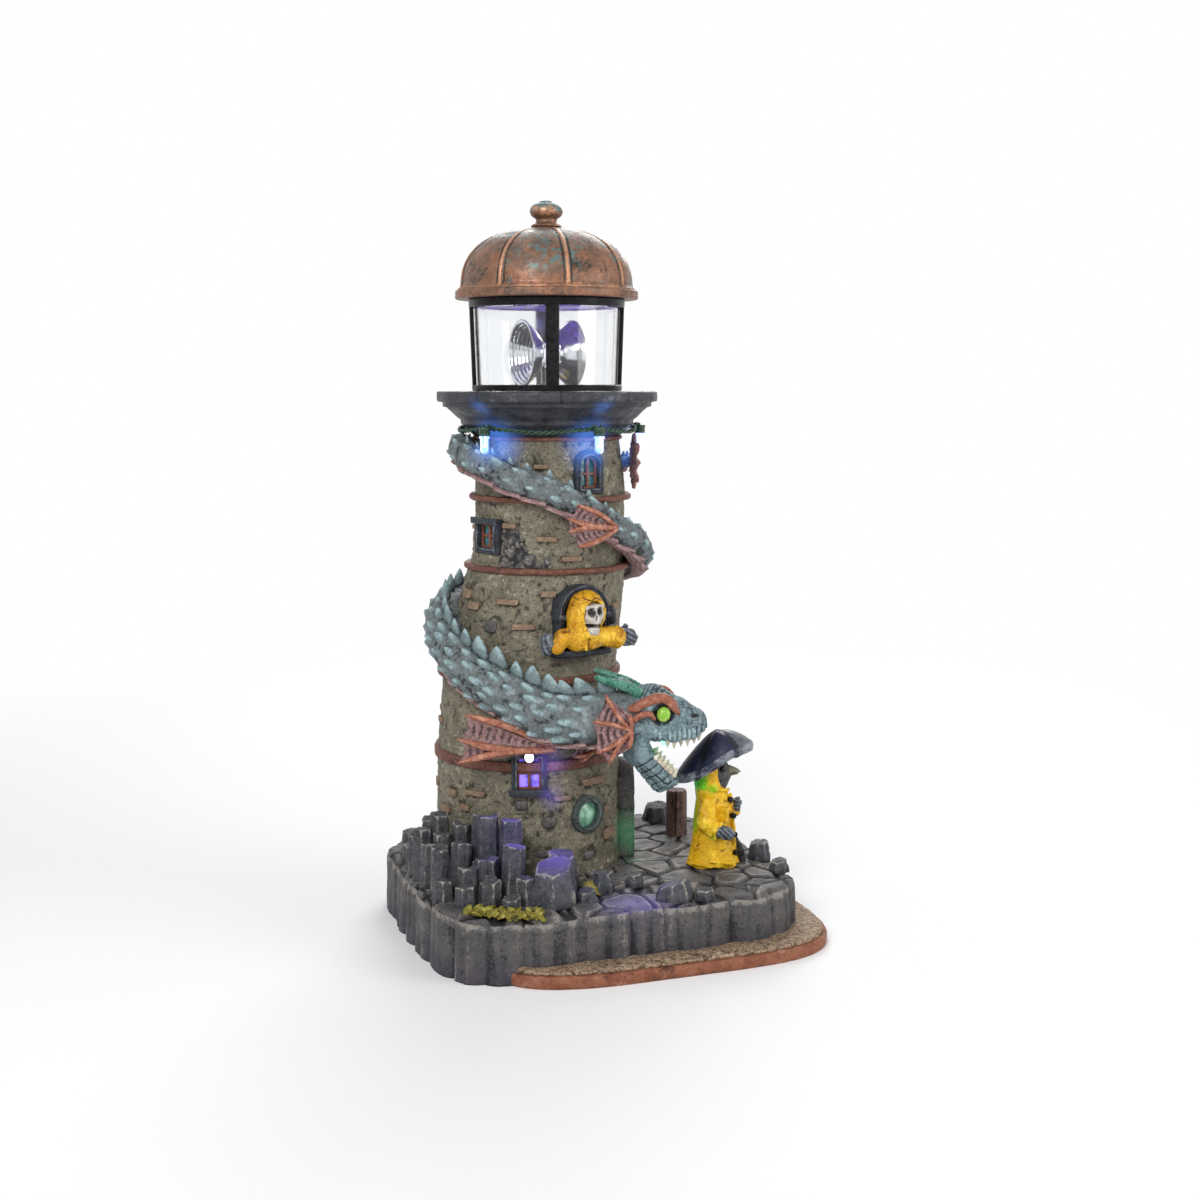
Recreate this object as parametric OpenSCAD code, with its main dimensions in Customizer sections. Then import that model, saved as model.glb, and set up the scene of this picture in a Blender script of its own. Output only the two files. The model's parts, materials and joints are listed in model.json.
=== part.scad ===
// Lighted village lighthouse: a hand-painted display building, lit from inside,
// with a turning beacon, a string of small lamps and a sea serpent wound round the tower.
// Origin: middle of the base at the surface it stands on. +Z up, front of the base towards -Y.

/* [Base] */
// Overall width of the base, rock and beach together
base_w = 136; // [132:1:146]
// Overall depth of the base
base_d = 124; // [124:1:134]
// Height of the paved deck above the table
deck_z = 20; // [19.5:0.5:23]
// Thickness of the cast rock wall
rock_wall = 3; // [2.4:0.2:3.6]
// Thickness of the deck over the battery space
deck_t = 2.4; // [1.8:0.2:2.4]
// Number of rock columns round the edge
rock_columns_n = 44; // [36:1:52]
// How deep the joints between the edge columns are cut
rock_joint = 1.6; // [0.8:0.2:2]
// Strip of beach in front of the rock
beach_front = 10; // [8:1:12]
// Strip of beach at the right end of the rock
beach_end = 8; // [6:1:10]
// Height of the brick-red beach edge
beach_h = 4; // [3:0.5:5]
// Depth of the sand on the beach
sand_t = 1.4; // [0.8:0.2:2]

/* [Tower] */
// Distance of the tower's foot to the left of the middle
tower_left = 19; // [17:1:20]
// Distance of the tower's axis behind the middle
tower_back = 22.2; // [20:0.2:22.6]
// How far the tower's upper half leans to the right
tower_lean = 7.5; // [5:0.5:9]
// Thickness of the tower's cast wall
tower_wall = 2.4; // [2:0.2:2.8]
// Radius of the tower at the deck
foot_r = 32.4; // [31.6:0.2:33]
// Radius of the tower under the red collar
neck_r = 24.7; // [24.7:0.1:25.3]
// Height of the first storey
storey1_h = 37; // [36:0.5:40]
// Height of the second storey
storey2_h = 25.1; // [24.5:0.1:27]
// Height of the third storey
storey3_h = 34; // [33:0.5:36]
// Height of the fourth storey
storey4_h = 21.6; // [21:0.2:24]
// Height of the fifth storey
storey5_h = 18.6; // [18.2:0.2:21]
// Height of the thick trim band over the first storey
band4_h = 3.5; // [3:0.1:4]
// Height of the trim band over the second storey
band3_h = 2.7; // [2.2:0.1:3.2]
// Height of the trim bands over the third and fourth storeys
band_h = 2; // [1.6:0.1:2.4]
// How far a trim band stands out from the wall below it
band_out = 1.6; // [1.2:0.1:2]

/* [Gallery] */
// Radius of the gallery floor
gallery_r = 38; // [37:0.2:38.4]
// Thickness of the gallery floor
gallery_t = 3.8; // [3.2:0.2:4.4]
// Height of the stepped cornice under the gallery floor
cornice_h = 9.7; // [9.2:0.1:11]

/* [Lantern] */
// Height of the lantern room, gallery floor to roof
lantern_h = 30.8; // [30:0.2:34]
// Outer radius of the lantern frame at its foot
lantern_r = 25.7; // [25:0.1:26.5]
// How much wider the lantern frame is at the top
lantern_flare = 1; // [0.4:0.2:1.4]
// Width of a lantern post
post_w = 4.4; // [3.6:0.2:5]
// Thickness of the lantern frame
frame_t = 1.6; // [1.4:0.1:1.9]
// Thickness of the clear lantern glass
glass_t = 1.2; // [0.8:0.1:1.6]

/* [Roof] */
// Radius of the roof rim
roof_rim_r = 31.3; // [30.6:0.1:33]
// Height of the roof rim
roof_rim_h = 3.4; // [3:0.1:4]
// Height of the dome above its rim
dome_h = 21; // [19:0.5:24]
// Thickness of the dome
dome_t = 1.8; // [1.4:0.1:2.2]
// Number of raised dome ribs
dome_ribs = 8; // [6:1:12]
// Height of the roof knob
finial_h = 8.8; // [7.5:0.1:10]
// Radius of the roof knob
finial_r = 5.65; // [5:0.05:6]

/* [Beacon] */
// Rim radius of a reflector bowl
bowl_r = 11.6; // [10.5:0.1:12]
// Distance from the beacon's middle to a bowl's rim
bowl_reach = 9.55; // [9:0.05:10.5]
// Direction that the first bowl faces, from the front
beacon_yaw = -85; // [-90:5:-60]
// Radius of the turning spindle
spindle_r = 2; // [1.9:0.05:2.2]
// Running clearance of the spindle in its bush
spindle_fit = 0.06; // [0.04:0.01:0.08]
// Teeth of the gear on the spindle
gear_teeth = 30; // [28:1:30]
// Teeth of the motor's pinion
pinion_teeth = 12; // [12:1:13]
// Gear module, pitch diameter per tooth
gear_module = 0.6; // [0.56:0.01:0.6]
// Thickness of the gears
gear_t = 3; // [2:0.1:3.2]

/* [Batteries] */
// Diameter of a dry cell
cell_d = 14.2; // [13.8:0.1:14.2]
// Length of a dry cell
cell_l = 50.5; // [49:0.5:50.5]
// Number of dry cells side by side
cells_n = 3; // [2:1:3]
// Thickness of the bottom cover
cover_t = 2; // [1.6:0.1:2]

/* [Controls] */
// Travel of the slide switch
switch_travel = 3.4; // [2.4:0.2:4]
// Bore of the low voltage socket
socket_bore = 3.56; // [3.4:0.02:3.6]
// Depth of the socket's bore
socket_depth = 12; // [10:0.5:12]

/* [Hidden] */
$fn = 64;

// Joints and fits
glue_gap = 0.25;
fit_gap = 0.2;
running_gap = 0.3;
face_gap = 0.3;
over = 1;

// Rock and beach outlines
rock_w = base_w - beach_end;
rock_d = base_d - beach_front;
rock_x = -beach_end / 2;
rock_y = beach_front / 2;
rock_power = 5;
flat_cut = 0.5;
// Inner faces of the rock wall
left_in = rock_x - rock_w / 2 + rock_wall;
right_in = rock_x + rock_w / 2 - rock_wall;
front_in = rock_y - rock_d / 2 + rock_wall;
back_in = rock_y + rock_d / 2 - rock_wall;
beach_w = base_w - 14;
beach_d = base_d - 22;
beach_x = base_w / 2 - beach_w / 2;
beach_y = -base_d / 2 + beach_d / 2;
beach_power = 4;
sand_inset = 1.6;
outline_steps = 120;

// Tower levels, counted up from the deck
tower_x = -tower_left;
tower_y = tower_back;
upper_x = tower_x + tower_lean;
z1 = deck_z + storey1_h;
z1b = z1 + band4_h;
z2 = z1b + storey2_h;
z2b = z2 + band3_h;
z3 = z2b + storey3_h;
z3b = z3 + band_h;
z4 = z3b + storey4_h;
z4b = z4 + band_h;
z5 = z4b + storey5_h;
collar_h = 1.3;
z_collar = z5 + collar_h;
z_cornice = z_collar + cornice_h;
cove_h = 1.7;
z_floor = z_cornice + cove_h;
z_gallery = z_floor + gallery_t;
z_roof = z_gallery + lantern_h;
z_rim = z_roof + roof_rim_h;
z_dome = z_rim + dome_h;

// One row per storey: foot level, axis x, radius, then the same at its head
taper = foot_r - neck_r;
STOREYS = [
    [deck_z, tower_x, foot_r, z1, tower_x, foot_r - 0.09 * taper],
    [z1b, tower_x, foot_r - 0.12 * taper, z2, tower_x + 0.03 * tower_lean, foot_r - 0.36 * taper],
    [z2b, tower_x + 0.05 * tower_lean, foot_r - 0.26 * taper,
        z3, upper_x - 0.07 * tower_lean, foot_r - 0.66 * taper],
    [z3b, upper_x, neck_r + 0.22 * taper, z4, upper_x + 1, neck_r + 0.12 * taper],
    [z4b, upper_x + 1, neck_r + 0.17 * taper, z5, upper_x, neck_r]];
WALL_R = [for (s = STOREYS, k = [0, 3]) [s[k], s[k + 2]]];
WALL_X = [for (s = STOREYS, k = [0, 3]) [s[k], s[k + 1]]];
function wall_r(z) = lookup(z, WALL_R);
function wall_x(z) = lookup(z, WALL_X);
// A leaning cone cut level is an ellipse, wider along its lean
function lean_stretch(z) = norm([1, wall_x(z + 0.5) - wall_x(z - 0.5)]) - 1;
function wall_at(f, z) = wall_r(z) * (1 + lean_stretch(z) * pow(sin(f), 2));

// Trim bands: foot level, height, radius
BANDS = [[z1, band4_h, foot_r + 0.4 * band_out], [z2, band3_h, wall_r(z2) + 1.5 * band_out],
    [z3, band_h, wall_r(z3) + band_out], [z4, band_h, wall_r(z4b) + 1.3 * band_out]];
// Radius of the wall inside a trim band
core_step = 0.3;
function core_r(b) = min(wall_r(b[0]), wall_r(b[0] + b[1])) - core_step;
collar_r = neck_r + 1.3;

// Windows: direction round the tower, centre level, width and height
arched_f = 13;
arched_z = z4b + 8.3;
arched_w = 11;
arched_h = 15;
side_f = -70;
side_z = z3b + 10;
side_w = 13;
side_h = 12;
lower_f = -17;
lower_z = z1 - 0.6;
lower_w = 12;
lower_h = 15;
port_f = 20.6;
port_z = deck_z + 20.6;
port_r = 6.6;
door_f = 76;
door_w = 19;
door_h = 34;
keeper_f = 10.6;
keeper_z = z2b + 18.9;
keeper_w = 19.4;
keeper_h = 24;
window_frame = 2;
window_out = 1.6;
window_in = 3.4;

// Lantern, beacon and drive
lantern_x = upper_x;
spindle_fit_r = spindle_r + spindle_fit;
post_bore = 1.35;
post_r = 1.2;
beacon_z = z_gallery + 12.5;
plate_z = z5 - 6.6;
plate_t = 2;
plate_r = neck_r - tower_wall - 0.7;
ledge_t = 2.5;
ledge_in = plate_r - 1.7;
gear_z = plate_z + plate_t + 1;
gear_r = gear_module * gear_teeth / 2;
pinion_r = gear_module * pinion_teeth / 2;
motor_yaw = 150;
motor_reach = gear_r + pinion_r;
motor_w = 12;
motor_d = 10;
motor_h = 24;
motor_shaft_r = 1.5;
shaft_fit = 0.06;
shaft_depth = 5;
backlash = 0.08;

// Battery bay, worked from the cells
cell_pitch = cell_d + 0.5;
contact_room = 3.2;
tray_wall = 1.2;
bay_w = cells_n * cell_pitch;
bay_l = cell_l + 2 * contact_room;
tray_w = bay_w + 2 * tray_wall;
tray_l = bay_l + 2 * tray_wall;
tray_side = 6.75;
tray_front = 11.35;
bay_x = right_in - tray_w / 2 - tray_side;
bay_y = front_in + tray_l / 2 + tray_front;
tray_top = deck_z - deck_t - 0.1;
cell_z = cover_t + 0.3 + cell_d / 2;
door_t = 1.5;
door_gap = 0.5;
hinge_r = 1.4;
hinge_pin_r = 0.9;
hinge_pin_l = 2;
hinge_z = cover_t + 0.2;
door_low = 0.2;
lug_w = 4;
screw_in = 13;
screw_r = 1.1;
boss_r = 3.4;
cover_screw = [[left_in + screw_in, front_in + screw_in], [left_in + screw_in, back_in - screw_in],
    [right_in - screw_in, back_in - screw_in], [bay_x - tray_w / 2 - 3 * boss_r, front_in + 2 * boss_r]];
board_w = 28;
board_d = 22;
board_z = 8;
board_x = left_in + board_w / 2 + 15;
board_y = front_in + board_d / 2 + 16;

// Rear panel with the switch and the low voltage socket
panel_x = -8;
panel_z = 10.5;
panel_w = 36;
panel_h = 10;
panel_y = base_d / 2 - 1.4;
panel_t = 1.8;
flange_t = 1.6;
flange_edge = 2;
inner_y = base_d / 2 - rock_wall - fit_gap;
socket_x = panel_x - 10;
socket_r = 4;
switch_x = panel_x + 9;
knob_w = 4;
knob_h = 3;
slot_w = knob_w + switch_travel + 0.6;

// Lamp string under the gallery
string_z = z_collar + 2.2;
string_r = neck_r + 5.4;
lead_r = 0.8;
lamps_n = 4;
lamp_first = -57;
lamp_turn = 70;
socket_len = 5;
socket_rad = 2;
bulb_r = 1.5;
bulb_len = 4.2;

// Head of the serpent, facing right in the plane of the crow
head_p = [10.7, -25, z1 + 21];
head_yaw = -20;
crow_p = [36, -14, deck_z];

// Serpent's route round the tower from tail to neck:
// direction, height as a share of the tower, distance of its middle from the wall, radius
COIL = [[-288, 0.948, 3.2, 1.6], [-255, 0.938, 3.4, 2.4], [-220, 0.931, 3.6, 3.2],
    [-180, 0.94, 4, 3.9], [-145, 0.962, 4.3, 4.4], [-107, 0.98, 4.5, 4.7],
    [-88, 0.966, 4.4, 4.7], [-60, 0.943, 4.2, 4.7], [-43, 0.918, 4.2, 4.7],
    [-22, 0.894, 4.2, 4.6], [-8, 0.869, 4.2, 4.6], [10, 0.835, 4.2, 4.6],
    [28, 0.8, 4.4, 4.8], [55, 0.757, 4.6, 5.2], [78, 0.72, 4.8, 5.3],
    [110, 0.689, 4.4, 5.5], [160, 0.648, 3.4, 6], [210, 0.61, 2.8, 6.6],
    [253, 0.58, 2.5, 7], [275, 0.542, 2.6, 7], [296, 0.503, 3, 7.1],
    [312, 0.472, 3.4, 7.2], [328, 0.441, 4.4, 7.5], [342, 0.411, 6.4, 7.9],
    [354, 0.389, 9.4, 8.3], [365, 0.384, 12.6, 8.6], [374, 0.386, 15.6, 8.6]];
coil_steps = 2;
coil_sides = 14;
coil_ring = 0.8;

function noise(i, k) = let (s = sin(i * 127.1 + k * 311.7) * 437.585) s - floor(s);
function lie_r(a, w, d, p) = 1 / pow(pow(abs(cos(a)) * 2 / w, p) + pow(abs(sin(a)) * 2 / d, p), 1 / p);
function outline(w, d, p, n) = [for (i = [0:n - 1]) let (a = i * 360 / n)
    lie_r(a, w, d, p) * [cos(a), sin(a)]];
// Each column of the rock edge gives a joint and two corners
function rock_edge(w, d) = [for (i = [0:rock_columns_n - 1], k = [0:2])
    let (a = (i + [0, 0.22, 0.74][k] + 0.12 * noise(i, 3)) * 360 / rock_columns_n,
        cut = k == 0 ? rock_joint : k == 2 ? 0.7 * noise(i, 5) : 0)
    (lie_r(a, w, d, rock_power) - cut) * [cos(a), sin(a)]];
function spline(a, b, c, d, t) = 0.5 * ((2 * b) + (c - a) * t
    + (2 * a - 5 * b + 4 * c - d) * t * t + (3 * b - a - 3 * c + d) * t * t * t);
function row(i) = COIL[max(0, min(len(COIL) - 1, i))];
function coil_at(i, t) = spline(row(i - 1), row(i), row(i + 1), row(i + 2), t);
COIL_ROWS = [for (i = [0:len(COIL) - 2], k = [0:coil_steps - 1]) coil_at(i, k / coil_steps),
    COIL[len(COIL) - 1]];
function coil_z(c) = deck_z + c[1] * (z5 - deck_z);
function coil_point(c) = let (z = coil_z(c), reach = wall_r(z) + c[2])
    [wall_x(z) + reach * sin(c[0]), tower_y - reach * cos(c[0]), z];
COIL_PATH = [for (c = COIL_ROWS) coil_point(c)];
neck_cut = 8;
neck_end = head_p - (neck_cut - 1) * [cos(head_yaw), sin(head_yaw), 0.1];

// Places its children on the wall: x along the wall, -y outwards
module on_wall(f, z, out = 0) {
    translate([wall_x(z), tower_y, z]) rotate([0, 0, f]) translate([0, -wall_r(z) - out, 0])
        children();
}

// Pushes a flat outline, drawn upright, from inside the wall to outside it
module through_wall(f, z, inside, outside) {
    on_wall(f, z) translate([0, inside, 0]) rotate([90, 0, 0])
        linear_extrude(inside + outside) children();
}

// A block bent to the wall between two levels, seated a hair off it
seat_gap = 0.1;
module wall_block(f, z, w, h, out) {
    low = wall_at(f, z - h / 2) + (wall_x(z - h / 2) - wall_x(z)) * sin(f) + seat_gap;
    high = wall_at(f, z + h / 2) + (wall_x(z + h / 2) - wall_x(z)) * sin(f) + seat_gap;
    turn = w / low * 180 / PI;
    translate([wall_x(z), tower_y, 0]) rotate([0, 0, f - 90 - turn / 2]) rotate_extrude(angle = turn)
        polygon([[low, z - h / 2], [low + out, z - h / 2], [high + out, z + h / 2],
            [high, z + h / 2]]);
}

module arch_2d(w, h) {
    translate([-w / 2, -h / 2]) square([w, h - w / 2]);
    translate([0, h / 2 - w / 2]) circle(r = w / 2);
}

module gothic_2d(w, h) {
    rise = w * 0.35;
    half = w / 2 + 0.15;
    bow = (half * half + rise * rise) / (2 * rise);
    translate([-w / 2, -h / 2]) square([w, h - rise]);
    intersection() {
        translate([0, h / 2 - bow]) circle(r = bow);
        translate([-w / 2, -h / 2]) square([w, h]);
    }
}

module box_2d(w, h) {
    translate([-w / 2, -h / 2]) square([w, h]);
}

// A leaning storey: a true cone cut level at its foot and head
module lean_cone(s, grow) {
    tall = s[3] - s[0];
    dx = s[4] - s[1];
    lean = atan2(dx, tall);
    len_axis = norm([tall, dx]);
    slope = (s[5] - s[2]) / len_axis;
    more = 14;
    intersection() {
        translate([s[1], tower_y, s[0]]) rotate([0, lean, 0]) translate([0, 0, -more])
            cylinder(h = len_axis + 2 * more, r1 = s[2] + grow - slope * more,
                r2 = s[5] + grow + slope * (len_axis + more) - slope * len_axis);
        translate([s[1] - 60, tower_y - 60, s[0]]) cube([120, 120, tall]);
    }
}

module band_ring(b, grow) {
    translate([wall_x(b[0] + b[1] / 2), tower_y, b[0] - (grow > 0 ? grow : 0)])
        cylinder(h = b[1] + (grow > 0 ? 2 * grow : 0), r = b[2] + grow);
}

// Everything that the serpent and the pillars must stay clear of
module tower_solid(grow) {
    for (s = STOREYS) lean_cone(s, grow);
    for (b = BANDS) band_ring(b, grow);
    translate([lantern_x, tower_y, z5 - grow]) cylinder(h = collar_h + 2 * grow, r = collar_r + grow);
    translate([lantern_x, tower_y, z_collar]) cylinder(h = 4, r1 = neck_r + 0.5 + grow, r2 = neck_r + 5);
}

module rock_2d(grow) {
    intersection() {
        translate([rock_x, rock_y]) polygon(rock_edge(rock_w + flat_cut + 2 * grow,
            rock_d + flat_cut + 2 * grow));
        square([base_w, base_d], center = true);
    }
}

module bay_2d(inset) {
    translate([rock_x, rock_y]) polygon(outline(rock_w - 2 * rock_wall - 2 * inset,
        rock_d - 2 * rock_wall - 2 * inset, rock_power, outline_steps));
}

module beach_2d(inset) {
    translate([beach_x, beach_y]) polygon(outline(beach_w - 2 * inset, beach_d - 2 * inset,
        beach_power, outline_steps));
}

module base_casting() {
    color("dimgray") difference() {
        union() {
            difference() {
                linear_extrude(deck_z) rock_2d(0);
                translate([0, 0, -over]) linear_extrude(deck_z - deck_t + over) bay_2d(0);
            }
            for (p = cover_screw) translate([p[0], p[1], cover_t])
                cylinder(h = deck_z - deck_t - cover_t + over / 2, r = boss_r);
        }
        for (p = cover_screw) translate([p[0], p[1], 0]) cylinder(h = 12, r = screw_r + 0.05);
        translate([tower_x, tower_y, deck_z - deck_t - over])
            cylinder(h = deck_t + 2 * over, r = foot_r - 9);
        translate([panel_x - panel_w / 2, base_d / 2 - 2 * rock_wall, panel_z - panel_h / 2])
            cube([panel_w, 3 * rock_wall, panel_h]);
    }
}

module beach_ledge() {
    color("sienna") linear_extrude(beach_h) difference() {
        beach_2d(0);
        rock_2d(0);
    }
}

module beach_sand() {
    color("tan") translate([0, 0, beach_h]) linear_extrude(sand_t) difference() {
        beach_2d(sand_inset);
        rock_2d(0);
    }
}

// Six-sided pillars: place, radius, height above the deck, turn
PILLARS = [[-45.5, -14, 4.6, 25, 10], [-38.5, -18.5, 4.2, 24, 40], [-40, -27.5, 4, 18, 20],
    [-48, -22, 4.4, 13, 0], [-37.5, -34, 3.6, 9, 15], [-54.5, -14.5, 4, 17, 35],
    [-54, -23.5, 3.8, 11, 5], [-60.5, -13.5, 3.4, 16, 25], [-61.5, -21, 3.2, 7, 50],
    [-56.5, -30.5, 3.4, 7, 12], [-49.5, -32, 3.6, 9, 33], [-44, -39, 3.2, 4.5, 22],
    [-62.5, -5.5, 3, 15, 8], [-57.5, -6, 3.6, 18, 45], [-51.5, -5.5, 3.8, 21, 17],
    [-62, 2, 3.2, 18, 30], [-56, 2.5, 3.6, 23, 3], [-62, 10, 3, 13, 27], [-57, 11, 3.4, 19, 48],
    [-61.5, 18, 3, 8, 13], [-57, 20, 3, 11, 38], [-60.5, 27, 3, 6, 5], [-59, 36, 3.2, 8, 21],
    [-55.5, 44, 3.4, 6, 44]];
// Boulders: place, radius, height above the deck, turn
BOULDERS = [[-29, -35, 7, 12, 10], [-22, -24, 5.6, 13, 35], [-10.5, -29.5, 4.2, 6.5, 60],
    [-18.5, -38, 3.2, 4, 20], [2.5, -26, 3, 3.4, 5], [9, -44, 5.6, 5.4, 40], [19, -47, 3, 3, 15],
    [55, -12, 3.6, 6, 25], [54.5, -28, 3.4, 3.6, 50], [40, 48, 5, 6, 30], [28, 53, 4, 5, 12],
    [53, 30, 4, 5, 22]];

module rock_pile() {
    color("slategray") difference() {
        union() {
            for (p = PILLARS) translate([p[0], p[1], deck_z]) rotate([0, 0, p[4]])
                cylinder(h = p[3], r1 = p[2] + 0.8, r2 = p[2], $fn = 6);
            for (b = BOULDERS) translate([b[0], b[1], deck_z]) rotate([0, 0, b[4]])
                cylinder(h = b[3], r1 = b[2], r2 = 0.62 * b[2], $fn = 7);
        }
        lean_cone(STOREYS[0], glue_gap);
    }
}

// Deck paving: place, radius, number of sides, turn
PAVERS = [[-17, -46, 5.6, 5, 10], [-3, -37, 5.4, 6, 25], [-3, -48, 4.8, 5, 50],
    [8, -33, 5, 6, 5], [12, -21, 5.6, 5, 35], [21.5, -36.5, 5.4, 6, 15], [30.5, -43.5, 5, 5, 60],
    [20, -8, 5.4, 6, 20], [29.5, 2, 5.6, 5, 45], [41.5, -34.5, 5.4, 6, 30], [52, -20.5, 4.4, 5, 8],
    [19.5, 5.5, 4.6, 5, 12], [30, 15, 5, 6, 55], [41, 8.5, 5.2, 5, 20], [51, -1, 5, 6, 40],
    [20.5, 17.5, 4.8, 5, 33], [50, 14, 5, 5, 0], [29, 28, 5.2, 6, 18], [20, 39, 5, 5, 42],
    [43, 36, 5.2, 6, 10], [-27.5, -47.5, 3.4, 5, 5]];
paver_t = 0.8;

module flagstones() {
    color("gray") for (p = PAVERS) translate([p[0], p[1], deck_z])
        rotate([0, 0, p[4]]) cylinder(h = paver_t, r1 = p[2], r2 = p[2] - 0.4, $fn = p[3]);
}

// Strand of weed across the front left of the rock: points and thickness
WEED = [[-58, -38.5], [-53.5, -38], [-49.5, -41.5], [-45.5, -45.5], [-40.5, -46], [-36.5, -47.5]];
weed_r = 1.3;

module seaweed() {
    color("olive") for (i = [0:len(WEED) - 2]) hull() {
        translate([WEED[i][0], WEED[i][1], deck_z]) cylinder(h = weed_r, r = weed_r, $fn = 12);
        translate([WEED[i + 1][0], WEED[i + 1][1], deck_z])
            cylinder(h = weed_r, r = 0.8 * weed_r, $fn = 12);
    }
}

post_xy = [39.5, 26.5];
mooring_r = 4;
mooring_h = 17;

module mooring_post() {
    color("saddlebrown") translate([post_xy[0], post_xy[1], deck_z]) {
        cylinder(h = mooring_h - 1, r1 = mooring_r + 0.2, r2 = mooring_r);
        translate([0, 0, mooring_h - 1]) cylinder(h = 1, r1 = mooring_r, r2 = mooring_r - 0.6);
    }
}

// Centre of the hinge: along y at the left edge of the battery door
hinge_x = bay_x - bay_w / 2 + hinge_z - door_low + fit_gap + 0.1;
// The leaf starts this far behind the hinge's axis, which clears the cover as it swings
door_tail = 0.6;

module base_cover() {
    color("dimgray") difference() {
        union() {
            linear_extrude(cover_t) bay_2d(fit_gap);
            for (k = [-1, 1]) translate([hinge_x, bay_y + k * (bay_l / 2 + lug_w / 2), hinge_z])
                translate([-hinge_r - 0.4, -lug_w / 2, -hinge_z + cover_t / 2])
                    cube([2 * hinge_r + 0.8, lug_w, hinge_z - cover_t / 2 + hinge_r + 0.4]);
            for (k = [-1, 1]) translate([board_x + k * (board_w / 2 - 3), board_y, cover_t / 2])
                cylinder(h = board_z - cover_t / 2, r = 2.4);
        }
        translate([bay_x - bay_w / 2, bay_y - bay_l / 2, -over])
            cube([bay_w, bay_l, cover_t + 12]);
        translate([hinge_x, bay_y, hinge_z]) rotate([90, 0, 0])
            cylinder(h = bay_l + 2 * hinge_pin_l + 2 * fit_gap, r = hinge_pin_r + 0.05, center = true);
        for (p = cover_screw) translate([p[0], p[1], -over]) {
            cylinder(h = 3 * cover_t, r = screw_r + 0.3);
            translate([0, 0, over]) cylinder(h = cover_t - 0.6, r1 = 2.7, r2 = screw_r + 0.3);
        }
    }
}

module battery_door() {
    color("dimgray") {
        translate([hinge_x - door_tail, bay_y - bay_l / 2 + door_gap, door_low])
            cube([bay_x + bay_w / 2 - door_gap - hinge_x + door_tail, bay_l - 2 * door_gap, door_t]);
        translate([hinge_x, bay_y, hinge_z]) rotate([90, 0, 0])
            cylinder(h = bay_l - 2 * door_gap, r = hinge_r, center = true);
        translate([hinge_x, bay_y, hinge_z]) rotate([90, 0, 0])
            cylinder(h = bay_l + 2 * hinge_pin_l, r = hinge_pin_r, center = true);
    }
}

module battery_tray() {
    color("black") difference() {
        translate([bay_x - tray_w / 2, bay_y - tray_l / 2, cover_t])
            cube([tray_w, tray_l, tray_top - cover_t]);
        translate([bay_x - bay_w / 2, bay_y - bay_l / 2, cover_t - over])
            cube([bay_w, bay_l, cell_z + cell_d / 2 + 0.1 - cover_t + over]);
        for (k = [-1, 1]) translate([hinge_x - hinge_r - 0.7, bay_y + k * (bay_l / 2 + lug_w / 2)
            - lug_w / 2 - 0.3, cover_t - over])
            cube([2 * hinge_r + 1.4, lug_w + 0.6, hinge_z + hinge_r + 0.8 - cover_t + over]);
    }
}

module battery_cells() {
    for (i = [0:cells_n - 1]) translate([bay_x + (i - (cells_n - 1) / 2) * cell_pitch, bay_y, cell_z])
        rotate([i % 2 == 0 ? 90 : -90, 0, 0]) {
            color("navy") translate([0, 0, -cell_l / 2]) cylinder(h = cell_l - 1.2, r = cell_d / 2);
            color("silver") translate([0, 0, cell_l / 2 - 1.2]) cylinder(h = 1.2, r = 2.7);
        }
}

module battery_contacts() {
    color("silver") for (i = [0:cells_n - 1], k = [-1, 1])
        translate([bay_x + (i - (cells_n - 1) / 2) * cell_pitch, bay_y + k * bay_l / 2, cell_z])
            rotate([k * 90, 0, 0]) {
                translate([-4.5, -4, 0]) cube([9, 8, 0.4]);
                cylinder(h = contact_room - 0.1, r1 = 3, r2 = 2);
            }
}

module control_board() {
    color("darkgreen") translate([board_x - board_w / 2, board_y - board_d / 2, board_z])
        cube([board_w, board_d, 1.6]);
    color("black") translate([board_x - 5, board_y - 5, board_z + 1.6]) cube([9, 7, 1.8]);
    color("navy") translate([board_x + 8, board_y + 4, board_z + 1.6]) cylinder(h = 6, r = 2.5);
}

module rear_panel() {
    color("black") difference() {
        union() {
            translate([panel_x - panel_w / 2 + fit_gap, panel_y - panel_t - 1, panel_z - panel_h / 2
                + fit_gap]) cube([panel_w - 2 * fit_gap, panel_t + 1, panel_h - 2 * fit_gap]);
            translate([panel_x - panel_w / 2 - flange_edge, inner_y - flange_t,
                panel_z - panel_h / 2 - flange_edge])
                cube([panel_w + 2 * flange_edge, flange_t, panel_h + 2 * flange_edge]);
        }
        translate([socket_x, panel_y - 8, panel_z]) rotate([-90, 0, 0])
            cylinder(h = 12, r = socket_r + 0.05);
        translate([switch_x - slot_w / 2, panel_y - 8, panel_z - knob_h / 2 - 0.15])
            cube([slot_w, 12, knob_h + 0.3]);
    }
}

module dc_socket() {
    color("black") difference() {
        union() {
            translate([socket_x, panel_y - socket_depth - 2, panel_z]) rotate([-90, 0, 0])
                cylinder(h = socket_depth + 2, r = socket_r);
            translate([socket_x - 5, panel_y - socket_depth - 2, panel_z - 4.5])
                cube([10, inner_y - flange_t - panel_y + socket_depth + 2, 9]);
        }
        translate([socket_x, panel_y - socket_depth, panel_z]) rotate([-90, 0, 0])
            cylinder(h = socket_depth + over, r = socket_bore / 2);
    }
}

switch_d = 7;
switch_front = inner_y - flange_t;

module switch_body() {
    color("silver") difference() {
        translate([switch_x - 7, switch_front - switch_d, panel_z - 4]) cube([14, switch_d, 8]);
        translate([switch_x - slot_w / 2, switch_front - 3, panel_z - knob_h / 2 - 0.15])
            cube([slot_w, 4, knob_h + 0.3]);
    }
}

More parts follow.
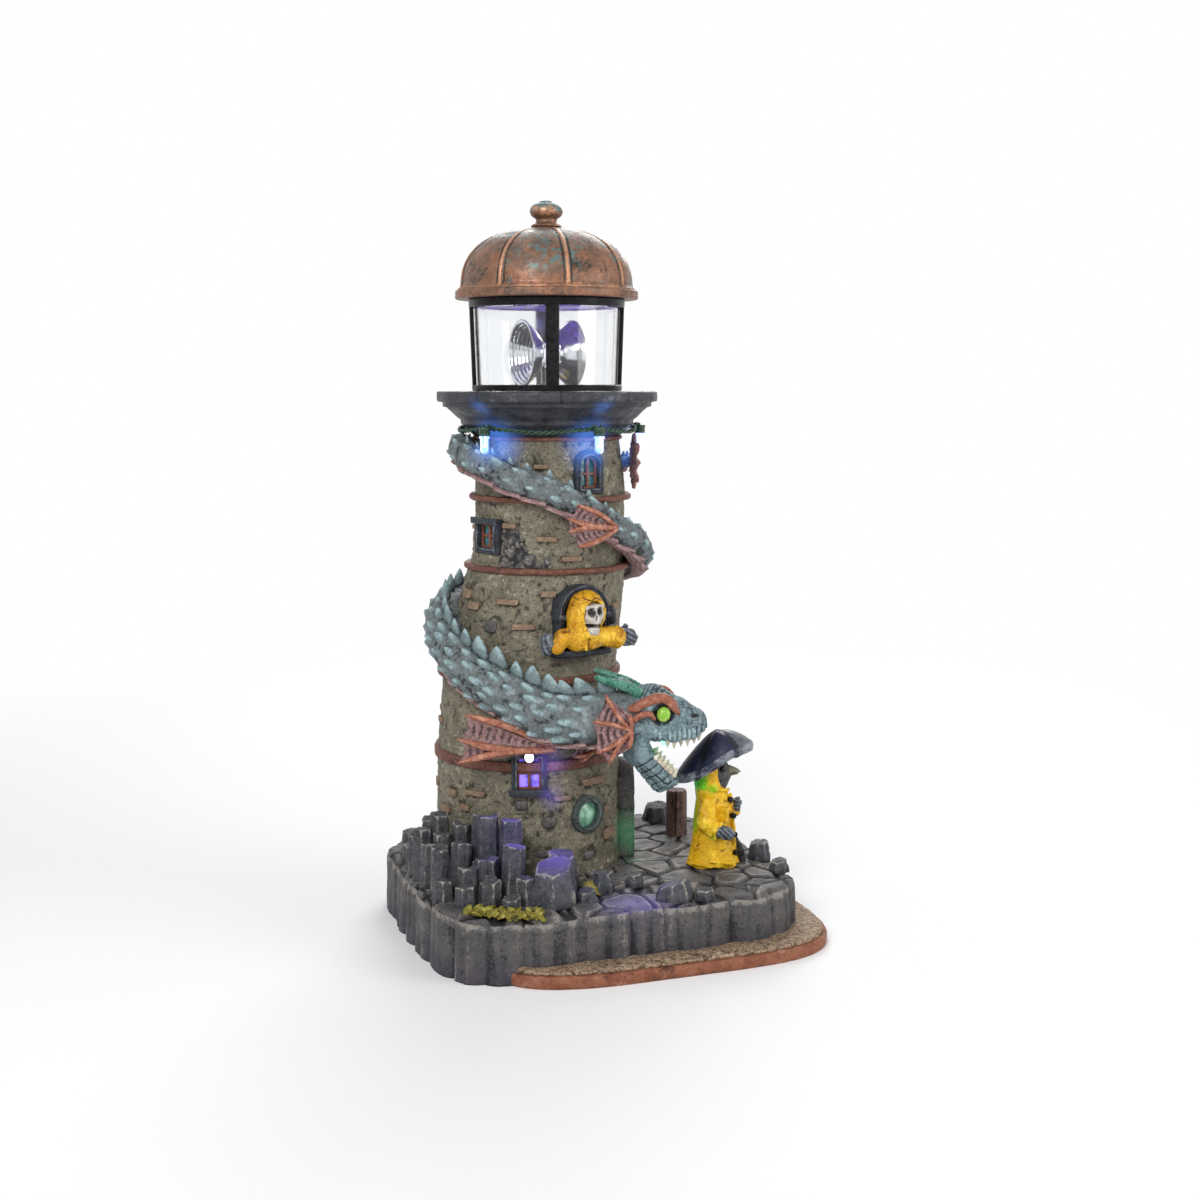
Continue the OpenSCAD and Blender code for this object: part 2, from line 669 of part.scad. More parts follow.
module switch_knob() {
    color("black") translate([switch_x - slot_w / 2 + 0.3, switch_front - 2.7, panel_z - knob_h / 2])
        cube([knob_w, panel_y + 1.1 - switch_front + 2.7, knob_h]);
}

module cover_screws() {
    color("silver") for (p = cover_screw) translate([p[0], p[1], 0.1]) difference() {
        union() {
            cylinder(h = cover_t - 0.6, r1 = 2.5, r2 = screw_r);
            cylinder(h = 10, r = screw_r);
        }
        translate([-2, -0.3, -over]) cube([4, 0.6, over + 0.5]);
        translate([-0.3, -2, -over]) cube([0.6, 4, over + 0.5]);
    }
}

module tower_shell() {
    color("darkkhaki") difference() {
        union() {
            difference() {
                union() {
                    for (s = STOREYS) lean_cone(s, 0);
                    for (b = BANDS) translate([wall_x(b[0] + b[1] / 2), tower_y, b[0]])
                        cylinder(h = b[1], r = core_r(b));
                }
                for (s = STOREYS) lean_cone(s, -tower_wall);
                for (b = BANDS) translate([wall_x(b[0] + b[1] / 2), tower_y, b[0] - over])
                    cylinder(h = b[1] + 2 * over, r = core_r(b) - tower_wall - core_step);
                translate([tower_x, tower_y, deck_z - over])
                    cylinder(h = 2 * over, r = foot_r - tower_wall);
            }
            translate([lantern_x, tower_y, plate_z - ledge_t]) difference() {
                cylinder(h = ledge_t, r = neck_r - tower_wall / 2);
                translate([0, 0, -over]) cylinder(h = ledge_t + 2 * over, r = ledge_in);
            }
        }
        through_wall(arched_f, arched_z, 6, 6) gothic_2d(arched_w + 2 * fit_gap, arched_h + 2 * fit_gap);
        through_wall(side_f, side_z, 6, 6) box_2d(side_w + 2 * fit_gap, side_h + 2 * fit_gap);
        through_wall(lower_f, lower_z, 6, 6) box_2d(lower_w + 2 * fit_gap, lower_h + 2 * fit_gap);
        through_wall(port_f, port_z, 6, 6) circle(r = port_r + fit_gap);
        through_wall(door_f, deck_z + door_h / 2, 6, 6) arch_2d(door_w + 2 * fit_gap, door_h + fit_gap);
        through_wall(keeper_f, keeper_z, 9, 9) arch_2d(keeper_w + 2 * fit_gap, keeper_h + 2 * fit_gap);
    }
}

module trim_bands() {
    color("saddlebrown") difference() {
        union() {
            for (b = BANDS) difference() {
                band_ring(b, 0);
                translate([wall_x(b[0] + b[1] / 2), tower_y, b[0] - over])
                    cylinder(h = b[1] + 2 * over, r = core_r(b) + 0.05);
            }
            translate([lantern_x, tower_y, z5]) difference() {
                cylinder(h = collar_h, r = collar_r);
                translate([0, 0, -over]) cylinder(h = collar_h + 2 * over, r = neck_r - tower_wall);
            }
        }
        through_wall(lower_f, lower_z, 6, 8) box_2d(lower_w + 2.6 * window_frame, lower_h + 2 * fit_gap);
    }
}

// Thin bricks laid bare in the plaster: direction, height above their storey's foot, width, height
BRICKS = [[-49, z3b + 14, 5, 2], [-20, z3b + 9.8, 7, 2], [-1, z3b + 3.2, 7, 2], [12, z3b + 10, 3.6, 2],
    [-24, z4b + 10.4, 4.6, 1.8], [-83, z2b + 26, 5.4, 3.4], [-70, z2b + 22.6, 5.6, 2.8],
    [-42, z2b + 25, 7.6, 2.2], [-14.4, z2b + 27.6, 4.8, 2.3], [-27, z2b + 16.8, 8, 2.2],
    [46, z2b + 22, 4, 2.3], [-72, deck_z + 27, 5, 2.7], [-52, deck_z + 28.6, 8, 2.2],
    [-80, deck_z + 20.4, 6.4, 3], [26, deck_z + 31.6, 10, 3], [3.5, deck_z + 27.4, 6.4, 2],
    [38, deck_z + 20.4, 3.6, 2.4], [42, deck_z + 11.4, 7.4, 4], [-60, deck_z + 23, 4, 2.6]];
brick_out = 0.9;
back_bricks = 9;

module exposed_bricks() {
    color("peru") difference() {
        brick_blocks();
        lean_cone(STOREYS[2], seat_gap);
    }
}

module brick_blocks() {
    union() {
        for (b = BRICKS) wall_block(b[0], b[1], b[2], b[3], brick_out);
        for (i = [0:back_bricks - 1]) {
            turn = 112 + 18 * i;
            wall_block(turn, deck_z + 8 + 22 * noise(i, 1), 5 + 3 * noise(i, 2), 2.4, brick_out);
            wall_block(turn + 6, z1b + 5 + 14 * noise(i, 4), 4 + 3 * noise(i, 5), 2.2, brick_out);
            wall_block(turn - 4, z3b + 11 + 7 * noise(i, 7), 4 + 3 * noise(i, 8), 2, brick_out);
        }
    }
}

// Patch of bare stones on the fourth storey, and single dark stones
patch_rows = 4;
patch_stones = 7;
STONES = [[-51, z2b + 16.4, 5, 4.4], [-22, deck_z + 25.5, 4.4, 4], [-5, deck_z + 19.6, 5, 4.4],
    [22, deck_z + 6.3, 4.6, 3.4], [-8, deck_z + 9, 5, 3]];

module stone_patches() {
    color("dimgray") difference() {
        stone_blocks();
        lean_cone(STOREYS[2], seat_gap);
    }
}

module stone_blocks() {
    union() {
        for (r = [0:patch_rows - 1], i = [0:patch_stones - 1]) if (noise(r, i) > 0.22) {
            turn = -50 + 7.2 * i + 3.4 * (r % 2);
            if (turn < (r < 3 ? -13 : -30))
                wall_block(turn, z3b + 1.7 + 2.5 * r, 2.9, 2, 0.6 + 0.5 * noise(i, r + 2));
        }
        for (s = STONES) wall_block(s[0], s[1], s[2], s[3], 0.9);
    }
}

module frame_of(w, h, f, z) {
    through_wall(f, z, window_in, window_out) difference() {
        children(0);
        children(1);
    }
}

sill_h = 2.4;

module window_frames() {
    color("darkslategray") {
        frame_of(arched_w, arched_h, arched_f, arched_z) {
            gothic_2d(arched_w, arched_h);
            gothic_2d(arched_w - 2 * window_frame, arched_h - 2 * window_frame);
        }
        frame_of(side_w, side_h, side_f, side_z) {
            box_2d(side_w, side_h);
            box_2d(side_w - 2 * window_frame, side_h - 2 * window_frame);
        }
        frame_of(lower_w, lower_h, lower_f, lower_z) {
            box_2d(lower_w, lower_h);
            box_2d(lower_w - 2 * window_frame, lower_h - 2 * window_frame);
        }
        frame_of(2 * port_r, 2 * port_r, port_f, port_z) {
            circle(r = port_r);
            circle(r = port_r - window_frame);
        }
        on_wall(lower_f, lower_z, window_out) translate([-lower_w / 2 - 0.8, -1, -lower_h / 2 - 0.3])
            cube([lower_w + 1.6, 1.4, sill_h]);
        on_wall(side_f, side_z, window_out) translate([-side_w / 2 - 0.8, -0.8, side_h / 2 + 0.4 - sill_h])
            cube([side_w + 1.6, 1.2, sill_h]);
    }
}

sash_t = 1;
bar = 0.9;

module sash(f, z, w, h, cols, rows) {
    through_wall(f, z, window_in - 1.6, -window_in + 1.6 + sash_t + 1.4) difference() {
        box_2d(w, h);
        for (i = [0:cols - 1], j = [0:rows - 1])
            translate([-w / 2 + (i + 0.5) * w / cols, -h / 2 + (j + 0.5) * h / rows])
                box_2d(w / cols - bar, h / rows - bar);
    }
}

module window_sashes() {
    inner = 2 * window_frame + 0.2;
    color("firebrick") {
        intersection() {
            sash(arched_f, arched_z, arched_w - inner, arched_h - inner, 2, 3);
            through_wall(arched_f, arched_z, 9, 9)
                gothic_2d(arched_w - inner, arched_h - inner);
        }
        sash(side_f, side_z, side_w - inner, side_h - inner, 2, 2);
        sash(lower_f, lower_z, lower_w - inner, lower_h - inner, 2, 3);
    }
}

module window_panes() {
    inner = 2 * window_frame + 0.2;
    back = window_in - 0.4;
    front = -window_in + 1.5;
    color("teal") {
        through_wall(arched_f, arched_z, back, front) gothic_2d(arched_w - inner, arched_h - inner);
        through_wall(side_f, side_z, back, front) box_2d(side_w - inner, side_h - inner);
        through_wall(lower_f, lower_z, back, front) box_2d(lower_w - inner, lower_h - inner);
        through_wall(port_f, port_z, back, 0.4) circle(r = port_r - window_frame - 0.1);
    }
}

door_jamb = 2.6;

module door_frame() {
    color("darkslategray") through_wall(door_f, deck_z + door_h / 2, 4, 3) difference() {
        arch_2d(door_w, door_h);
        translate([0, -door_jamb / 2 - over / 2]) arch_2d(door_w - 2 * door_jamb, door_h - door_jamb + over);
    }
}

module door_leaf() {
    color("saddlebrown") through_wall(door_f, deck_z + door_h / 2, 3.6, -1.6)
        translate([0, -door_jamb / 2]) arch_2d(door_w - 2 * door_jamb - 2 * fit_gap,
            door_h - door_jamb - 2 * fit_gap);
}

keeper_rim = 2.4;

module keeper_window() {
    color("darkslategray") {
        through_wall(keeper_f, keeper_z, 4, 4) difference() {
            arch_2d(keeper_w, keeper_h);
            translate([0, -over / 2]) arch_2d(keeper_w - 2 * keeper_rim, keeper_h - 2 * keeper_rim + over);
        }
        through_wall(keeper_f, keeper_z, 4, -2.8) arch_2d(keeper_w - 2 * keeper_rim + 0.4,
            keeper_h - 2 * keeper_rim + 0.4);
        on_wall(keeper_f, keeper_z, 4) translate([-keeper_w / 2, -1.6, -keeper_h / 2])
            cube([keeper_w, 1.6, 2.6]);
    }
}

module ball(p, r, s = [1, 1, 1]) {
    translate(p) scale(s) sphere(r = r, $fn = 14);
}

module limb(a, b, ra, rb) {
    hull() {
        ball(a, ra);
        ball(b, rb);
    }
}

// The lighthouse keeper leans out of the window; local x along the wall, -y outwards
keeper_face = [0.2, -8.6, 2.2];
hood_r = 5;

module keeper_place() {
    on_wall(keeper_f, keeper_z, 0) children();
}

module keeper_coat() {
    color("gold") keeper_place() difference() {
        union() {
            limb([-5.2, -6.8, -5.4], [0.6, -6.8, -5.2], 3.9, 3.9);
            limb([-2.4, -6.6, -3], [-1, -6.4, 2], 4.6, 5.2);
            limb([-1.6, -6.4, 2.2], [-1, -6.2, 4.6], 6.2, 5.8);
            limb([-6.6, -6.8, -4.4], [-10.4, -6.8, -4.8], 2.6, 2.4);
            limb([-10.4, -6.8, -4.8], [-11.2, -6.6, -6.8], 2.4, 2.3);
            limb([2.4, -7, -5], [7.8, -7.4, -5.8], 3.2, 3.2);
            limb([-2.4, -5, -5], [-1, -5, 0], 4.6, 4.6);
        }
        ball(keeper_face, hood_r);
        translate([-20, -2.6, -20]) cube([40, 20, 40]);
        rotate([90, 0, 0]) linear_extrude(4 + glue_gap) difference() {
            square(60, center = true);
            translate([0, -glue_gap]) arch_2d(keeper_w - 2 * keeper_rim - 2 * glue_gap,
                keeper_h - 2 * keeper_rim - 2 * glue_gap);
        }
        translate([-keeper_w, -6, -keeper_h / 2 - 1]) cube([2 * keeper_w, 6, 3.6 + glue_gap]);
    }
}

module keeper_skull() {
    color("ivory") keeper_place() translate(keeper_face) {
        ball([0, 0, 0.4], 4);
        limb([-0.6, -1, -2.7], [-0.4, -0.4, -1.4], 2, 2.8);
    }
}

module keeper_gloves() {
    color("darkslategray") keeper_place() {
        ball([-15.7, -6.4, -7], 2, [1, 0.9, 1.7]);
        ball([14.2, -7.6, -5.6], 2.4, [1.25, 0.95, 1.1]);
    }
}

module coil_disc(i, grow) {
    n = len(COIL_PATH) - 1;
    ahead = COIL_PATH[min(n, i + 1)] - COIL_PATH[max(0, i - 1)];
    translate(COIL_PATH[i])
        rotate([0, acos(ahead[2] / norm(ahead)), atan2(ahead[1], ahead[0])])
            cylinder(h = coil_ring, r = COIL_ROWS[i][3] + grow, center = true, $fn = coil_sides);
}

// The coil between two of its rings
module coil_solid(first, last, grow) {
    for (i = [first:last - 1]) hull() {
        coil_disc(i, grow);
        coil_disc(i + 1, grow);
    }
}

module neck_solid(grow) {
    hull() {
        coil_disc(len(COIL_PATH) - 1, grow);
        translate(neck_end) rotate([0, 84, head_yaw]) cylinder(h = coil_ring, r = 8.2 + grow,
            center = true, $fn = coil_sides);
    }
}

module serpent_body() {
    color("slategray") difference() {
        union() {
            coil_solid(0, len(COIL_PATH) - 1, 0);
            neck_solid(0);
        }
        tower_solid(glue_gap);
        head_place() translate([-neck_cut - 0.05, -14, -14]) cube([20, 28, 28]);
    }
}

module head_place() {
    translate(head_p) rotate([0, 0, head_yaw]) children();
}

mouth_tilt = 6;
mouth_roof = -8.3;
function palate(x) = mouth_roof + x * tan(mouth_tilt);

module serpent_head() {
    color("slategray") head_place() difference() {
        union() {
            limb([-7, 0, 0], [-2, 0, 1], 8.4, 8.2);
            limb([-2, 0, 1], [6, 0, -0.6], 8, 5.6);
            limb([6, 0, -0.6], [12.6, 0, -3.4], 5.6, 4);
            limb([-3, 5.4, 3], [5, 4.6, 3], 3.2, 2.6);
            limb([-3, -5.4, 3], [5, -4.6, 3], 3.2, 2.6);
            limb([11.5, 2.2, -1.4], [13.4, 2.2, -3], 1.8, 1.4);
            limb([11.5, -2.2, -1.4], [13.4, -2.2, -3], 1.8, 1.4);
            limb([0, 0, -5.4], [9, 0, -5], 5.6, 4.2);
        }
        eyes(0.1);
        translate([0, -12, mouth_roof]) rotate([0, -mouth_tilt, 0]) translate([-4, 0, -20])
            cube([34, 24, 20]);
        translate([-neck_cut - 10, -20, -20]) cube([10, 40, 40]);
    }
}

module serpent_jaw() {
    color("slategray") head_place() difference() {
        union() {
            limb([-6, 5, -10.4], [-3.5, 4.6, -15], 2.4, 2.4);
            limb([-6, -5, -10.4], [-3.5, -4.6, -15], 2.4, 2.4);
            limb([-4, 4.4, -14.6], [2.6, 2.6, -23.8], 2.6, 2.2);
            limb([-4, -4.4, -14.6], [2.6, -2.6, -23.8], 2.6, 2.2);
            limb([-4.6, 2, -15.6], [1.6, 1, -24.4], 3.4, 2.4);
            limb([-4.6, -2, -15.6], [1.6, -1, -24.4], 3.4, 2.4);
            limb([-6, 3, -12], [-6, -3, -12], 3, 3);
            limb([1.6, 0, -24.2], [3.4, 0, -24.8], 2.8, 2);
        }
        head_cut();
    }
}

// Clearance under the upper jaw and behind the lower one
module head_cut() {
    translate([-30, -20, -8.9]) cube([60, 40, 40]);
}

teeth_n = 5;

module serpent_teeth() {
    color("ivory") head_place() for (k = [-1, 1], i = [0:teeth_n - 1]) {
        reach = 3 + 2.2 * i;
        translate([reach, k * (4.4 - 0.7 * i), palate(reach)]) rotate([180, -mouth_tilt, 0])
            cylinder(h = 2.2, r1 = 0.9, r2 = 0.2, $fn = 10);
    }
}

module eyes(grow) {
    for (k = [-1, 1]) ball([2.2, k * 7.4, 0.6], 1.9 + grow);
}

module serpent_eyes() {
    color("greenyellow") head_place() eyes(0);
}

module serpent_horns() {
    color("seagreen") head_place() for (k = [-1, 1]) {
        limb([-8.4, k * 4.6, 9.4], [-14, k * 6, 10.6], 1.6, 1.2);
        limb([-14, k * 6, 10.6], [-20, k * 7, 12.4], 1.2, 0.6);
    }
}

// A fan of rays with a web between them, in the wall's own directions
module fan(f, z, out, rays, t) {
    on_wall(f, z, out) rotate([90, 0, 0]) linear_extrude(t) polygon(concat([[0, 1.6]], rays, [[0, -1.6]]));
}

UPPER_RAYS = [[-17, 8.6], [-15, 6], [-21, 4.4], [-17.6, 2.6], [-20.6, 0], [-16.8, -1], [-16.6, -5.4]];
LOWER_RAYS = [[-30, 12.6], [-26.4, 8.6], [-32, 4.4], [-27.6, 1.4], [-32, -3.4]];
EAR_RAYS = [[1, 3], [-8, 11.4], [-8.8, 7], [-13, 2.4], [-9.4, -1], [-12, -7], [-7, -7.4],
    [-7.6, -11.4], [0, -4]];
TAIL_RAYS = [[-0.7, -1.6], [-4, -9.8], [-5.2, -6.4], [-9, -7], [-7.8, -2.6], [-11.4, -0.6],
    [-8, 2.2], [-9.6, 6.6], [-5.4, 5.4], [-4.2, 10], [-0.7, 1.6]];
fin_t = 1.4;

module serpent_fins() {
    rings = len(COIL_PATH);
    color("rosybrown") {
        difference() {
            union() {
                fan(22, z3b + 13.6, 8.2, UPPER_RAYS, fin_t);
                fan(-4, z1b + 5.6, 6.2, LOWER_RAYS, fin_t);
                head_place() for (k = [-1, 1]) translate([-6, k * (8.7 + fin_t / 2), -4])
                    rotate([90, 0, 0]) linear_extrude(fin_t, center = true) polygon(EAR_RAYS);
            }
            coil_solid(8 * coil_steps, 13 * coil_steps, face_gap);
            coil_solid(19 * coil_steps, rings - 1, face_gap);
            neck_solid(face_gap);
            tower_solid(face_gap);
        }
    }
}

module serpent_tail() {
    color("rosybrown") translate(COIL_PATH[0]) rotate([0, 0, COIL[0][0]]) rotate([90, 0, 0])
        linear_extrude(fin_t, center = true) polygon(TAIL_RAYS);
}

module crow_place() {
    translate(crow_p) rotate([0, 0, head_yaw]) children();
}

crow_hood_cut = [3.2, 0, 33.8];
crow_hood_cut_r = 5.2;

module crow_coat() {
    color("gold") crow_place() {
        difference() {
            scale([1, 0.8, 1]) rotate_extrude($fn = 40) polygon([[0, 0], [9.2, 0], [9, 1.5], [8.2, 4], [7.1, 9],
                [6.7, 14], [6.3, 20], [5.6, 25], [4.4, 28], [0, 28]]);
            ball(crow_hood_cut, crow_hood_cut_r);
        }
        difference() {
            union() {
                limb([-1.2, 0, 27], [-1.6, 0, 33.6], 4.9, 5.2);
                limb([-1.6, -4.4, 23.4], [-2.4, -5.6, 16.6], 3, 3.2);
                limb([-2.4, -5.6, 16.6], [-0.7, -6.6, 14.6], 3.2, 2.7);
                limb([2, 4.4, 23.2], [5.4, 5.2, 17.4], 2.7, 2.3);
                limb([5.4, 5.2, 17.4], [7.2, 5.2, 17], 2.3, 1.9);
            }
            ball(crow_hood_cut, crow_hood_cut_r);
            crow_hat_cut();
        }
    }
}

// The hat is tipped back; its brim is longer than it is wide
hat_brim_r = 15.2;
hat_brim_t = 1.4;

module hat_place() {
    translate([-0.3, 0, 37.4]) rotate([0, -22, 0]) children();
}

module crow_hat_cut() {
    hat_place() translate([-20, -20, -hat_brim_t / 2 - glue_gap]) cube([40, 40, 30]);
}

module crow_plumage() {
    color("darkslategray") crow_place() {
        difference() {
            union() {
                ball([2.4, 0, 33.6], 4.2);
                limb([5, 0, 33.5], [9.3, 0, 33], 1.8, 0.4);
            }
            crow_hat_cut();
        }
        limb([10, 3, 2.6], [8.8, 2.8, 10], 1.1, 1);
    }
}

module crow_hat() {
    color("darkslateblue") crow_place() hull() {
        hat_place() scale([1, 0.62, 1]) cylinder(h = hat_brim_t, r = hat_brim_r, center = true, $fn = 48);
        ball([5.4, 0, 44], 4);
        ball([-0.6, 0, 43], 3.5);
    }
}

module crow_gloves() {
    color("slategray") crow_place() {
        ball([4.65, -7.8, 13.8], 2.2, [1.08, 0.9, 1.1]);
        ball([8.6, 4.7, 21.7], 1.6, [1, 1, 1.5]);
    }
}

// Lead of the lamp string: one open loop that goes into the wall at the back
lead_from = 168;
LEAD_F = [for (i = [0:60]) -lead_from + i * lead_from / 30];
function lead_sag(f) = 0.9 * cos((f - lamp_first) * 360 / lamp_turn);
LEAD_MID = [for (f = LEAD_F) [lantern_x + string_r * sin(f), tower_y - string_r * cos(f),
    string_z + lead_sag(f) * 0.6]];
lead_end = 6;
LEAD = concat([LEAD_MID[0] + lead_end * [sin(lead_from), cos(lead_from), 0]], LEAD_MID,
    [LEAD_MID[60] + lead_end * [-sin(lead_from), cos(lead_from), 0]]);
lead_sides = 8;

module string_lead() {
    n = len(LEAD);
    rings = [for (i = [0:n - 1]) let (t = LEAD[min(n - 1, i + 1)] - LEAD[max(0, i - 1)],
        side = cross(t, [0, 0, 1]) / norm(cross(t, [0, 0, 1])), top = cross(side, t) / norm(t))
        for (k = [0:lead_sides - 1]) LEAD[i] + lead_r * (cos(k * 360 / lead_sides) * side
            + sin(k * 360 / lead_sides) * top)];
    color("darkgreen") polyhedron(points = rings, faces = concat(
        [for (i = [0:n - 2], k = [0:lead_sides - 1], h = [0, 1])
            let (a = i * lead_sides + k, b = i * lead_sides + (k + 1) % lead_sides)
            h == 0 ? [a, b, b + lead_sides] : [a, b + lead_sides, a + lead_sides]],
        [[for (k = [lead_sides - 1:-1:0]) k], [for (k = [0:lead_sides - 1]) (n - 1) * lead_sides + k]]));
}

module at_lamps(out) {
    for (i = [0:lamps_n - 1]) translate([lantern_x, tower_y, string_z])
        rotate([0, 0, lamp_first + i * lamp_turn]) translate([0, -string_r - out, 0]) children();
}

lamp_out = lead_r + socket_rad + 0.05;

module bulb_sockets() {
    color("darkgreen") at_lamps(lamp_out) translate([0, 0, 1.4 - socket_len])
        cylinder(h = socket_len, r1 = socket_rad * 0.8, r2 = socket_rad);
}

module string_bulbs() {
    color("aliceblue") at_lamps(lamp_out) translate([0, 0, 1.4 - socket_len]) {
        translate([0, 0, -bulb_len + bulb_r]) cylinder(h = bulb_len - bulb_r, r = bulb_r);
        translate([0, 0, -bulb_len + bulb_r]) sphere(r = bulb_r, $fn = 32);
        translate([0, 0, -0.8]) cylinder(h = 0.8, r = bulb_r + 0.3);
    }
}

module spot_lamps() {
    color("aliceblue") {
        on_wall(lower_f, lower_z, window_out + 0.05) translate([0, 0, lower_h / 2 - 1.4])
            rotate([90, 0, 0]) cylinder(h = 2, r = 1.4);
        head_place() translate([2.6, 0, palate(2.6) - 3.2]) cylinder(h = 3, r1 = 1, r2 = 1.5);
        translate([lantern_x, tower_y, plate_z + plate_t]) cylinder(h = beacon_z - plate_z - plate_t - 1,
            r = post_r);
        translate([lantern_x, tower_y, beacon_z]) sphere(r = 1.6, $fn = 32);
        translate([lantern_x, tower_y, beacon_z - 2]) cylinder(h = 2, r = 1.6);
    }
}

hub_r = 4.2;
hub_cavity = 2.7;

module gallery() {
    bush_hole = spindle_r + 1.45;
    floor_low = z_gallery - gallery_t;
    color("dimgray") translate([lantern_x, tower_y, 0]) difference() {
        gallery_ring(bush_hole, floor_low);
        for (k = [-1, 1]) translate([0, 0, string_z + 0.6 * lead_sag(lead_from)])
            rotate([0, 0, k * lead_from]) translate([0, -neck_r + 4, 0]) rotate([90, 0, 0])
                cylinder(h = 14, r = lead_r + 2 * glue_gap);
    }
}

module gallery_ring(bush_hole, floor_low) {
    rotate_extrude() polygon([
        [neck_r - tower_wall - 1, z_collar], [neck_r + 0.5, z_collar],
        [neck_r + 4.9, z_collar + 0.42 * cornice_h], [neck_r + 4.9, z_collar + 0.54 * cornice_h],
        [gallery_r - 3.4, z_cornice], [gallery_r - 2.2, z_cornice], [gallery_r - 2.2, floor_low],
        [gallery_r - 0.4, floor_low], [gallery_r, floor_low + 0.4], [gallery_r, z_gallery - 0.4],
        [gallery_r - 0.4, z_gallery], [bush_hole, z_gallery], [bush_hole, floor_low],
        [neck_r - tower_wall - 1, floor_low - 3]]);
}

ring_h = 2.7;

module lantern_frame() {
    thick = frame_t;
    ring = [[lantern_r - thick + 0.1, z_gallery], [lantern_r - 0.1, z_gallery],
        [lantern_r + lantern_flare - 0.1, z_roof], [lantern_r + lantern_flare - thick + 0.1, z_roof]];
    color("black") translate([lantern_x, tower_y, 0]) {
        turn = post_w / lantern_r * 180 / PI;
        for (i = [0:3]) rotate([0, 0, -14 + 90 * i - 90 - turn / 2])
            rotate_extrude(angle = turn) polygon(ring);
        low = lantern_flare * 2 / lantern_h;
        rotate_extrude() polygon([[lantern_r - thick, z_gallery], [lantern_r, z_gallery],
            [lantern_r + low, z_gallery + 2], [lantern_r + low - thick, z_gallery + 2]]);
        high = lantern_flare * (1 - ring_h / lantern_h);
        rotate_extrude() polygon([[lantern_r + high - thick, z_roof - ring_h],
            [lantern_r + high, z_roof - ring_h], [lantern_r + lantern_flare, z_roof],
            [lantern_r + lantern_flare - thick, z_roof]]);
    }
}

module lantern_glass() {
    low = lantern_r - frame_t - fit_gap;
    tall = lantern_h - ring_h;
    high = low + lantern_flare * tall / lantern_h;
    color("white", 0.3) translate([lantern_x, tower_y, 0]) rotate_extrude() polygon([
        [low - glass_t, z_gallery], [low, z_gallery], [high, z_gallery + tall],
        [high - glass_t, z_gallery + tall]]);
}

ceiling_t = 1.6;

module lantern_ceiling() {
    color("indigo") translate([lantern_x, tower_y, z_roof - ring_h])
        cylinder(h = ceiling_t, r = lantern_r + lantern_flare * (1 - ring_h / lantern_h) - frame_t - fit_gap);
}

// Outer line of the dome from its foot to its flat crown, grown by a rib
dome_power = 2.4;
crown_r = 5;
function dome_line(grow, low) = [for (i = [0:18]) let (a = i * 4.6, c = pow(cos(a), 2 / dome_power),
    s = pow(sin(a), 2 / dome_power), r = (roof_rim_r - 1.9 + grow) * c)
    if (r > crown_r) [r, z_rim + low + (dome_h - 0.4 - low) * s + grow]];

module roof_dome() {
    crown = z_dome - 0.4;
    outer = dome_line(0, 0);
    inner = [for (i = [len(outer) - 1:-1:0]) [outer[i][0] - dome_t, outer[i][1] - dome_t * (i / len(outer))]];
    color("peru") translate([lantern_x, tower_y, 0]) {
        difference() {
            rotate_extrude() polygon(concat([[0, z_roof], [roof_rim_r - 0.5, z_roof],
                [roof_rim_r, z_roof + 0.6], [roof_rim_r, z_rim - 1], [roof_rim_r - 1, z_rim]], outer,
                [[crown_r, z_dome], [0, z_dome]]));
            rotate_extrude() polygon(concat([[0, z_roof + 2], [roof_rim_r - 5, z_roof + 2]],
                [for (i = [len(inner) - 1:-1:0]) if (inner[i][1] < crown - dome_t && inner[i][0] > 1) inner[i]],
                [[0, crown - dome_t]]));
            translate([0, 0, z_roof - over]) cylinder(h = 2 + 2 * over, r = lantern_r - 6);
        }
        rib = dome_line(0.55, 0.5);
        for (i = [0:dome_ribs - 1]) rotate([0, 0, 360 / dome_ribs * (i + 0.5) + 19])
            rotate_extrude(angle = 4.4) polygon(concat(rib, [for (i = [len(rib) - 1:-1:0])
                rib[i] - [0.9, 0.9]]));
    }
}

module roof_finial() {
    neck = 0.66 * finial_r;
    color("peru") translate([lantern_x, tower_y, z_dome]) rotate_extrude() polygon([[0, 0],
        [crown_r, 0], [crown_r, 0.8], [neck, 1.4], [neck, 2.8], [finial_r - 0.8, 3.6],
        [finial_r, 0.44 * finial_h + 0.8], [finial_r - 0.3, 0.72 * finial_h],
        [0.62 * finial_r, 0.92 * finial_h], [0.3 * finial_r, finial_h], [0, finial_h]]);
}

// A bowl's shell: trumpet shape from the hub to the rim
bowl_t = 0.8;
bowl_steps = 9;
function bowl_line(grow) = [for (i = [0:bowl_steps]) let (t = i / bowl_steps)
    [hub_r - 0.4 + (bowl_r - hub_r + 0.4) * pow(t, 0.62) - grow, 2.4 + (bowl_reach - 2.4) * t]];

module beacon_reflectors() {
    rim = bowl_line(bowl_t);
    color("silver") translate([lantern_x, tower_y, beacon_z]) rotate([0, 0, beacon_yaw]) difference() {
        union() {
            for (k = [-1, 1]) rotate([k * 90, 0, 0]) {
                rotate_extrude() polygon(concat(bowl_line(0), [for (i = [bowl_steps:-1:0]) rim[i]]));
                cylinder(h = 2.6, r = hub_r - 0.4);
            }
            translate([0, 0, -5]) cylinder(h = 9, r = hub_r);
        }
        translate([0, 0, -3.4]) cylinder(h = 6.2, r = hub_cavity);
        translate([0, 0, -6]) cylinder(h = 12, r = spindle_r + 0.02, center = true);
        rotate([90, 0, 0]) cylinder(h = 2 * bowl_reach, r = hub_cavity - 0.3, center = true);
    }
}

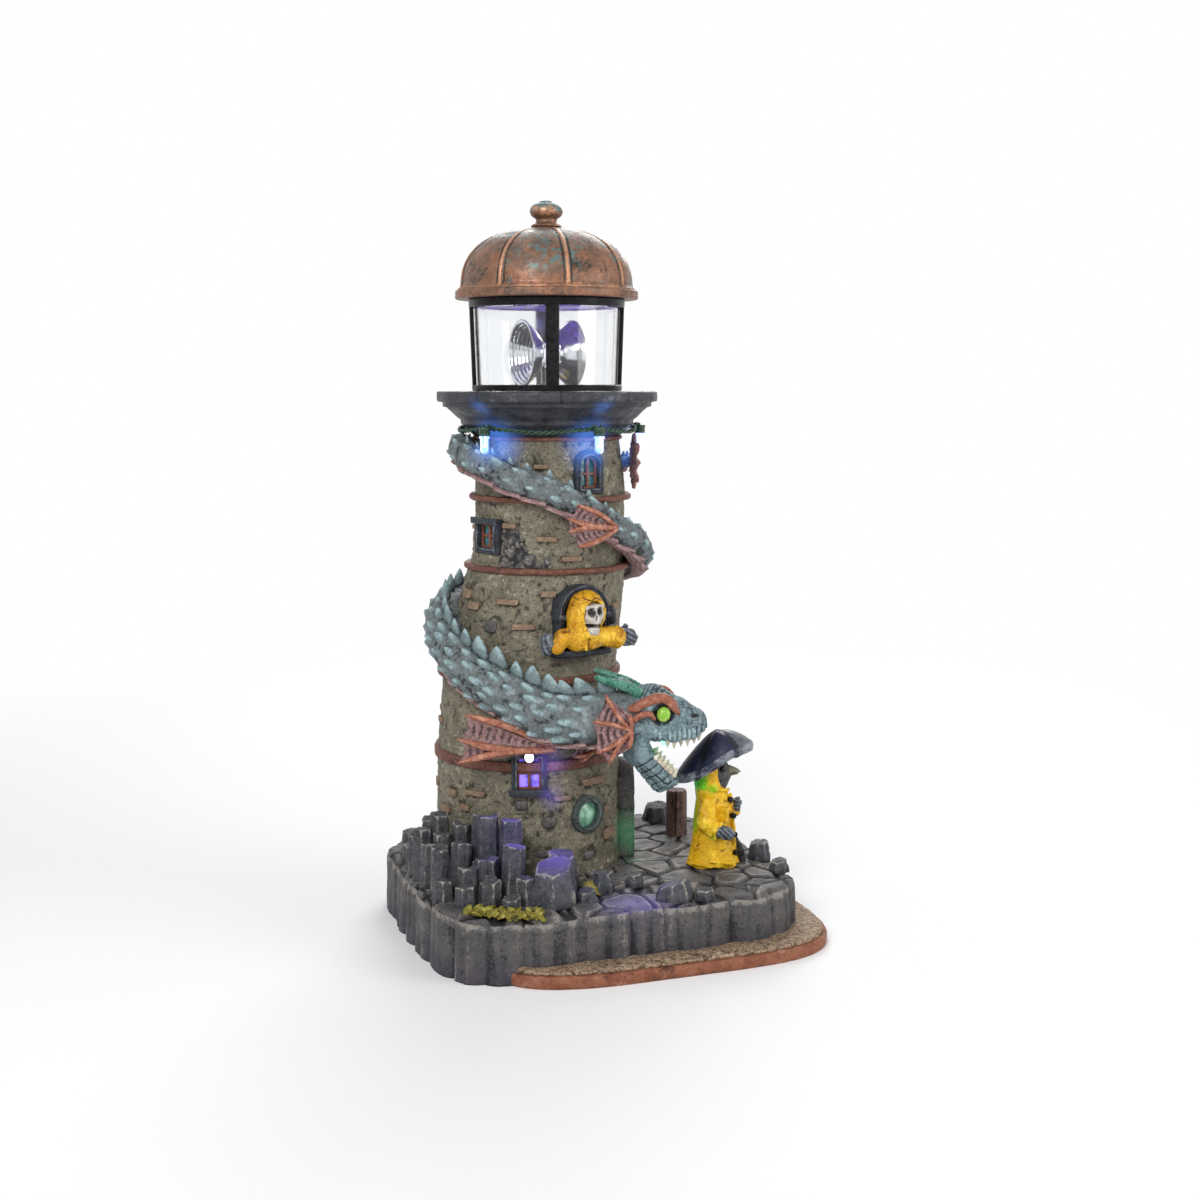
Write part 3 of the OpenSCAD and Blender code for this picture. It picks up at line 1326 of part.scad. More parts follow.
module beacon_spindle() {
    low = gear_z - 0.4;
    color("silver") translate([lantern_x, tower_y, 0]) difference() {
        union() {
            translate([0, 0, low]) cylinder(h = beacon_z - 3.6 - low, r = spindle_r);
            translate([0, 0, z_gallery + 1 + running_gap]) cylinder(h = 1, r = spindle_r + 1);
        }
        translate([0, 0, low - over]) cylinder(h = beacon_z - low, r = post_bore);
    }
}

// One tooth gap is as wide as a tooth and its backlash; flanks are straight
module gear_2d(teeth, turn) {
    pitch = gear_module * teeth / 2;
    tip = pitch + 0.85 * gear_module;
    root = pitch - 1.15 * gear_module;
    step = 360 / teeth;
    half = step * (0.25 - backlash / 2);
    slope = tan(20) * gear_module * 180 / PI / pitch;
    rotate(turn) polygon([for (i = [0:teeth - 1], k = [0:3])
        let (a = i * step + [-1, -1, 1, 1][k] * (half + [1.15, -0.85, -0.85, 1.15][k] * slope),
            r = [root, tip, tip, root][k]) r * [cos(a), sin(a)]]);
}

module beacon_gear() {
    color("ivory") translate([lantern_x, tower_y, gear_z]) difference() {
        linear_extrude(gear_t) gear_2d(gear_teeth, motor_yaw);
        translate([0, 0, -over]) cylinder(h = gear_t + 2 * over, r = spindle_r + 0.02);
    }
}

module beacon_bush() {
    color("goldenrod") translate([lantern_x, tower_y, 0]) difference() {
        union() {
            translate([0, 0, z_gallery - gallery_t]) cylinder(h = gallery_t + 0.5, r = spindle_r + 1.4);
            translate([0, 0, z_gallery]) cylinder(h = 1, r = spindle_r + 3);
        }
        translate([0, 0, z_gallery - gallery_t - over]) cylinder(h = gallery_t + 3, r = spindle_fit_r);
    }
}

module at_motor() {
    translate([lantern_x + motor_reach * cos(motor_yaw), tower_y + motor_reach * sin(motor_yaw), 0])
        rotate([0, 0, motor_yaw]) children();
}

module beacon_motor() {
    color("silver") at_motor() difference() {
        translate([-motor_d / 2, -motor_w / 2, plate_z - motor_h]) cube([motor_d, motor_w, motor_h]);
        translate([0, 0, plate_z - shaft_depth - 0.3]) cylinder(h = shaft_depth + over,
            r = motor_shaft_r + shaft_fit);
    }
}

module motor_pinion() {
    color("goldenrod") at_motor() {
        translate([0, 0, gear_z]) linear_extrude(gear_t)
            gear_2d(pinion_teeth, 180 + 180 / pinion_teeth * (pinion_teeth % 2 == 0 ? 1 : 0));
        translate([0, 0, plate_z - shaft_depth]) cylinder(h = gear_z - plate_z + shaft_depth + gear_t + 0.6,
            r = motor_shaft_r);
    }
}

module motor_plate() {
    color("dimgray") difference() {
        translate([lantern_x, tower_y, plate_z]) cylinder(h = plate_t, r = plate_r);
        at_motor() translate([0, 0, plate_z - over]) cylinder(h = plate_t + 2 * over,
            r = motor_shaft_r + 0.3);
        translate([lantern_x + 12, tower_y - 8, plate_z - over]) cylinder(h = plate_t + 2 * over, r = 2);
    }
}

base_casting();
beach_ledge();
beach_sand();
rock_pile();
flagstones();
seaweed();
mooring_post();
base_cover();
battery_door();
battery_tray();
battery_cells();
battery_contacts();
control_board();
rear_panel();
dc_socket();
switch_body();
switch_knob();
cover_screws();
tower_shell();
trim_bands();
exposed_bricks();
stone_patches();
window_frames();
window_sashes();
window_panes();
door_frame();
door_leaf();
keeper_window();
keeper_coat();
keeper_skull();
keeper_gloves();
serpent_body();
serpent_head();
serpent_jaw();
serpent_teeth();
serpent_eyes();
serpent_horns();
serpent_fins();
serpent_tail();
crow_coat();
crow_plumage();
crow_hat();
crow_gloves();
string_lead();
bulb_sockets();
string_bulbs();
spot_lamps();
gallery();
lantern_frame();
lantern_glass();
lantern_ceiling();
roof_dome();
roof_finial();
beacon_reflectors();
beacon_spindle();
beacon_gear();
beacon_bush();
beacon_motor();
motor_pinion();
motor_plate();
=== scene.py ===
"""Lighted village lighthouse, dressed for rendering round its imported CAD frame.

Every length is written in millimetres in the part's own frame and turned into metres when a mesh
is made. Surfaces are worked out as whole numpy arrays: rings of points joined into skins, or the
zero level of a distance field for the modelled figures.
"""

from __future__ import annotations

import json
import logging
import math
from dataclasses import dataclass, field
from enum import Enum
from typing import Callable, Sequence

import bpy
import numpy as np
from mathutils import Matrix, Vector

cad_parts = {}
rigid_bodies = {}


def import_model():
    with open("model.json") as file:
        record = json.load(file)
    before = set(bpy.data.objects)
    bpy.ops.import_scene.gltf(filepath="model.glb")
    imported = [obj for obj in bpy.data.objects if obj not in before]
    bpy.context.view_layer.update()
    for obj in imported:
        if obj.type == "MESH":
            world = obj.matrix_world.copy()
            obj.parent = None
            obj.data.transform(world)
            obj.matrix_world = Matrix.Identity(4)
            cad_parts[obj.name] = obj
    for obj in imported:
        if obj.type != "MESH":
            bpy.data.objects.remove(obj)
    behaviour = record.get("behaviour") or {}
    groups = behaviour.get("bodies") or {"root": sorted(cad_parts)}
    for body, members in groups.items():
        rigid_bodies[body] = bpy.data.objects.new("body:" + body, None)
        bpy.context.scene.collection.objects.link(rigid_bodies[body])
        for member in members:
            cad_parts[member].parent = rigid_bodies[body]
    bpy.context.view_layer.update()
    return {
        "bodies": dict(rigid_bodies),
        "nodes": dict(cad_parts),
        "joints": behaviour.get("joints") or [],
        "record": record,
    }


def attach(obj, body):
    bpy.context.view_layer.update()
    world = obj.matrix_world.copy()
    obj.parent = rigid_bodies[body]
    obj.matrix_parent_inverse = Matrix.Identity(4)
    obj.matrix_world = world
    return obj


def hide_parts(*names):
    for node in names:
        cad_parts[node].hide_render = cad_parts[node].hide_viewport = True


Array = np.ndarray
Colour = tuple[float, float, float]
Section = Callable[[float], Array]
Field = Callable[[Array], Array]

MM = 0.001
# Where the upright axis of lantern, beacon and tower top stands.
AXIS_X = -11.5
AXIS_Y = 22.2
log = logging.getLogger("lighthouse")


# Noise


def hashed(cell: Array, seed: int) -> Array:
    """Gives every whole-number cell a steady random number from 0 to 1.

    Args:
        cell: integer coordinates, shape (..., 3).
        seed: picks another set of numbers.

    Returns:
        One number per cell: its coordinates are multiplied by odd constants and the bits mixed.
    """
    c = cell.astype(np.int64)
    n = c[..., 0] * 73856093 ^ c[..., 1] * 19349663 ^ c[..., 2] * 83492791 ^ (seed * 2654435 + 97)
    n = (n ^ (n >> 13)) * 1274126177 & 0x7FFFFFFF
    n = (n ^ (n >> 16)) * 668265263 & 0x7FFFFFFF
    return (n & 0xFFFFF) / float(0x100000)


def noise(p: Array, size: float, seed: int = 0) -> Array:
    """Smooth value noise from -1 to 1.

    Args:
        p: points in millimetres, shape (..., 3).
        size: width of one lump in millimetres.
        seed: picks another pattern.

    Returns:
        The random numbers of the eight corners round each point, blended by 3t^2 - 2t^3.
    """
    q = p / size
    cell = np.floor(q)
    t = q - cell
    t = t * t * (3 - 2 * t)
    total = 0.0
    for corner in range(8):
        step = np.array([corner & 1, corner >> 1 & 1, corner >> 2 & 1])
        share = np.prod(np.where(step, t, 1 - t), axis=-1)
        total = total + share * hashed(cell + step, seed)
    return 2 * total - 1


def rough(p: Array, size: float, layers: int = 3, seed: int = 0) -> Array:
    """Fractal noise: each layer is half as wide and half as strong as the one before.

    Args:
        p: points.
        size: width of the widest waves.
        layers: number of layers.
        seed: seed of the first layer.

    Returns:
        One value per point, about -1 to 1.
    """
    total = np.zeros(p.shape[:-1])
    for k in range(layers):
        total += noise(p, size / 2**k, seed + 17 * k) / 2**k
    return total / (2 - 2 ** (1 - layers))


def crackle(p: Array, size: float, seed: int = 0, jitter: float = 0.85) -> tuple[Array, Array, Array]:
    """Cellular noise.

    Args:
        p: points in millimetres, shape (..., 3).
        size: mean width of a cell in millimetres.
        seed: picks another pattern.
        jitter: how far a cell's centre strays, 0 to 1.

    Returns:
        Distance to the cell's centre, distance to the cell's border, and the cell's own random
        number. The border distance is half the difference of the two nearest centre distances.
    """
    q = p / size
    base = np.floor(q)
    near = np.full(p.shape[:-1], 9.0)
    second = near.copy()
    name = np.zeros(p.shape[:-1])
    for i in range(27):
        cell = base + np.array([i % 3 - 1, i // 3 % 3 - 1, i // 9 - 1])
        spot = np.stack([hashed(cell, seed + k) for k in range(3)], axis=-1)
        gap = np.linalg.norm(cell + 0.5 + jitter * (spot - 0.5) - q, axis=-1)
        closer = gap < near
        second = np.where(closer, near, np.minimum(second, gap))
        name = np.where(closer, hashed(cell, seed + 7), name)
        near = np.where(closer, gap, near)
    return near * size, (second - near) * size / 2, name


def step01(x: Array, low: float, high: float) -> Array:
    """Smooth step from 0 at low to 1 at high, the cubic 3t^2 - 2t^3."""
    t = np.clip((x - low) / (high - low), 0, 1)
    return t * t * (3 - 2 * t)


# Shapes


@dataclass
class Shape:
    """Points with faces and, for each point, how raised it is: 0 hollow, 0.5 plain, 1 proud."""

    points: Array
    quads: Array = field(default_factory=lambda: np.zeros((0, 4), int))
    tris: Array = field(default_factory=lambda: np.zeros((0, 3), int))
    relief: Array | None = None
    tint: Array | None = None

    def lift(self) -> Array:
        """Relief of every point, 0.5 where none was given."""
        return np.full(len(self.points), 0.5) if self.relief is None else self.relief

    def stain_and_painted_light(self) -> Array:
        """Tint of every point, 0 where none was given."""
        return np.zeros(len(self.points)) if self.tint is None else self.tint

    def __add__(self, other: Shape) -> Shape:
        """Both shapes as one.

        Args:
            other: the shape to add.

        Returns:
            One shape with the points and faces of both.
        """
        n = len(self.points)
        return Shape(
            np.vstack([self.points, other.points]),
            np.vstack([self.quads, other.quads + n]),
            np.vstack([self.tris, other.tris + n]),
            np.concatenate([self.lift(), other.lift()]),
            np.concatenate([self.stain_and_painted_light(), other.stain_and_painted_light()]),
        )

    def volume(self) -> float:
        """Signed volume, from the tetrahedra between the origin and every triangle.

        Returns:
            Cubic millimetres, below 0 where the faces point inwards.
        """
        q, t = self.quads, self.tris
        tri = np.vstack([q[:, [0, 1, 2]], q[:, [0, 2, 3]], t])
        a, b, c = (self.points[tri[:, k]] for k in range(3))
        return float(np.einsum("ij,ij->i", a, np.cross(b, c)).sum() / 6)

    def outward(self) -> Shape:
        """The same shape with its faces pointing out.

        Returns:
            This shape, turned inside out if its volume is below 0.
        """
        if self.volume() < 0:
            self.quads = self.quads[:, ::-1]
            self.tris = self.tris[:, ::-1]
        return self

    def normals(self) -> Array:
        """Unit normal of every point, the area-weighted mean of its faces' normals.

        Returns:
            One row per point.
        """
        q, t = self.quads, self.tris
        tri = np.vstack([q[:, [0, 1, 2]], q[:, [0, 2, 3]], t])
        a, b, c = (self.points[tri[:, k]] for k in range(3))
        face = np.cross(b - a, c - a)
        total = np.zeros_like(self.points)
        for k in range(3):
            np.add.at(total, tri[:, k], face)
        return total / np.maximum(np.linalg.norm(total, axis=1), 1e-12)[:, None]

    def pushed(self, amount: Array) -> Shape:
        """Every point moved along its normal by its own amount in millimetres."""
        self.points = self.points + self.normals() * np.asarray(amount)[..., None]
        return self

    def placed(self, move: Callable[[Array], Array]) -> Shape:
        """The shape with its points sent through a placing function."""
        self.points = move(self.points)
        return self


def joined(shapes: Sequence[Shape]) -> Shape:
    """Several shapes as one, their arrays stacked with the point numbers shifted.

    Args:
        shapes: the shapes.

    Returns:
        One shape.
    """
    start = np.cumsum([0] + [len(s.points) for s in shapes])
    return Shape(
        np.vstack([s.points for s in shapes]),
        np.vstack([s.quads + n for s, n in zip(shapes, start)]),
        np.vstack([s.tris + n for s, n in zip(shapes, start)]),
        np.concatenate([s.lift() for s in shapes]),
        np.concatenate([s.stain_and_painted_light() for s in shapes]),
    )


def loft(rings: Array, loop: bool = False, relief: Array | None = None, tint: Array | None = None) -> Shape:
    """Joins closed rings into a skin.

    Point j of ring i is joined to point j of ring i + 1 by a quad. An open row of rings is closed
    by a fan round the middle of its first and last ring.

    Args:
        rings: points, shape (rings, points round, 3).
        loop: the last ring joins the first, as in a closed hoop.
        relief: how raised each point is, shape (rings, points round).
        tint: paint mask of each point, shape (rings, points round).

    Returns:
        A closed shape whose faces point out.
    """
    k, n = rings.shape[:2]
    index = np.arange(k * n).reshape(k, n)
    a = index if loop else index[:-1]
    b = np.roll(index, -1, axis=0) if loop else index[1:]
    quads = np.stack([a, np.roll(a, -1, 1), np.roll(b, -1, 1), b], axis=-1).reshape(-1, 4)
    points = rings.reshape(-1, 3)
    masks = [None if m is None else np.broadcast_to(m, (k, n)).reshape(-1) for m in (relief, tint)]
    tris = np.zeros((0, 3), int)
    if not loop:
        points = np.vstack([points, rings[0].mean(0), rings[-1].mean(0)])
        masks = [None if m is None else np.append(m, [m[:n].mean(), m[-n:].mean()]) for m in masks]
        first, last = index[0], index[-1]
        low = np.stack([np.roll(first, -1), first, np.full(n, k * n)], axis=-1)
        high = np.stack([last, np.roll(last, -1), np.full(n, k * n + 1)], axis=-1)
        tris = np.vstack([low, high])
    return Shape(points, quads, tris, masks[0], masks[1]).outward()


def circle(n: int, start: float = 0.0) -> Array:
    """Angles of n even steps round a full turn, in radians."""
    return start + np.arange(n) * 2 * np.pi / n


def around(a: Array, r: Array | float, z: Array) -> Array:
    """Points at angles a in radians, radii r and heights z."""
    return np.stack([r * np.cos(a), r * np.sin(a), z], axis=-1)


def stood(p: Array, yaw: float, origin: Sequence[float]) -> Array:
    """Points turned about z and then moved.

    Args:
        p: the points.
        yaw: rotation in degrees.
        origin: where the point 0, 0, 0 ends up.

    Returns:
        The points where they stand in the part.
    """
    a = math.radians(yaw)
    x, y, z = p.T
    return np.column_stack([origin[0] + x * math.cos(a) - y * math.sin(a),
                            origin[1] + x * math.sin(a) + y * math.cos(a), origin[2] + z])


def lathe(profile: Array, n: int, centre: Sequence[float], loop: bool = False,
          bend: Callable[[Array, Array, Array], Array] | None = None) -> Shape:
    """Turns a profile about a vertical axis.

    Args:
        profile: rows of radius and height, from one end to the other.
        n: points round.
        centre: x and y of the axis.
        loop: the profile is a closed outline, such as a ring's section.
        bend: takes angle, radius and height as arrays, and gives new radii.

    Returns:
        Points (x + r cos a, y + r sin a, z) for every profile row and angle.
    """
    a = circle(n)[None, :]
    r = np.maximum(profile[:, 0, None], 1e-3) + 0 * a
    z = profile[:, 1, None] + 0 * a
    if bend is not None:
        r = bend(a + 0 * r, r, z)
    rings = np.stack([centre[0] + r * np.cos(a), centre[1] + r * np.sin(a), z], axis=-1)
    return loft(rings, loop)


def fine(profile: Sequence[Sequence[float]], step: float, loop: bool = False) -> Array:
    """Adds even steps along the straight stretches of a profile, so that noise can shape it.

    Args:
        profile: rows of two coordinates.
        step: about the longest step left.
        loop: whether the last row leads back to the first.

    Returns:
        The rows with the added ones between them.
    """
    rows = np.array(profile, float)
    ends = np.vstack([rows[1:], rows[:1]]) if loop else rows[1:]
    parts = []
    for a, b in zip(rows, ends):
        n = max(1, int(np.linalg.norm(b - a) / step))
        parts.append(a + (b - a) * (np.arange(n) / n)[:, None])
    return np.vstack(parts if loop else parts + [rows[-1:]])


def frames(path: Array, up: Sequence[float] = (0, 0, 1)) -> tuple[Array, Array]:
    """Side and top directions along a path, each square to it; top leans towards up.

    Args:
        path: points along the path.
        up: direction that top leans towards.

    Returns:
        Side and top, one row each per point.
    """
    ahead = np.gradient(path, axis=0)
    ahead /= np.linalg.norm(ahead, axis=1)[:, None]
    side = np.cross(ahead, np.array(up, float))
    side /= np.maximum(np.linalg.norm(side, axis=1), 1e-9)[:, None]
    return side, np.cross(side, ahead)


def tube(path: Array, radii: Array | float, n: int, up: Sequence[float] = (0, 0, 1),
         loop: bool = False) -> Shape:
    """A round section carried along a path: path point + r (side cos a + top sin a).

    Args:
        path: points along the path.
        radii: one radius, or one per point.
        n: points round the section.
        up: direction that the top of the section leans towards.
        loop: whether the path closes on itself.

    Returns:
        The skin of the tube.
    """
    side, top = frames(path, up)
    a = circle(n)
    r = np.broadcast_to(np.asarray(radii, float), len(path))[:, None, None]
    rings = (path[:, None] + r * (side[:, None] * np.cos(a)[None, :, None]
                                  + top[:, None] * np.sin(a)[None, :, None]))
    return loft(rings, loop)


def spline(points: Sequence[Sequence[float]], per: int) -> Array:
    """Catmull-Rom curve through the points, with per steps between neighbours.

    Args:
        points: points that the curve passes through.
        per: steps between neighbours.

    Returns:
        Points along the curve.
    """
    p = np.array(points, float)
    q = np.vstack([2 * p[:1] - p[1:2], p, 2 * p[-1:] - p[-2:-1]])
    t = (np.arange(per) / per)[:, None, None]
    a, b, c, d = q[:-3], q[1:-2], q[2:-1], q[3:]
    rows = 0.5 * (2 * b + (c - a) * t + (2 * a - 5 * b + 4 * c - d) * t**2 + (3 * b - a - 3 * c + d) * t**3)
    return np.vstack([rows.transpose(1, 0, 2).reshape(-1, p.shape[1]), p[-1:]])


class Form(Enum):
    """Outlines that windows, doors and plates are cut to."""

    BOX = "box"
    ARCH = "arch"
    GOTHIC = "gothic"
    ROUND = "round"


def outline(form: Form, w: float, h: float, inset: float = 0.0, per: int = 12) -> Array:
    """Closed outline drawn upright about its middle.

    Args:
        form: which outline.
        w: width.
        h: height.
        inset: how far it is drawn in from the full size.
        per: points on each of its four sides, counted from the lower left, anticlockwise.

    Returns:
        Points of shape (4 per, 2). The head of an arch is a half circle, and a gothic head a
        flat arc that rises by 0.35 of the width.
    """
    a, b = w / 2 - inset, h / 2 - inset
    t = np.arange(per) / per
    if form is Form.ROUND:
        turn = circle(4 * per, -3 * np.pi / 4)
        return a * np.stack([np.cos(turn), np.sin(turn)], axis=-1)
    spring = b if form is Form.BOX else (b - a if form is Form.ARCH else b - 0.7 * a)
    foot = np.stack([-a + 2 * a * t, np.full(per, -b)], axis=-1)
    right = np.stack([np.full(per, a), -b + (spring + b) * t], axis=-1)
    left = np.stack([np.full(per, -a), spring - (spring + b) * t], axis=-1)
    if form is Form.BOX:
        head = np.stack([a - 2 * a * t, np.full(per, b)], axis=-1)
    else:
        rise = b - spring
        bow = (a * a + rise * rise) / (2 * rise)
        half = math.asin(min(1.0, a / bow)) if rise <= a else math.pi / 2
        turn = half - 2 * half * t
        head = np.stack([bow * np.sin(turn), b - bow + bow * np.cos(turn)], axis=-1)
    return np.vstack([foot, right, head, left])


def plate(section: Section, low: float, high: float, edge: float = 0.3) -> Shape:
    """A flat plate with rounded edges, drawn with x across, y up and z as depth.

    Args:
        section: gives the outline drawn in by a number of millimetres.
        low: depth of the back face.
        high: depth of the front face.
        edge: radius of the rounding.

    Returns:
        Rings of the outline, drawn in by edge (1 - sin a) at depth edge cos a from each face.
    """
    turn = np.radians([0, 30, 60, 90])
    inset = edge * (1 - np.sin(turn))
    depth = edge * (1 - np.cos(turn))
    rows = [(i, low + d) for i, d in zip(inset, depth)] + [(i, high - d) for i, d in zip(inset, depth)][::-1]
    rings = [np.column_stack([section(i), np.full(len(section(i)), d)]) for i, d in rows]
    return loft(np.stack(rings))


def border(section: Section, wide: float, low: float, high: float, edge: float = 0.3) -> Shape:
    """A frame that follows an outline: a section wide by high - low with rounded corners.

    Args:
        section: gives the outline drawn in by a number of millimetres.
        wide: width of the frame.
        low: depth of its back.
        high: depth of its front.
        edge: width of the rounding.

    Returns:
        A closed ring.
    """
    e = edge * 0.3
    rows = [(0, low), (0, high - edge), (e, high - e), (edge, high), (wide - edge, high),
            (wide - e, high - e), (wide, high - edge), (wide, low)]
    rings = [np.column_stack([section(i), np.full(len(section(i)), d)]) for i, d in rows]
    return loft(np.stack(rings), loop=True)


def block(size: Sequence[float], centre: Sequence[float], edge: float = 0.3, per: int = 3) -> Shape:
    """A box with rounded edges, its z the depth that is drawn last.

    Args:
        size: width, height and depth.
        centre: its middle.
        edge: radius of the rounding.
        per: points on each side of the outline.

    Returns:
        The box.
    """
    wide, tall, deep = size
    shape = plate(lambda i: outline(Form.BOX, wide, tall, i, per), -deep / 2, deep / 2, edge)
    shape.points = shape.points + np.array(centre, float)
    return shape


def turned(angles: Sequence[float]) -> Array:
    """Rotation matrix of angles about x, then y, then z, in degrees.

    Args:
        angles: one angle per axis.

    Returns:
        A matrix of three rows.
    """
    a, b, c = np.radians(angles)
    rx = np.array([[1, 0, 0], [0, math.cos(a), -math.sin(a)], [0, math.sin(a), math.cos(a)]])
    ry = np.array([[math.cos(b), 0, math.sin(b)], [0, 1, 0], [-math.sin(b), 0, math.cos(b)]])
    rz = np.array([[math.cos(c), -math.sin(c), 0], [math.sin(c), math.cos(c), 0], [0, 0, 1]])
    return rz @ ry @ rx


def pillow(size: Sequence[float], rows: int = 8, cols: int = 16, square: float = 0.35) -> Shape:
    """A lump between a box and a ball.

    Point (lat, lon) is (w/2 c(lat) c(lon), d/2 c(lat) s(lon), h/2 s(lat)), where c and s are the
    cosine and sine raised to the power square with their sign kept.

    Args:
        size: width, depth and height.
        rows: steps from pole to pole.
        cols: points round it.
        square: the power, 1 for a ball and near 0 for a box.

    Returns:
        The lump, about the origin.
    """
    def bulge(v: Array) -> Array:
        """The values raised to the power square, with their sign kept."""
        return np.sign(v) * np.abs(v) ** square

    lat = np.linspace(-np.pi / 2, np.pi / 2, rows + 1)[1:-1, None]
    lon = circle(cols)[None, :]
    x = bulge(np.cos(lat)) * bulge(np.cos(lon))
    y = bulge(np.cos(lat)) * bulge(np.sin(lon))
    z = bulge(np.sin(lat)) + 0 * lon
    return loft(np.stack([x, y, z], axis=-1) * np.array(size, float) / 2)


# Distance fields for the modelled figures


def ball(c: Sequence[float], r: float | Sequence[float], turn: Sequence[float] = (0, 0, 0)) -> Field:
    """Distance to a ball or, with three radii, about the distance to an ellipsoid.

    Args:
        c: centre.
        r: one radius, or one per axis.
        turn: rotation in degrees about x, y and z.

    Returns:
        The field.
    """
    size = np.broadcast_to(np.array(r, float), 3)
    spin = turned(turn)

    def measure(p: Array) -> Array:
        """Measures the gap from the ball.

        Args:
            p: points.

        Returns:
            Distance of each point.
        """
        q = (p - np.array(c, float)) @ spin
        a = np.linalg.norm(q / size, axis=-1)
        b = np.maximum(np.linalg.norm(q / size**2, axis=-1), 1e-6)
        return a * (a - 1) / b

    return measure


def limb(a: Sequence[float], b: Sequence[float], ra: float, rb: float) -> Field:
    """Distance to a rod from a to b whose radius goes from ra to rb.

    Args:
        a: first end.
        b: second end.
        ra: radius at a.
        rb: radius at b.

    Returns:
        The field.
    """
    start, along = np.array(a, float), np.array(b, float) - np.array(a, float)

    def measure(p: Array) -> Array:
        """Measures the gap from the rod, at the nearest place on its axis.

        Args:
            p: points.

        Returns:
            Distance of each point.
        """
        q = p - start
        t = np.clip(q @ along / (along @ along), 0, 1)
        return np.linalg.norm(q - t[..., None] * along, axis=-1) - ra - (rb - ra) * t

    return measure


def brick(c: Sequence[float], size: Sequence[float], edge: float, turn: Sequence[float] = (0, 0, 0)) -> Field:
    """Distance to a box with rounded edges: distance outside its core, less the rounding.

    Args:
        c: centre.
        size: full size along each axis.
        edge: radius of the rounding.
        turn: rotation in degrees about x, y and z.

    Returns:
        The field.
    """
    spin = turned(turn)
    half = np.array(size, float) / 2 - edge

    def measure(p: Array) -> Array:
        """Measures the gap from the box.

        Args:
            p: points.

        Returns:
            Distance of each point.
        """
        q = np.abs((p - np.array(c, float)) @ spin) - half
        return np.linalg.norm(np.maximum(q, 0), axis=-1) + np.minimum(q.max(axis=-1), 0) - edge

    return measure


def merged(soft: float, *parts: Field) -> Field:
    """Union of fields; where two are nearly as close they are blended over soft millimetres.

    Args:
        soft: width of the blend.
        parts: the fields.

    Returns:
        The field of the union.
    """

    def measure(p: Array) -> Array:
        """Measures the gap from the union, one field after the other.

        Args:
            p: points.

        Returns:
            Distance of each point.
        """
        d = parts[0](p)
        for part in parts[1:]:
            e = part(p)
            h = np.clip(0.5 + 0.5 * (e - d) / soft, 0, 1)
            d = e * (1 - h) + d * h - soft * h * (1 - h)
        return d

    return measure


def carved(soft: float, whole: Field, *tools: Field) -> Field:
    """The whole less every tool, with the cut's edge softened over soft millimetres.

    Args:
        soft: width of the softened edge.
        whole: field that is cut.
        tools: fields that are taken away.

    Returns:
        The field of what is left.
    """

    def measure(p: Array) -> Array:
        """Measures the gap from what is left, one tool after the other.

        Args:
            p: points.

        Returns:
            Distance of each point.
        """
        d = whole(p)
        for tool in tools:
            e = -tool(p)
            h = np.clip(0.5 - 0.5 * (e - d) / soft, 0, 1)
            d = e * (1 - h) + d * h + soft * h * (1 - h)
        return d

    return measure


def modelled(shape: Field, low: Sequence[float], high: Sequence[float], step: float) -> Shape:
    """The surface where a distance field is zero.

    The field is sampled on a grid. Each cell that the surface crosses gets one point, the mean of
    where its edges cross zero, and each crossed edge a quad between its four cells.

    Args:
        shape: the distance field.
        low: lowest corner of the grid, outside the shape.
        high: highest corner of the grid, outside the shape.
        step: width of a cell.

    Returns:
        A closed shape.
    """
    def shift(a: Array, o: Sequence[int]) -> Array:
        """The grid's values at one corner of every cell."""
        return a[tuple(slice(o[k], a.shape[k] - 1 + o[k]) for k in range(3))]

    axes = [np.arange(a, b + step, step) for a, b in zip(low, high)]
    p = np.stack(np.meshgrid(*axes, indexing="ij"), axis=-1)
    v = shape(p.reshape(-1, 3)).reshape(p.shape[:3])
    v[np.abs(v) < 1e-6] = 1e-6
    for k in range(3):
        for side in (0, -1):
            v[tuple(side if j == k else slice(None) for j in range(3))] = step
    total = np.zeros([s - 1 for s in v.shape] + [3])
    count = np.zeros([s - 1 for s in v.shape])
    for k in range(3):
        for u in (0, 1):
            for w in (0, 1):
                o = [0, 0, 0]
                o[(k + 1) % 3], o[(k + 2) % 3] = u, w
                e = list(o)
                e[k] = 1
                a, b = shift(v, o), shift(v, e)
                cross = (a < 0) != (b < 0)
                t = np.where(cross, a / np.where(cross, a - b, 1), 0)
                place = np.zeros(total.shape) + np.array(o, float)
                place[..., k] += t
                total += place * cross[..., None]
                count += cross
    hit = count > 0
    number = -np.ones(hit.shape, int)
    number[hit] = np.arange(hit.sum())
    cell = np.argwhere(hit)
    points = np.array(low, float) + (cell + total[hit] / count[hit][:, None]) * step
    quads = []
    for k in range(3):
        a = v[tuple(slice(0, -1) if j == k else slice(1, -1) for j in range(3))]
        b = v[tuple(slice(1, None) if j == k else slice(1, -1) for j in range(3))]
        spot = np.argwhere((a < 0) != (b < 0))
        flip = a[tuple(spot.T)] < 0
        i, j = (k + 1) % 3, (k + 2) % 3
        spot[:, i] += 1
        spot[:, j] += 1
        corner = []
        for di, dj in ((-1, -1), (0, -1), (0, 0), (-1, 0)):
            c = spot.copy()
            c[:, i] += di
            c[:, j] += dj
            corner.append(number[tuple(c.T)])
        q = np.stack(corner, axis=-1)
        q[~flip] = q[~flip][:, ::-1]
        quads.append(q)
    return Shape(points, np.vstack(quads)).outward()


# Finishes


@dataclass(frozen=True)
class Glow:
    """Light of a small lamp that lies on the surfaces near it."""

    centre: Sequence[float]
    reach: float
    colour: Colour
    strength: float = 1.0
    above: bool = False


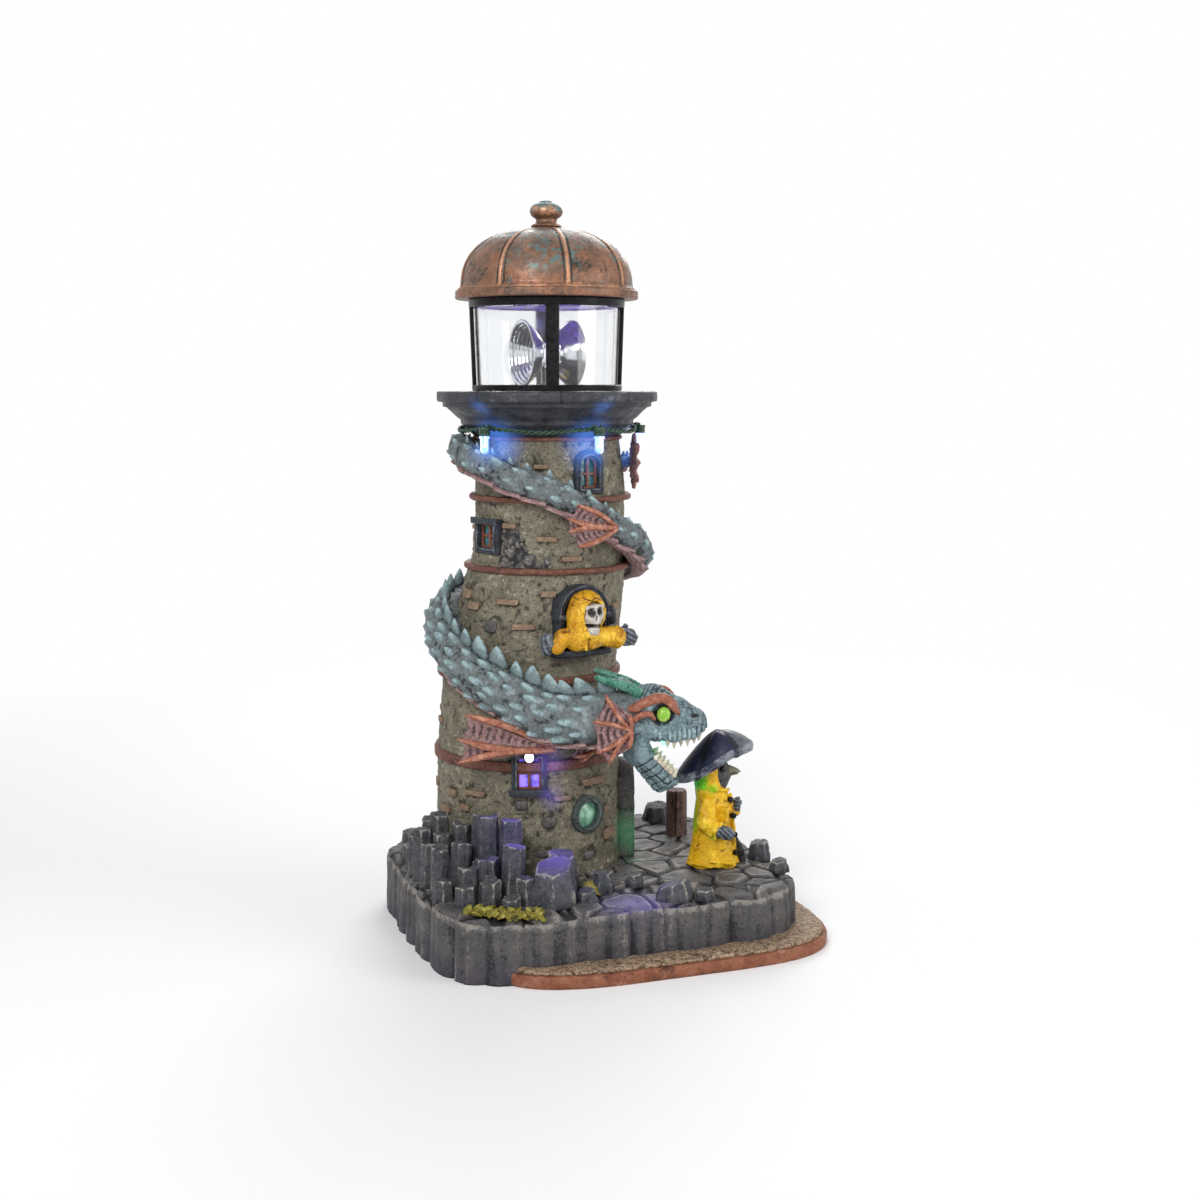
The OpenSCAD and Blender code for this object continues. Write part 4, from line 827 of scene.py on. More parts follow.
class Nodes:
    """Builds one material's node tree in a few short calls."""

    def __init__(self, name: str) -> None:
        """Starts an empty material with a surface shader.

        Args:
            name: name of the material.
        """
        self.material = bpy.data.materials.new(name)
        self.material.use_nodes = True
        self.tree = self.material.node_tree
        self.tree.nodes.clear()
        self.out = self.tree.nodes.new("ShaderNodeOutputMaterial")
        self.shader = self.tree.nodes.new("ShaderNodeBsdfPrincipled")
        self.tree.links.new(self.shader.outputs[0], self.out.inputs[0])
        self.where = self.tree.nodes.new("ShaderNodeTexCoord").outputs["Object"]

    def put(self, socket: bpy.types.NodeSocket, value: object) -> None:
        """Links a socket to a socket, or writes a number or colour on it.

        Args:
            socket: input that is set.
            value: socket, number or colour.
        """
        if isinstance(value, bpy.types.NodeSocket):
            self.tree.links.new(value, socket)
        elif isinstance(value, (tuple, list)) and len(value) == 3 and socket.type == "RGBA":
            socket.default_value = (*value, 1.0)
        else:
            socket.default_value = value

    def node(self, kind: str, inputs: dict | None = None, **settings: object) -> bpy.types.Node:
        """Adds a node, with its settings and the values or links of its inputs.

        Args:
            kind: type of node, without its ShaderNode.
            inputs: value or link per input.
            settings: attributes of the node.

        Returns:
            The node.
        """
        n = self.tree.nodes.new("ShaderNode" + kind)
        for key, value in settings.items():
            setattr(n, key, value)
        for key, value in (inputs or {}).items():
            self.put(n.inputs[key], value)
        return n

    def space(self, stretch: Sequence[float] = (1, 1, 1)) -> bpy.types.NodeSocket:
        """Object coordinates in millimetres, stretched along each axis."""
        scale = tuple(1000 * s for s in stretch)
        return self.node("Mapping", {"Vector": self.where, "Scale": scale}).outputs[0]

    def fog(self, size: float, detail: float = 3.0, stretch: Sequence[float] = (1, 1, 1),
            blur: float = 0.55) -> bpy.types.NodeSocket:
        """Fractal noise from 0 to 1 whose lumps are size millimetres wide."""
        inputs = {"Vector": self.space(stretch), "Scale": 1 / size, "Detail": detail, "Roughness": blur}
        return self.node("TexNoise", inputs).outputs["Fac"]

    def ramp(self, value: object, low: float, high: float, start: float = 0.0,
             end: float = 1.0) -> bpy.types.NodeSocket:
        """Maps low to high smoothly on to start to end."""
        inputs = {"Value": value, "From Min": low, "From Max": high, "To Min": start, "To Max": end}
        return self.node("MapRange", inputs, interpolation_type="SMOOTHSTEP").outputs[0]

    def sums(self, kind: str, a: object, b: object = 0.5) -> bpy.types.NodeSocket:
        """Arithmetic on two values."""
        return self.node("Math", {0: a, 1: b}, operation=kind).outputs[0]

    def mix(self, share: object, a: object, b: object, blend: str = "MIX") -> bpy.types.NodeSocket:
        """Colour a covered by colour b as far as share says.

        Args:
            share: 0 for a, 1 for b.
            a: first colour.
            b: second colour.
            blend: how b covers a.

        Returns:
            The colour.
        """
        n = self.node("Mix", data_type="RGBA", blend_type=blend)
        for key, value in ((0, share), (6, a), (7, b)):
            self.put(n.inputs[key], value)
        return n.outputs[2]

    def mask(self, name: str) -> bpy.types.NodeSocket:
        """A number stored on the piece's points."""
        return self.node("Attribute", attribute_name=name).outputs["Fac"]

    def bump(self, height: object, depth: float, strength: float = 1.0,
             normal: object | None = None) -> bpy.types.NodeSocket:
        """Surface normal tipped by a height that is depth millimetres tall.

        Args:
            height: height as a share of the depth.
            depth: the depth in millimetres.
            strength: how far the normal is tipped.
            normal: normal that is tipped, the surface's own when left out.

        Returns:
            The normal.
        """
        inputs = {"Height": height, "Distance": depth * MM, "Strength": strength}
        if normal is not None:
            inputs["Normal"] = normal
        return self.node("Bump", inputs).outputs[0]

    def near(self, spot: Sequence[float], reach: float) -> bpy.types.NodeSocket:
        """1 at a spot, given in millimetres, fading to 0 at reach.

        Args:
            spot: the place.
            reach: distance in millimetres at which nothing is left.

        Returns:
            The share.
        """
        centre = tuple(v * MM for v in spot)
        gap = self.node("VectorMath", {0: self.where, 1: centre}, operation="DISTANCE").outputs["Value"]
        return self.ramp(gap, 0.0, reach * MM, 1.0, 0.0)

    def glow(self, lamps: Sequence[Glow]) -> None:
        """Adds the light of small lamps to what the surface gives off.

        Args:
            lamps: the lamps that throw light on this surface.
        """
        total: object = None
        turn = self.node("SeparateXYZ", {0: self.node("NewGeometry").outputs["Normal"]}).outputs[2]
        lying = self.ramp(turn, 0.15, 0.85, 0.12, 1.0)
        for lamp in lamps:
            near = self.near(lamp.centre, lamp.reach)
            near = self.sums("POWER", near, 2.0)
            if lamp.above:
                near = self.sums("MULTIPLY", near, lying)
            colour = tuple(c * lamp.strength for c in lamp.colour)
            part = self.mix(near, (0.0, 0.0, 0.0), colour)
            total = part if total is None else self.mix(1.0, total, part, "ADD")
        if total is not None:
            self.put(self.shader.inputs["Emission Color"], total)
            self.shader.inputs["Emission Strength"].default_value = 1.0

    def set(self, **inputs: object) -> None:
        """Writes values on the shader, with _ for the spaces in the sockets' names."""
        for key, value in inputs.items():
            self.put(self.shader.inputs[key.replace("_", " ")], value)


# The part's small lamps; main fills it before the first finish is made.
LAMPS: list[Glow] = []


@dataclass(frozen=True)
class Painted:
    """Cast resin painted by hand: a blotched base coat, a dark wash and a dry-brushed light coat.

    The wash lies where the piece's relief is low and the light coat where it is high. On some pieces the
    relief is also lowered where shade falls and raised on the side that light falls on, so that there the
    wash is painted shade and the light coat painted light.
    """

    name: str
    base: Colour
    second: Colour
    wash: Colour
    light: Colour
    patch: float = 5.0
    grain: float = 0.9
    depth: float = 0.12
    shine: float = 0.62
    wash_at: tuple[float, float] = (0.1, 0.45)
    light_at: tuple[float, float] = (0.62, 0.95)
    # Colour laid on by the tint mask: grime and patina on some pieces, darkening in hollows and towards the
    # foot on others, and painted green light on the crow's coat.
    stain_and_painted_light: Colour | None = None
    stretch: tuple[float, float, float] = (1, 1, 1)
    flat: bool = False
    lit: bool = True
    metal: float = 0.0
    # Painted glow: strength at which the surface gives off its own colour as light, though it is no lamp.
    own: float = 0.0
    blotch: float = 0.4
    grit: float = 0.0
    gloss: float = 0.3

    def material(self) -> bpy.types.Material:
        """Builds the node tree.

        Returns:
            The material.
        """
        n = Nodes(self.name)
        lump = n.fog(self.patch, 4, self.stretch)
        speck = n.fog(self.grain, 3, self.stretch, 0.65)
        raised = n.ramp(n.fog(self.patch * 0.4, 3, self.stretch), 0.3, 0.7) if self.flat else n.mask("relief")
        raised = n.sums("ADD", raised, n.ramp(speck, 0.25, 0.75, -0.14, 0.14))
        colour = n.mix(n.ramp(lump, 0.38, 0.62), self.base, self.second)
        colour = n.mix(n.ramp(n.fog(self.patch * 0.22, 3), 0.42, 0.66, 0.0, self.blotch), colour, self.light)
        # The tint mask lays the stain colour on; on the crow's coat this colour is painted green light.
        if self.stain_and_painted_light is not None:
            colour = n.mix(n.mask("tint"), colour, self.stain_and_painted_light)
        colour = n.mix(n.ramp(raised, *self.wash_at, 0.92, 0.0), colour, self.wash)
        colour = n.mix(n.ramp(raised, *self.light_at, 0.0, 0.85), colour, self.light)
        colour = n.mix(n.ramp(speck, 0.34 + self.grit, 0.42 + self.grit, 0.35 + 3 * self.grit, 0.0),
                       colour, self.wash)
        rough_coat = n.ramp(n.fog(self.patch * 0.6, 3), 0.3, 0.7, self.shine - 0.1, self.shine + 0.12)
        fine_bump = n.bump(speck, self.depth)
        n.set(Base_Color=colour, Roughness=rough_coat, Normal=fine_bump, Specular_IOR_Level=self.gloss,
              Metallic=self.metal)
        # Painted glow of the surface's own colour; without it, the painted light of the small lamps near the
        # surface is added.
        if self.own:
            n.set(Emission_Color=colour, Emission_Strength=self.own)
        elif self.lit:
            n.glow(LAMPS)
        return n.material


@dataclass(frozen=True)
class Plastic:
    """Moulded plastic with a fine spark-eroded grain and slight mottling."""

    name: str
    base: Colour
    shine: float = 0.4
    grain: float = 0.35
    depth: float = 0.02
    clear: float = 0.0

    def material(self) -> bpy.types.Material:
        """Builds the node tree.

        Returns:
            The material.
        """
        n = Nodes(self.name)
        darker = tuple(0.78 * c for c in self.base)
        lighter = tuple(min(1.0, 1.12 * c + 0.01) for c in self.base)
        colour = n.mix(n.ramp(n.fog(6.0, 3), 0.35, 0.65), darker, lighter)
        rub = n.fog(1.4, 4, (1, 1, 0.3))
        n.set(Base_Color=colour, Roughness=n.ramp(rub, 0.3, 0.7, self.shine - 0.08, self.shine + 0.12),
              Normal=n.bump(n.fog(self.grain, 2), self.depth), Coat_Weight=self.clear)
        return n.material


@dataclass(frozen=True)
class Metal:
    """Bare or plated metal with fine scratches along one direction and soft tarnish."""

    name: str
    base: Colour
    shine: float = 0.22
    stretch: tuple[float, float, float] = (1, 1, 6)
    tarnish: Colour = (0.2, 0.17, 0.13)
    worn: float = 0.25
    depth: float = 0.01

    def material(self) -> bpy.types.Material:
        """Builds the node tree.

        Returns:
            The material.
        """
        n = Nodes(self.name)
        scratch = n.fog(0.5, 4, self.stretch)
        dull = n.ramp(n.fog(3.0, 4), 0.5, 0.75, 0.0, self.worn)
        n.set(Base_Color=n.mix(dull, self.base, self.tarnish), Metallic=1.0,
              Roughness=n.ramp(scratch, 0.3, 0.7, self.shine * 0.7, self.shine * 1.4),
              Normal=n.bump(scratch, self.depth))
        return n.material


def make(name: str, shape: Shape, finish: bpy.types.Material, body: str = "case", *replaced: str,
         sharp: float | None = None, slot: str | None = None) -> bpy.types.Object:
    """Makes a piece, dresses it and lets it ride on its body.

    Args:
        name: name of the piece.
        shape: its surface in millimetres.
        finish: its material.
        body: CAD body that it moves with.
        replaced: CAD nodes that it stands for.
        sharp: edges that bend by more degrees than this stay crisp.
        slot: material slot of the record; not used.

    Returns:
        The finished object, at the origin.
    """
    mesh = bpy.data.meshes.new(name)
    quads, tris = shape.quads, shape.tris
    mesh.vertices.add(len(shape.points))
    mesh.vertices.foreach_set("co", (shape.points * MM).astype(np.float32).ravel())
    mesh.loops.add(quads.size + tris.size)
    mesh.loops.foreach_set("vertex_index", np.concatenate([quads.ravel(), tris.ravel()]).astype(np.int32))
    mesh.polygons.add(len(quads) + len(tris))
    starts = np.concatenate([np.arange(len(quads)) * 4, quads.size + np.arange(len(tris)) * 3])
    mesh.polygons.foreach_set("loop_start", starts.astype(np.int32))
    mesh.update(calc_edges=True)
    mesh.polygons.foreach_set("use_smooth", np.ones(len(mesh.polygons), bool))
    for key, values in (("relief", shape.lift()), ("tint", shape.stain_and_painted_light())):
        layer = mesh.attributes.new(key, "FLOAT", "POINT")
        layer.data.foreach_set("value", np.clip(values, 0, 1).astype(np.float32))
    if sharp is not None:
        mesh.set_sharp_from_angle(angle=math.radians(sharp))
    mesh.validate()
    obj = bpy.data.objects.new(name, mesh)
    bpy.context.scene.collection.objects.link(obj)
    mesh.materials.append(finish)
    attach(obj, body)
    if replaced:
        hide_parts(*replaced)
    log.info("%s: %d faces on %s", name, len(mesh.polygons), body)
    return obj


def dress(frame: dict, node: str, finish: bpy.types.Material) -> None:
    """Gives a CAD node that stays in view its finish.

    Args:
        frame: the CAD nodes in the scene by name.
        node: name of the node.
        finish: its material.
    """
    slots = frame["nodes"][node].data.materials
    slots.clear()
    slots.append(finish)
    log.info("%s keeps its CAD shape", node)


@dataclass(frozen=True)
class Pane:
    """Translucent cast pane: mottled colour with darker flecks, and some light from behind."""

    name: str
    base: Colour
    light: Colour
    power: float = 0.1

    def material(self) -> bpy.types.Material:
        """Builds the node tree.

        Returns:
            The material.
        """
        n = Nodes(self.name)
        cloud = n.ramp(n.fog(3.2, 3), 0.35, 0.68)
        colour = n.mix(cloud, self.base, self.light)
        dim = n.mix(0.75, colour, (0.0, 0.0, 0.0))
        n.set(Base_Color=n.mix(n.ramp(n.fog(1.0, 3), 0.6, 0.8, 0.0, 0.5), colour, dim), Roughness=0.22,
              Normal=n.bump(n.fog(1.6, 2), 0.12), Coat_Weight=0.5, Emission_Color=colour)
        n.shader.inputs["Emission Strength"].default_value = self.power
        return n.material


@dataclass(frozen=True)
class Clear:
    """Clear moulded plastic with faint ripples, and the tint of a lit lamp where it has one."""

    name: str
    colour: Colour
    rough: float = 0.03
    glow: Colour = (0.0, 0.0, 0.0)
    power: float = 0.0

    def material(self) -> bpy.types.Material:
        """Builds the node tree.

        Returns:
            The material.
        """
        n = Nodes(self.name)
        smear = n.ramp(n.fog(5.0, 4), 0.45, 0.75, self.rough, self.rough + 0.10)
        tint = n.mix(n.ramp(n.fog(7.0, 2), 0.3, 0.7), self.colour, tuple(0.97 * c for c in self.colour))
        n.set(Base_Color=tint, Roughness=smear, Normal=n.bump(n.fog(4.0, 2), 0.01),
              Transmission_Weight=1.0, IOR=1.46)
        if self.power:
            n.set(Emission_Color=self.glow, Emission_Strength=self.power)
        return n.material


@dataclass(frozen=True)
class Lit:
    """A lamp's shining core, brighter in its middle flecks; it has another colour at one place."""

    name: str
    colour: Colour
    power: float
    other: Glow | None = None

    def material(self) -> bpy.types.Material:
        """Builds the node tree.

        Returns:
            The material.
        """
        n = Nodes(self.name)
        spark = n.ramp(n.fog(0.6, 2), 0.4, 0.6)
        colour = n.mix(spark, self.colour, (1.0, 1.0, 1.0))
        if self.other is not None:
            here = n.ramp(n.near(self.other.centre, self.other.reach), 0.0, 0.1)
            colour = n.mix(here, colour, self.other.colour)
        n.set(Base_Color=colour, Emission_Color=colour, Emission_Strength=self.power, Roughness=0.3)
        return n.material


# The tower


@dataclass
class Tower:
    """Leaning five-storey tower: plaster, trim bands, bricks and stones.

    A place on it is given by f, the direction round the tower in degrees with 0 to the front and
    positive towards the right, and its height z.
    """

    x: float = -19.0
    y: float = AXIS_Y
    lean: float = 7.5
    foot: float = 32.4
    neck: float = 24.7
    wall: float = 2.4
    levels: tuple = (20.0, 57.0, 60.5, 85.6, 88.3, 122.3, 124.3, 145.9, 147.9, 166.5)
    bands: tuple = ((57.0, 3.5, 33.04), (85.6, 2.7, 32.03), (122.3, 2.0, 28.92), (145.9, 2.0, 28.09))
    collar: tuple = (166.5, 1.3, 26.0)
    round_n: int = 330

    def __post_init__(self) -> None:
        """Works out the wall's radius and axis at each level from the taper and the lean."""
        taper = self.foot - self.neck
        top = self.x + self.lean
        drop = (0.0, 0.09, 0.12, 0.36, 0.26, 0.66, 0.78, 0.88, 0.83, 1.0)
        self.radii = tuple(self.foot - d * taper for d in drop)
        self.axes = (self.x, self.x, self.x, self.x + 0.03 * self.lean, self.x + 0.05 * self.lean,
                     top - 0.07 * self.lean, top, top + 1, top + 1, top)
        self.top_x = top

    def r(self, z: Array | float) -> Array:
        """Radius of the wall at a height, straight between the levels."""
        return np.interp(z, self.levels, self.radii)

    def axis(self, z: Array | float) -> Array:
        """x of the tower's leaning axis at a height."""
        return np.interp(z, self.levels, self.axes)

    def at(self, f: Array | float, z: Array | float, out: Array | float = 0.0) -> Array:
        """Points at direction f in degrees, height z and out millimetres off the wall.

        Args:
            f: directions, 0 in front and 90 to the right.
            z: heights.
            out: distance off the wall.

        Returns:
            The points.
        """
        a = np.radians(np.asarray(f, float) + 0 * np.asarray(z, float) + 0 * np.asarray(out, float))
        z = np.asarray(z, float) + 0 * a
        reach = self.r(z) + out
        return np.stack([self.axis(z) + reach * np.sin(a), self.y - reach * np.cos(a), z], axis=-1)

    def flat(self, f: float, z: float) -> Callable[[Array], Array]:
        """Placing function for a flat piece: x along the wall, y up and z out of it.

        Args:
            f: direction of the piece.
            z: height of its middle.

        Returns:
            The placing function.
        """
        a = math.radians(f)
        along = np.array([math.cos(a), math.sin(a), 0])
        out = np.array([math.sin(a), -math.cos(a), 0])
        origin = self.at(f, z)
        return lambda p: origin + p[:, :1] * along + p[:, 1:2] * np.array([0, 0, 1]) + p[:, 2:] * out

    def bent(self, f: float, z: float) -> Callable[[Array], Array]:
        """Placing function for a piece bent to the wall: x along it, y out of it and z up."""
        return lambda p: self.at(f + np.degrees(p[:, 0] / self.r(z)), z + p[:, 2], p[:, 1])


@dataclass(frozen=True)
class Opening:
    """A window or door in the wall: its outline, direction, centre height and size."""

    form: Form
    f: float
    z: float
    w: float
    h: float

    def cut(self, extra: float, n: int) -> Section:
        """Its outline for any inset, with extra added to that inset and n points on each side."""
        return lambda inset: outline(self.form, self.w, self.h, inset + extra, n)

    def inside(self, f: Array, z: Array, radius: Array, margin: float) -> Array:
        """1 where a place on the wall lies inside the outline drawn in by margin, else 0.

        Args:
            f: directions of the places.
            z: their heights.
            radius: the wall's radius there.
            margin: how far the outline is drawn in.

        Returns:
            One number per place.
        """
        u = radius * np.radians(f - self.f)
        v = z - self.z
        a, b = self.w / 2 - margin, self.h / 2 - margin
        if self.form is Form.ROUND:
            return (np.hypot(u, v) < a).astype(float)
        if self.form is Form.BOX:
            return ((np.abs(u) < a) & (np.abs(v) < b)).astype(float)
        rise = a if self.form is Form.ARCH else 0.7 * a
        head = np.clip(v - (b - rise), 0, None) / rise
        return ((np.abs(u) < a * np.sqrt(np.clip(1 - head**2, 0, 1))) & (np.abs(v) < b)).astype(float)


ARCHED = Opening(Form.GOTHIC, 13.0, 156.2, 11.0, 15.0)
SQUARE = Opening(Form.BOX, -70.0, 134.3, 13.0, 12.0)
LOWER = Opening(Form.BOX, -17.0, 56.4, 12.0, 15.0)
PORT = Opening(Form.ROUND, 20.6, 40.6, 13.2, 13.2)
DOOR = Opening(Form.ARCH, 76.0, 37.0, 19.0, 34.0)
KEEPER = Opening(Form.ARCH, 10.6, 107.2, 19.4, 24.0)
OPENINGS = (ARCHED, SQUARE, LOWER, PORT, DOOR, KEEPER)

# Bricks laid bare: direction, height, width and height of each
BRICKS = ((-49, 138.3, 5, 2), (-20, 134.1, 7, 2), (-1, 127.5, 7, 2), (12, 134.3, 3.6, 2),
          (-24, 158.3, 4.6, 1.8), (-83, 114.3, 5.4, 3.4), (-70, 110.9, 5.6, 2.8), (-42, 113.3, 7.6, 2.2),
          (-14.4, 115.9, 4.8, 2.3), (-27, 105.1, 8, 2.2), (46, 110.3, 4, 2.3), (-72, 47, 5, 2.7),
          (-52, 48.6, 8, 2.2), (-80, 40.4, 6.4, 3), (26, 51.6, 10, 3), (3.5, 47.4, 6.4, 2),
          (38, 40.4, 3.6, 2.4), (42, 31.4, 7.4, 4), (-60, 43, 4, 2.6))
STONES = ((-51, 104.7, 5, 4.4), (-22, 45.5, 4.4, 4), (-5, 39.6, 5, 4.4), (22, 26.3, 4.6, 3.4), (-8, 29, 5, 3))


def wobble(i: float, k: float) -> float:
    """Repeatable number from 0 to 1 for a pair of counts: the fraction of 437.585 sin(...)."""
    s = math.sin(math.radians(i * 127.1 + k * 311.7)) * 437.585
    return s - math.floor(s)


@dataclass
class TowerWork:
    """The tower's own surfaces."""

    tower: Tower
    brick_out: float = 0.85
    flatness: float = 0.84
    back_rows: int = 9
    row_step: float = 0.62
    hole_depth: float = 3.2

    def bricks(self) -> list[tuple[float, float, float, float]]:
        """Every bare brick: those listed in front and three rows behind, spread by wobble.

        Returns:
            Direction, height, width and height of each.
        """
        rows = list(BRICKS)
        for i in range(self.back_rows):
            turn = 112 + 18 * i
            rows.append((turn, 28 + 22 * wobble(i, 1), 5 + 3 * wobble(i, 2), 2.4))
            rows.append((turn + 6, 65.5 + 14 * wobble(i, 4), 4 + 3 * wobble(i, 5), 2.2))
            rows.append((turn - 4, 135.3 + 7 * wobble(i, 7), 4 + 3 * wobble(i, 8), 2.0))
        return rows

    def rubble(self, f: Array, z: Array) -> Array:
        """Share of the rubble patch on the fourth storey at a place: a ragged blob beside the window.

        Args:
            f: directions.
            z: heights.

        Returns:
            Shares from 0 to 1.
        """
        ragged = 0.35 * noise(np.stack([f * 0.5, z, 0 * z], axis=-1), 3.0, 5)
        low = np.hypot((f + 40.0) / 27.0, (z - 125.0) / 5.6)
        high = np.hypot((f + 44.0) / 15.0, (z - 131.5) / 5.0)
        return 1 - step01(np.minimum(low, high) + ragged, 0.72, 1.04)

    def patch(self) -> Shape:
        """The rubble patch: a sheet on the wall, cell by cell a stone with its own height and tilt.

        Returns:
            One skin, closed behind the wall's face.
        """
        f = np.linspace(-72, -10, 150)[:, None]
        z = np.linspace(124.35, 138, 60)[None, :]
        f, z = np.broadcast_arrays(f, z)
        flat = np.stack([self.tower.r(z) * np.radians(f), z, 0 * z], axis=-1)
        flat = flat + 0.5 * np.stack([noise(flat, 2.5, 3), noise(flat, 2.5, 4), 0 * z], axis=-1)
        _, gap, name = crackle(flat, 4.4, 8, 0.9)
        stone = step01(gap, 0.1, 0.7)
        dent = rough(flat, 1.8, 3, 9)
        share = self.rubble(f, z)
        out = share * (0.2 + stone * (0.55 + 0.7 * (name - 0.5) + 0.25 * dent)) - 0.9 * (1 - share) ** 2 - 0.1
        front = self.tower.at(f, z, out)
        rear = self.tower.at(f, z, np.full(f.shape, -1.2))[:, ::-1]
        edge = np.exp(-(((gap - 0.8) / 0.35) ** 2))
        relief = 0.14 + 0.38 * stone + 0.35 * dent + 0.24 * edge
        return loft(np.concatenate([front, rear], axis=1), False,
                    np.concatenate([relief, relief[:, ::-1]], axis=1))

    def plaster(self) -> Shape:
        """The plaster skin, a closed pair of inner and outer walls.

        The outer wall is the cone of each storey moved out by trowel marks, which are fractal noise
        drawn out along the wall, by lumps, and in by thin cracks, by pits and by the ragged hollows
        round bricks, stones and openings.

        Returns:
            A closed skin, sunk at the openings.
        """
        t = self.tower
        z = np.arange(t.levels[0] - 0.4, t.levels[-1] + 1.0, self.row_step)[:, None]
        f = np.degrees(circle(t.round_n, -np.pi))[None, :]
        z, f = np.broadcast_arrays(z, f)
        radius = t.r(z)
        flat = np.stack([radius * np.sin(np.radians(f)), radius * np.cos(np.radians(f)), z], axis=-1)
        strokes = rough(flat * (1, 1, 1.9), 7.0, 4, 3)
        grit = rough(flat * (1, 1, 1.4), 1.7, 2, 9)
        seam = crackle(flat * (1, 1, 1.35), 15.0, 5)[1] + 1.6 * np.abs(rough(flat, 5.0, 3, 12))
        crack = step01(-seam, -0.75, -0.1) * step01(noise(flat, 12.0, 31), -0.1, 0.35)
        pit = step01(-crackle(flat, 5.5, 21)[0], -1.5, -0.5) * step01(noise(flat, 6.0, 8), 0.15, 0.4)
        lump = 0.36 * strokes + 0.34 * grit - 0.45 * crack - 0.4 * pit
        bare = np.zeros(z.shape)
        for bf, bz, w, h in self.bricks() + list(STONES):
            u = radius * np.radians((f - bf + 180) % 360 - 180) / (w / 2 + 0.9)
            v = (z - bz) / (h / 2 + 0.8)
            edge = np.hypot(u, v) + 0.35 * rough(flat, 2.4, 2, 6)
            bare = np.maximum(bare, 1 - step01(edge, 0.9, 1.3))
        lump = lump - 0.35 * bare
        sunk = np.zeros(z.shape)
        for hole in OPENINGS:
            sunk = np.maximum(sunk, hole.inside(f, z, radius, 1.1))
        foot = 0.8 * step01(-z, -24.5, -20.5) * (0.6 + 0.4 * noise(flat, 4.0, 77))
        outer = t.at(f, z, np.clip(lump, -0.9, 0.55) + foot - self.hole_depth * sunk)
        low = np.linspace(t.levels[-1] + 0.6, t.levels[0] - 0.4, 12)[:, None]
        inner = t.at(f[:1] + 0 * low, low + 0 * f[:1], -t.wall - 1.6)
        rings = np.concatenate([outer, inner])
        relief = np.concatenate([0.55 + 0.28 * strokes - 0.5 * crack - 0.4 * pit - 0.25 * bare
                                 + 0.6 * grit, np.full(inner.shape[:2], 0.3)])
        # Tint mask: darker patches from noise, and darker towards the foot of the tower where it meets the
        # deck.
        patches_and_foot_dark = step01(rough(flat, 9.0, 3, 40), 0.05, 0.5) * 0.35 + 0.4 * step01(-z, -34, -20)
        tint = np.concatenate([np.clip(patches_and_foot_dark, 0, 1), np.zeros(inner.shape[:2])])
        return loft(rings, True, relief, tint)

    def hoop(self, low: float, tall: float, radius: float, centre: float, seed: int) -> Shape:
        """A trim band: a rounded section turned about the tower, dented and frayed by noise.

        Args:
            low: height of its foot.
            tall: its height.
            radius: its outer radius.
            centre: x of its axis.
            seed: seed of the noise.

        Returns:
            A closed ring.
        """
        t = self.tower
        inner = t.r(low + tall / 2) - 1.2
        soft = 0.55
        section = [(inner, low + 0.15), (radius - soft, low), (radius - 0.12, low + 0.3),
                   (radius, low + soft), (radius, low + tall - soft), (radius - 0.12, low + tall - 0.3),
                   (radius - soft, low + tall), (inner, low + tall - 0.15)]
        rows = fine(section, 0.5, True)
        a = circle(420)
        proud = step01(rows[:, 0], radius - 1.2, radius)[:, None]
        p = around(a[None] + 0 * proud, radius, rows[:, 1:2] + 0 * a[None])
        dent = rough(p * (1, 1, 0.6), 6.0, 4, seed)
        nick = step01(-crackle(p, 7.0, seed)[0], -2.2, -0.8) * step01(noise(p, 9, seed + 4), 0.0, 0.5)
        r = rows[:, :1] + proud * (0.26 * dent - 0.5 * nick - 0.12)
        z = rows[:, 1:2] + 0.22 * noise(p, 5.0, seed + 2) * (1 if tall > 1.5 else 0.4)
        rings = np.stack([centre + r * np.cos(a), t.y + r * np.sin(a), z], axis=-1)
        return loft(rings, True, 0.5 + 0.5 * dent - 0.4 * nick + 0.12 * (proud - 0.5))

    def lumps(self, rows: Sequence[Sequence[float]], out: float, square: float, seed: int) -> Shape:
        """Bricks or stones bent to the wall, each a pillow shaped by its own noise.

        Args:
            rows: direction, height, width and height of each.
            out: how far they stand off the wall.
            square: how square they are, as in pillow.
            seed: seed of the noise.

        Returns:
            All of them as one shape.
        """
        parts = []
        for i, (f, z, w, h) in enumerate(rows):
            thick = out + 1.4
            p = pillow((w, thick, h * self.flatness), 9, 26, square)
            q = p.points + 31.7 * i
            dent = rough(q, 1.8, 3, seed)
            p.points = p.points * (1 + 0.12 * noise(q, 2.6, seed + 3)[:, None])
            p.relief = 0.5 + 0.4 * dent + 0.25 * (p.points[:, 1] / thick)
            p.points[:, 1] += out - thick / 2 + 0.12 * dent - 0.1
            shift = 0.4 * wobble(i, 5) - 0.2
            parts.append(p.placed(self.tower.bent(f, z + shift)))
        return joined(parts)

    def build(self, paints: dict[str, bpy.types.Material]) -> None:
        """Makes and dresses the tower's pieces.

        Args:
            paints: every finish by its name.
        """
        make("tower_plaster", self.plaster(), paints["plaster"], "case", "tower_shell", slot="plaster")
        t = self.tower
        hoops = [self.hoop(z, h, r, float(t.axis(z + h / 2)), 50 + 3 * k)
                 for k, (z, h, r) in enumerate(t.bands)]
        z, h, r = t.collar
        hoops.append(self.hoop(z, h, r, t.top_x, 71))
        make("tower_trim", joined(hoops), paints["rust"], "case", "trim_bands", slot="rust_band")
        make("tower_bricks", self.lumps(self.bricks(), self.brick_out, 0.18, 5), paints["brick"], "case",
             "exposed_bricks", slot="brick")
        make("tower_stones", self.lumps(STONES, 0.8, 0.5, 15) + self.patch(), paints["stone"], "case",
             "stone_patches", slot="dark_stone")


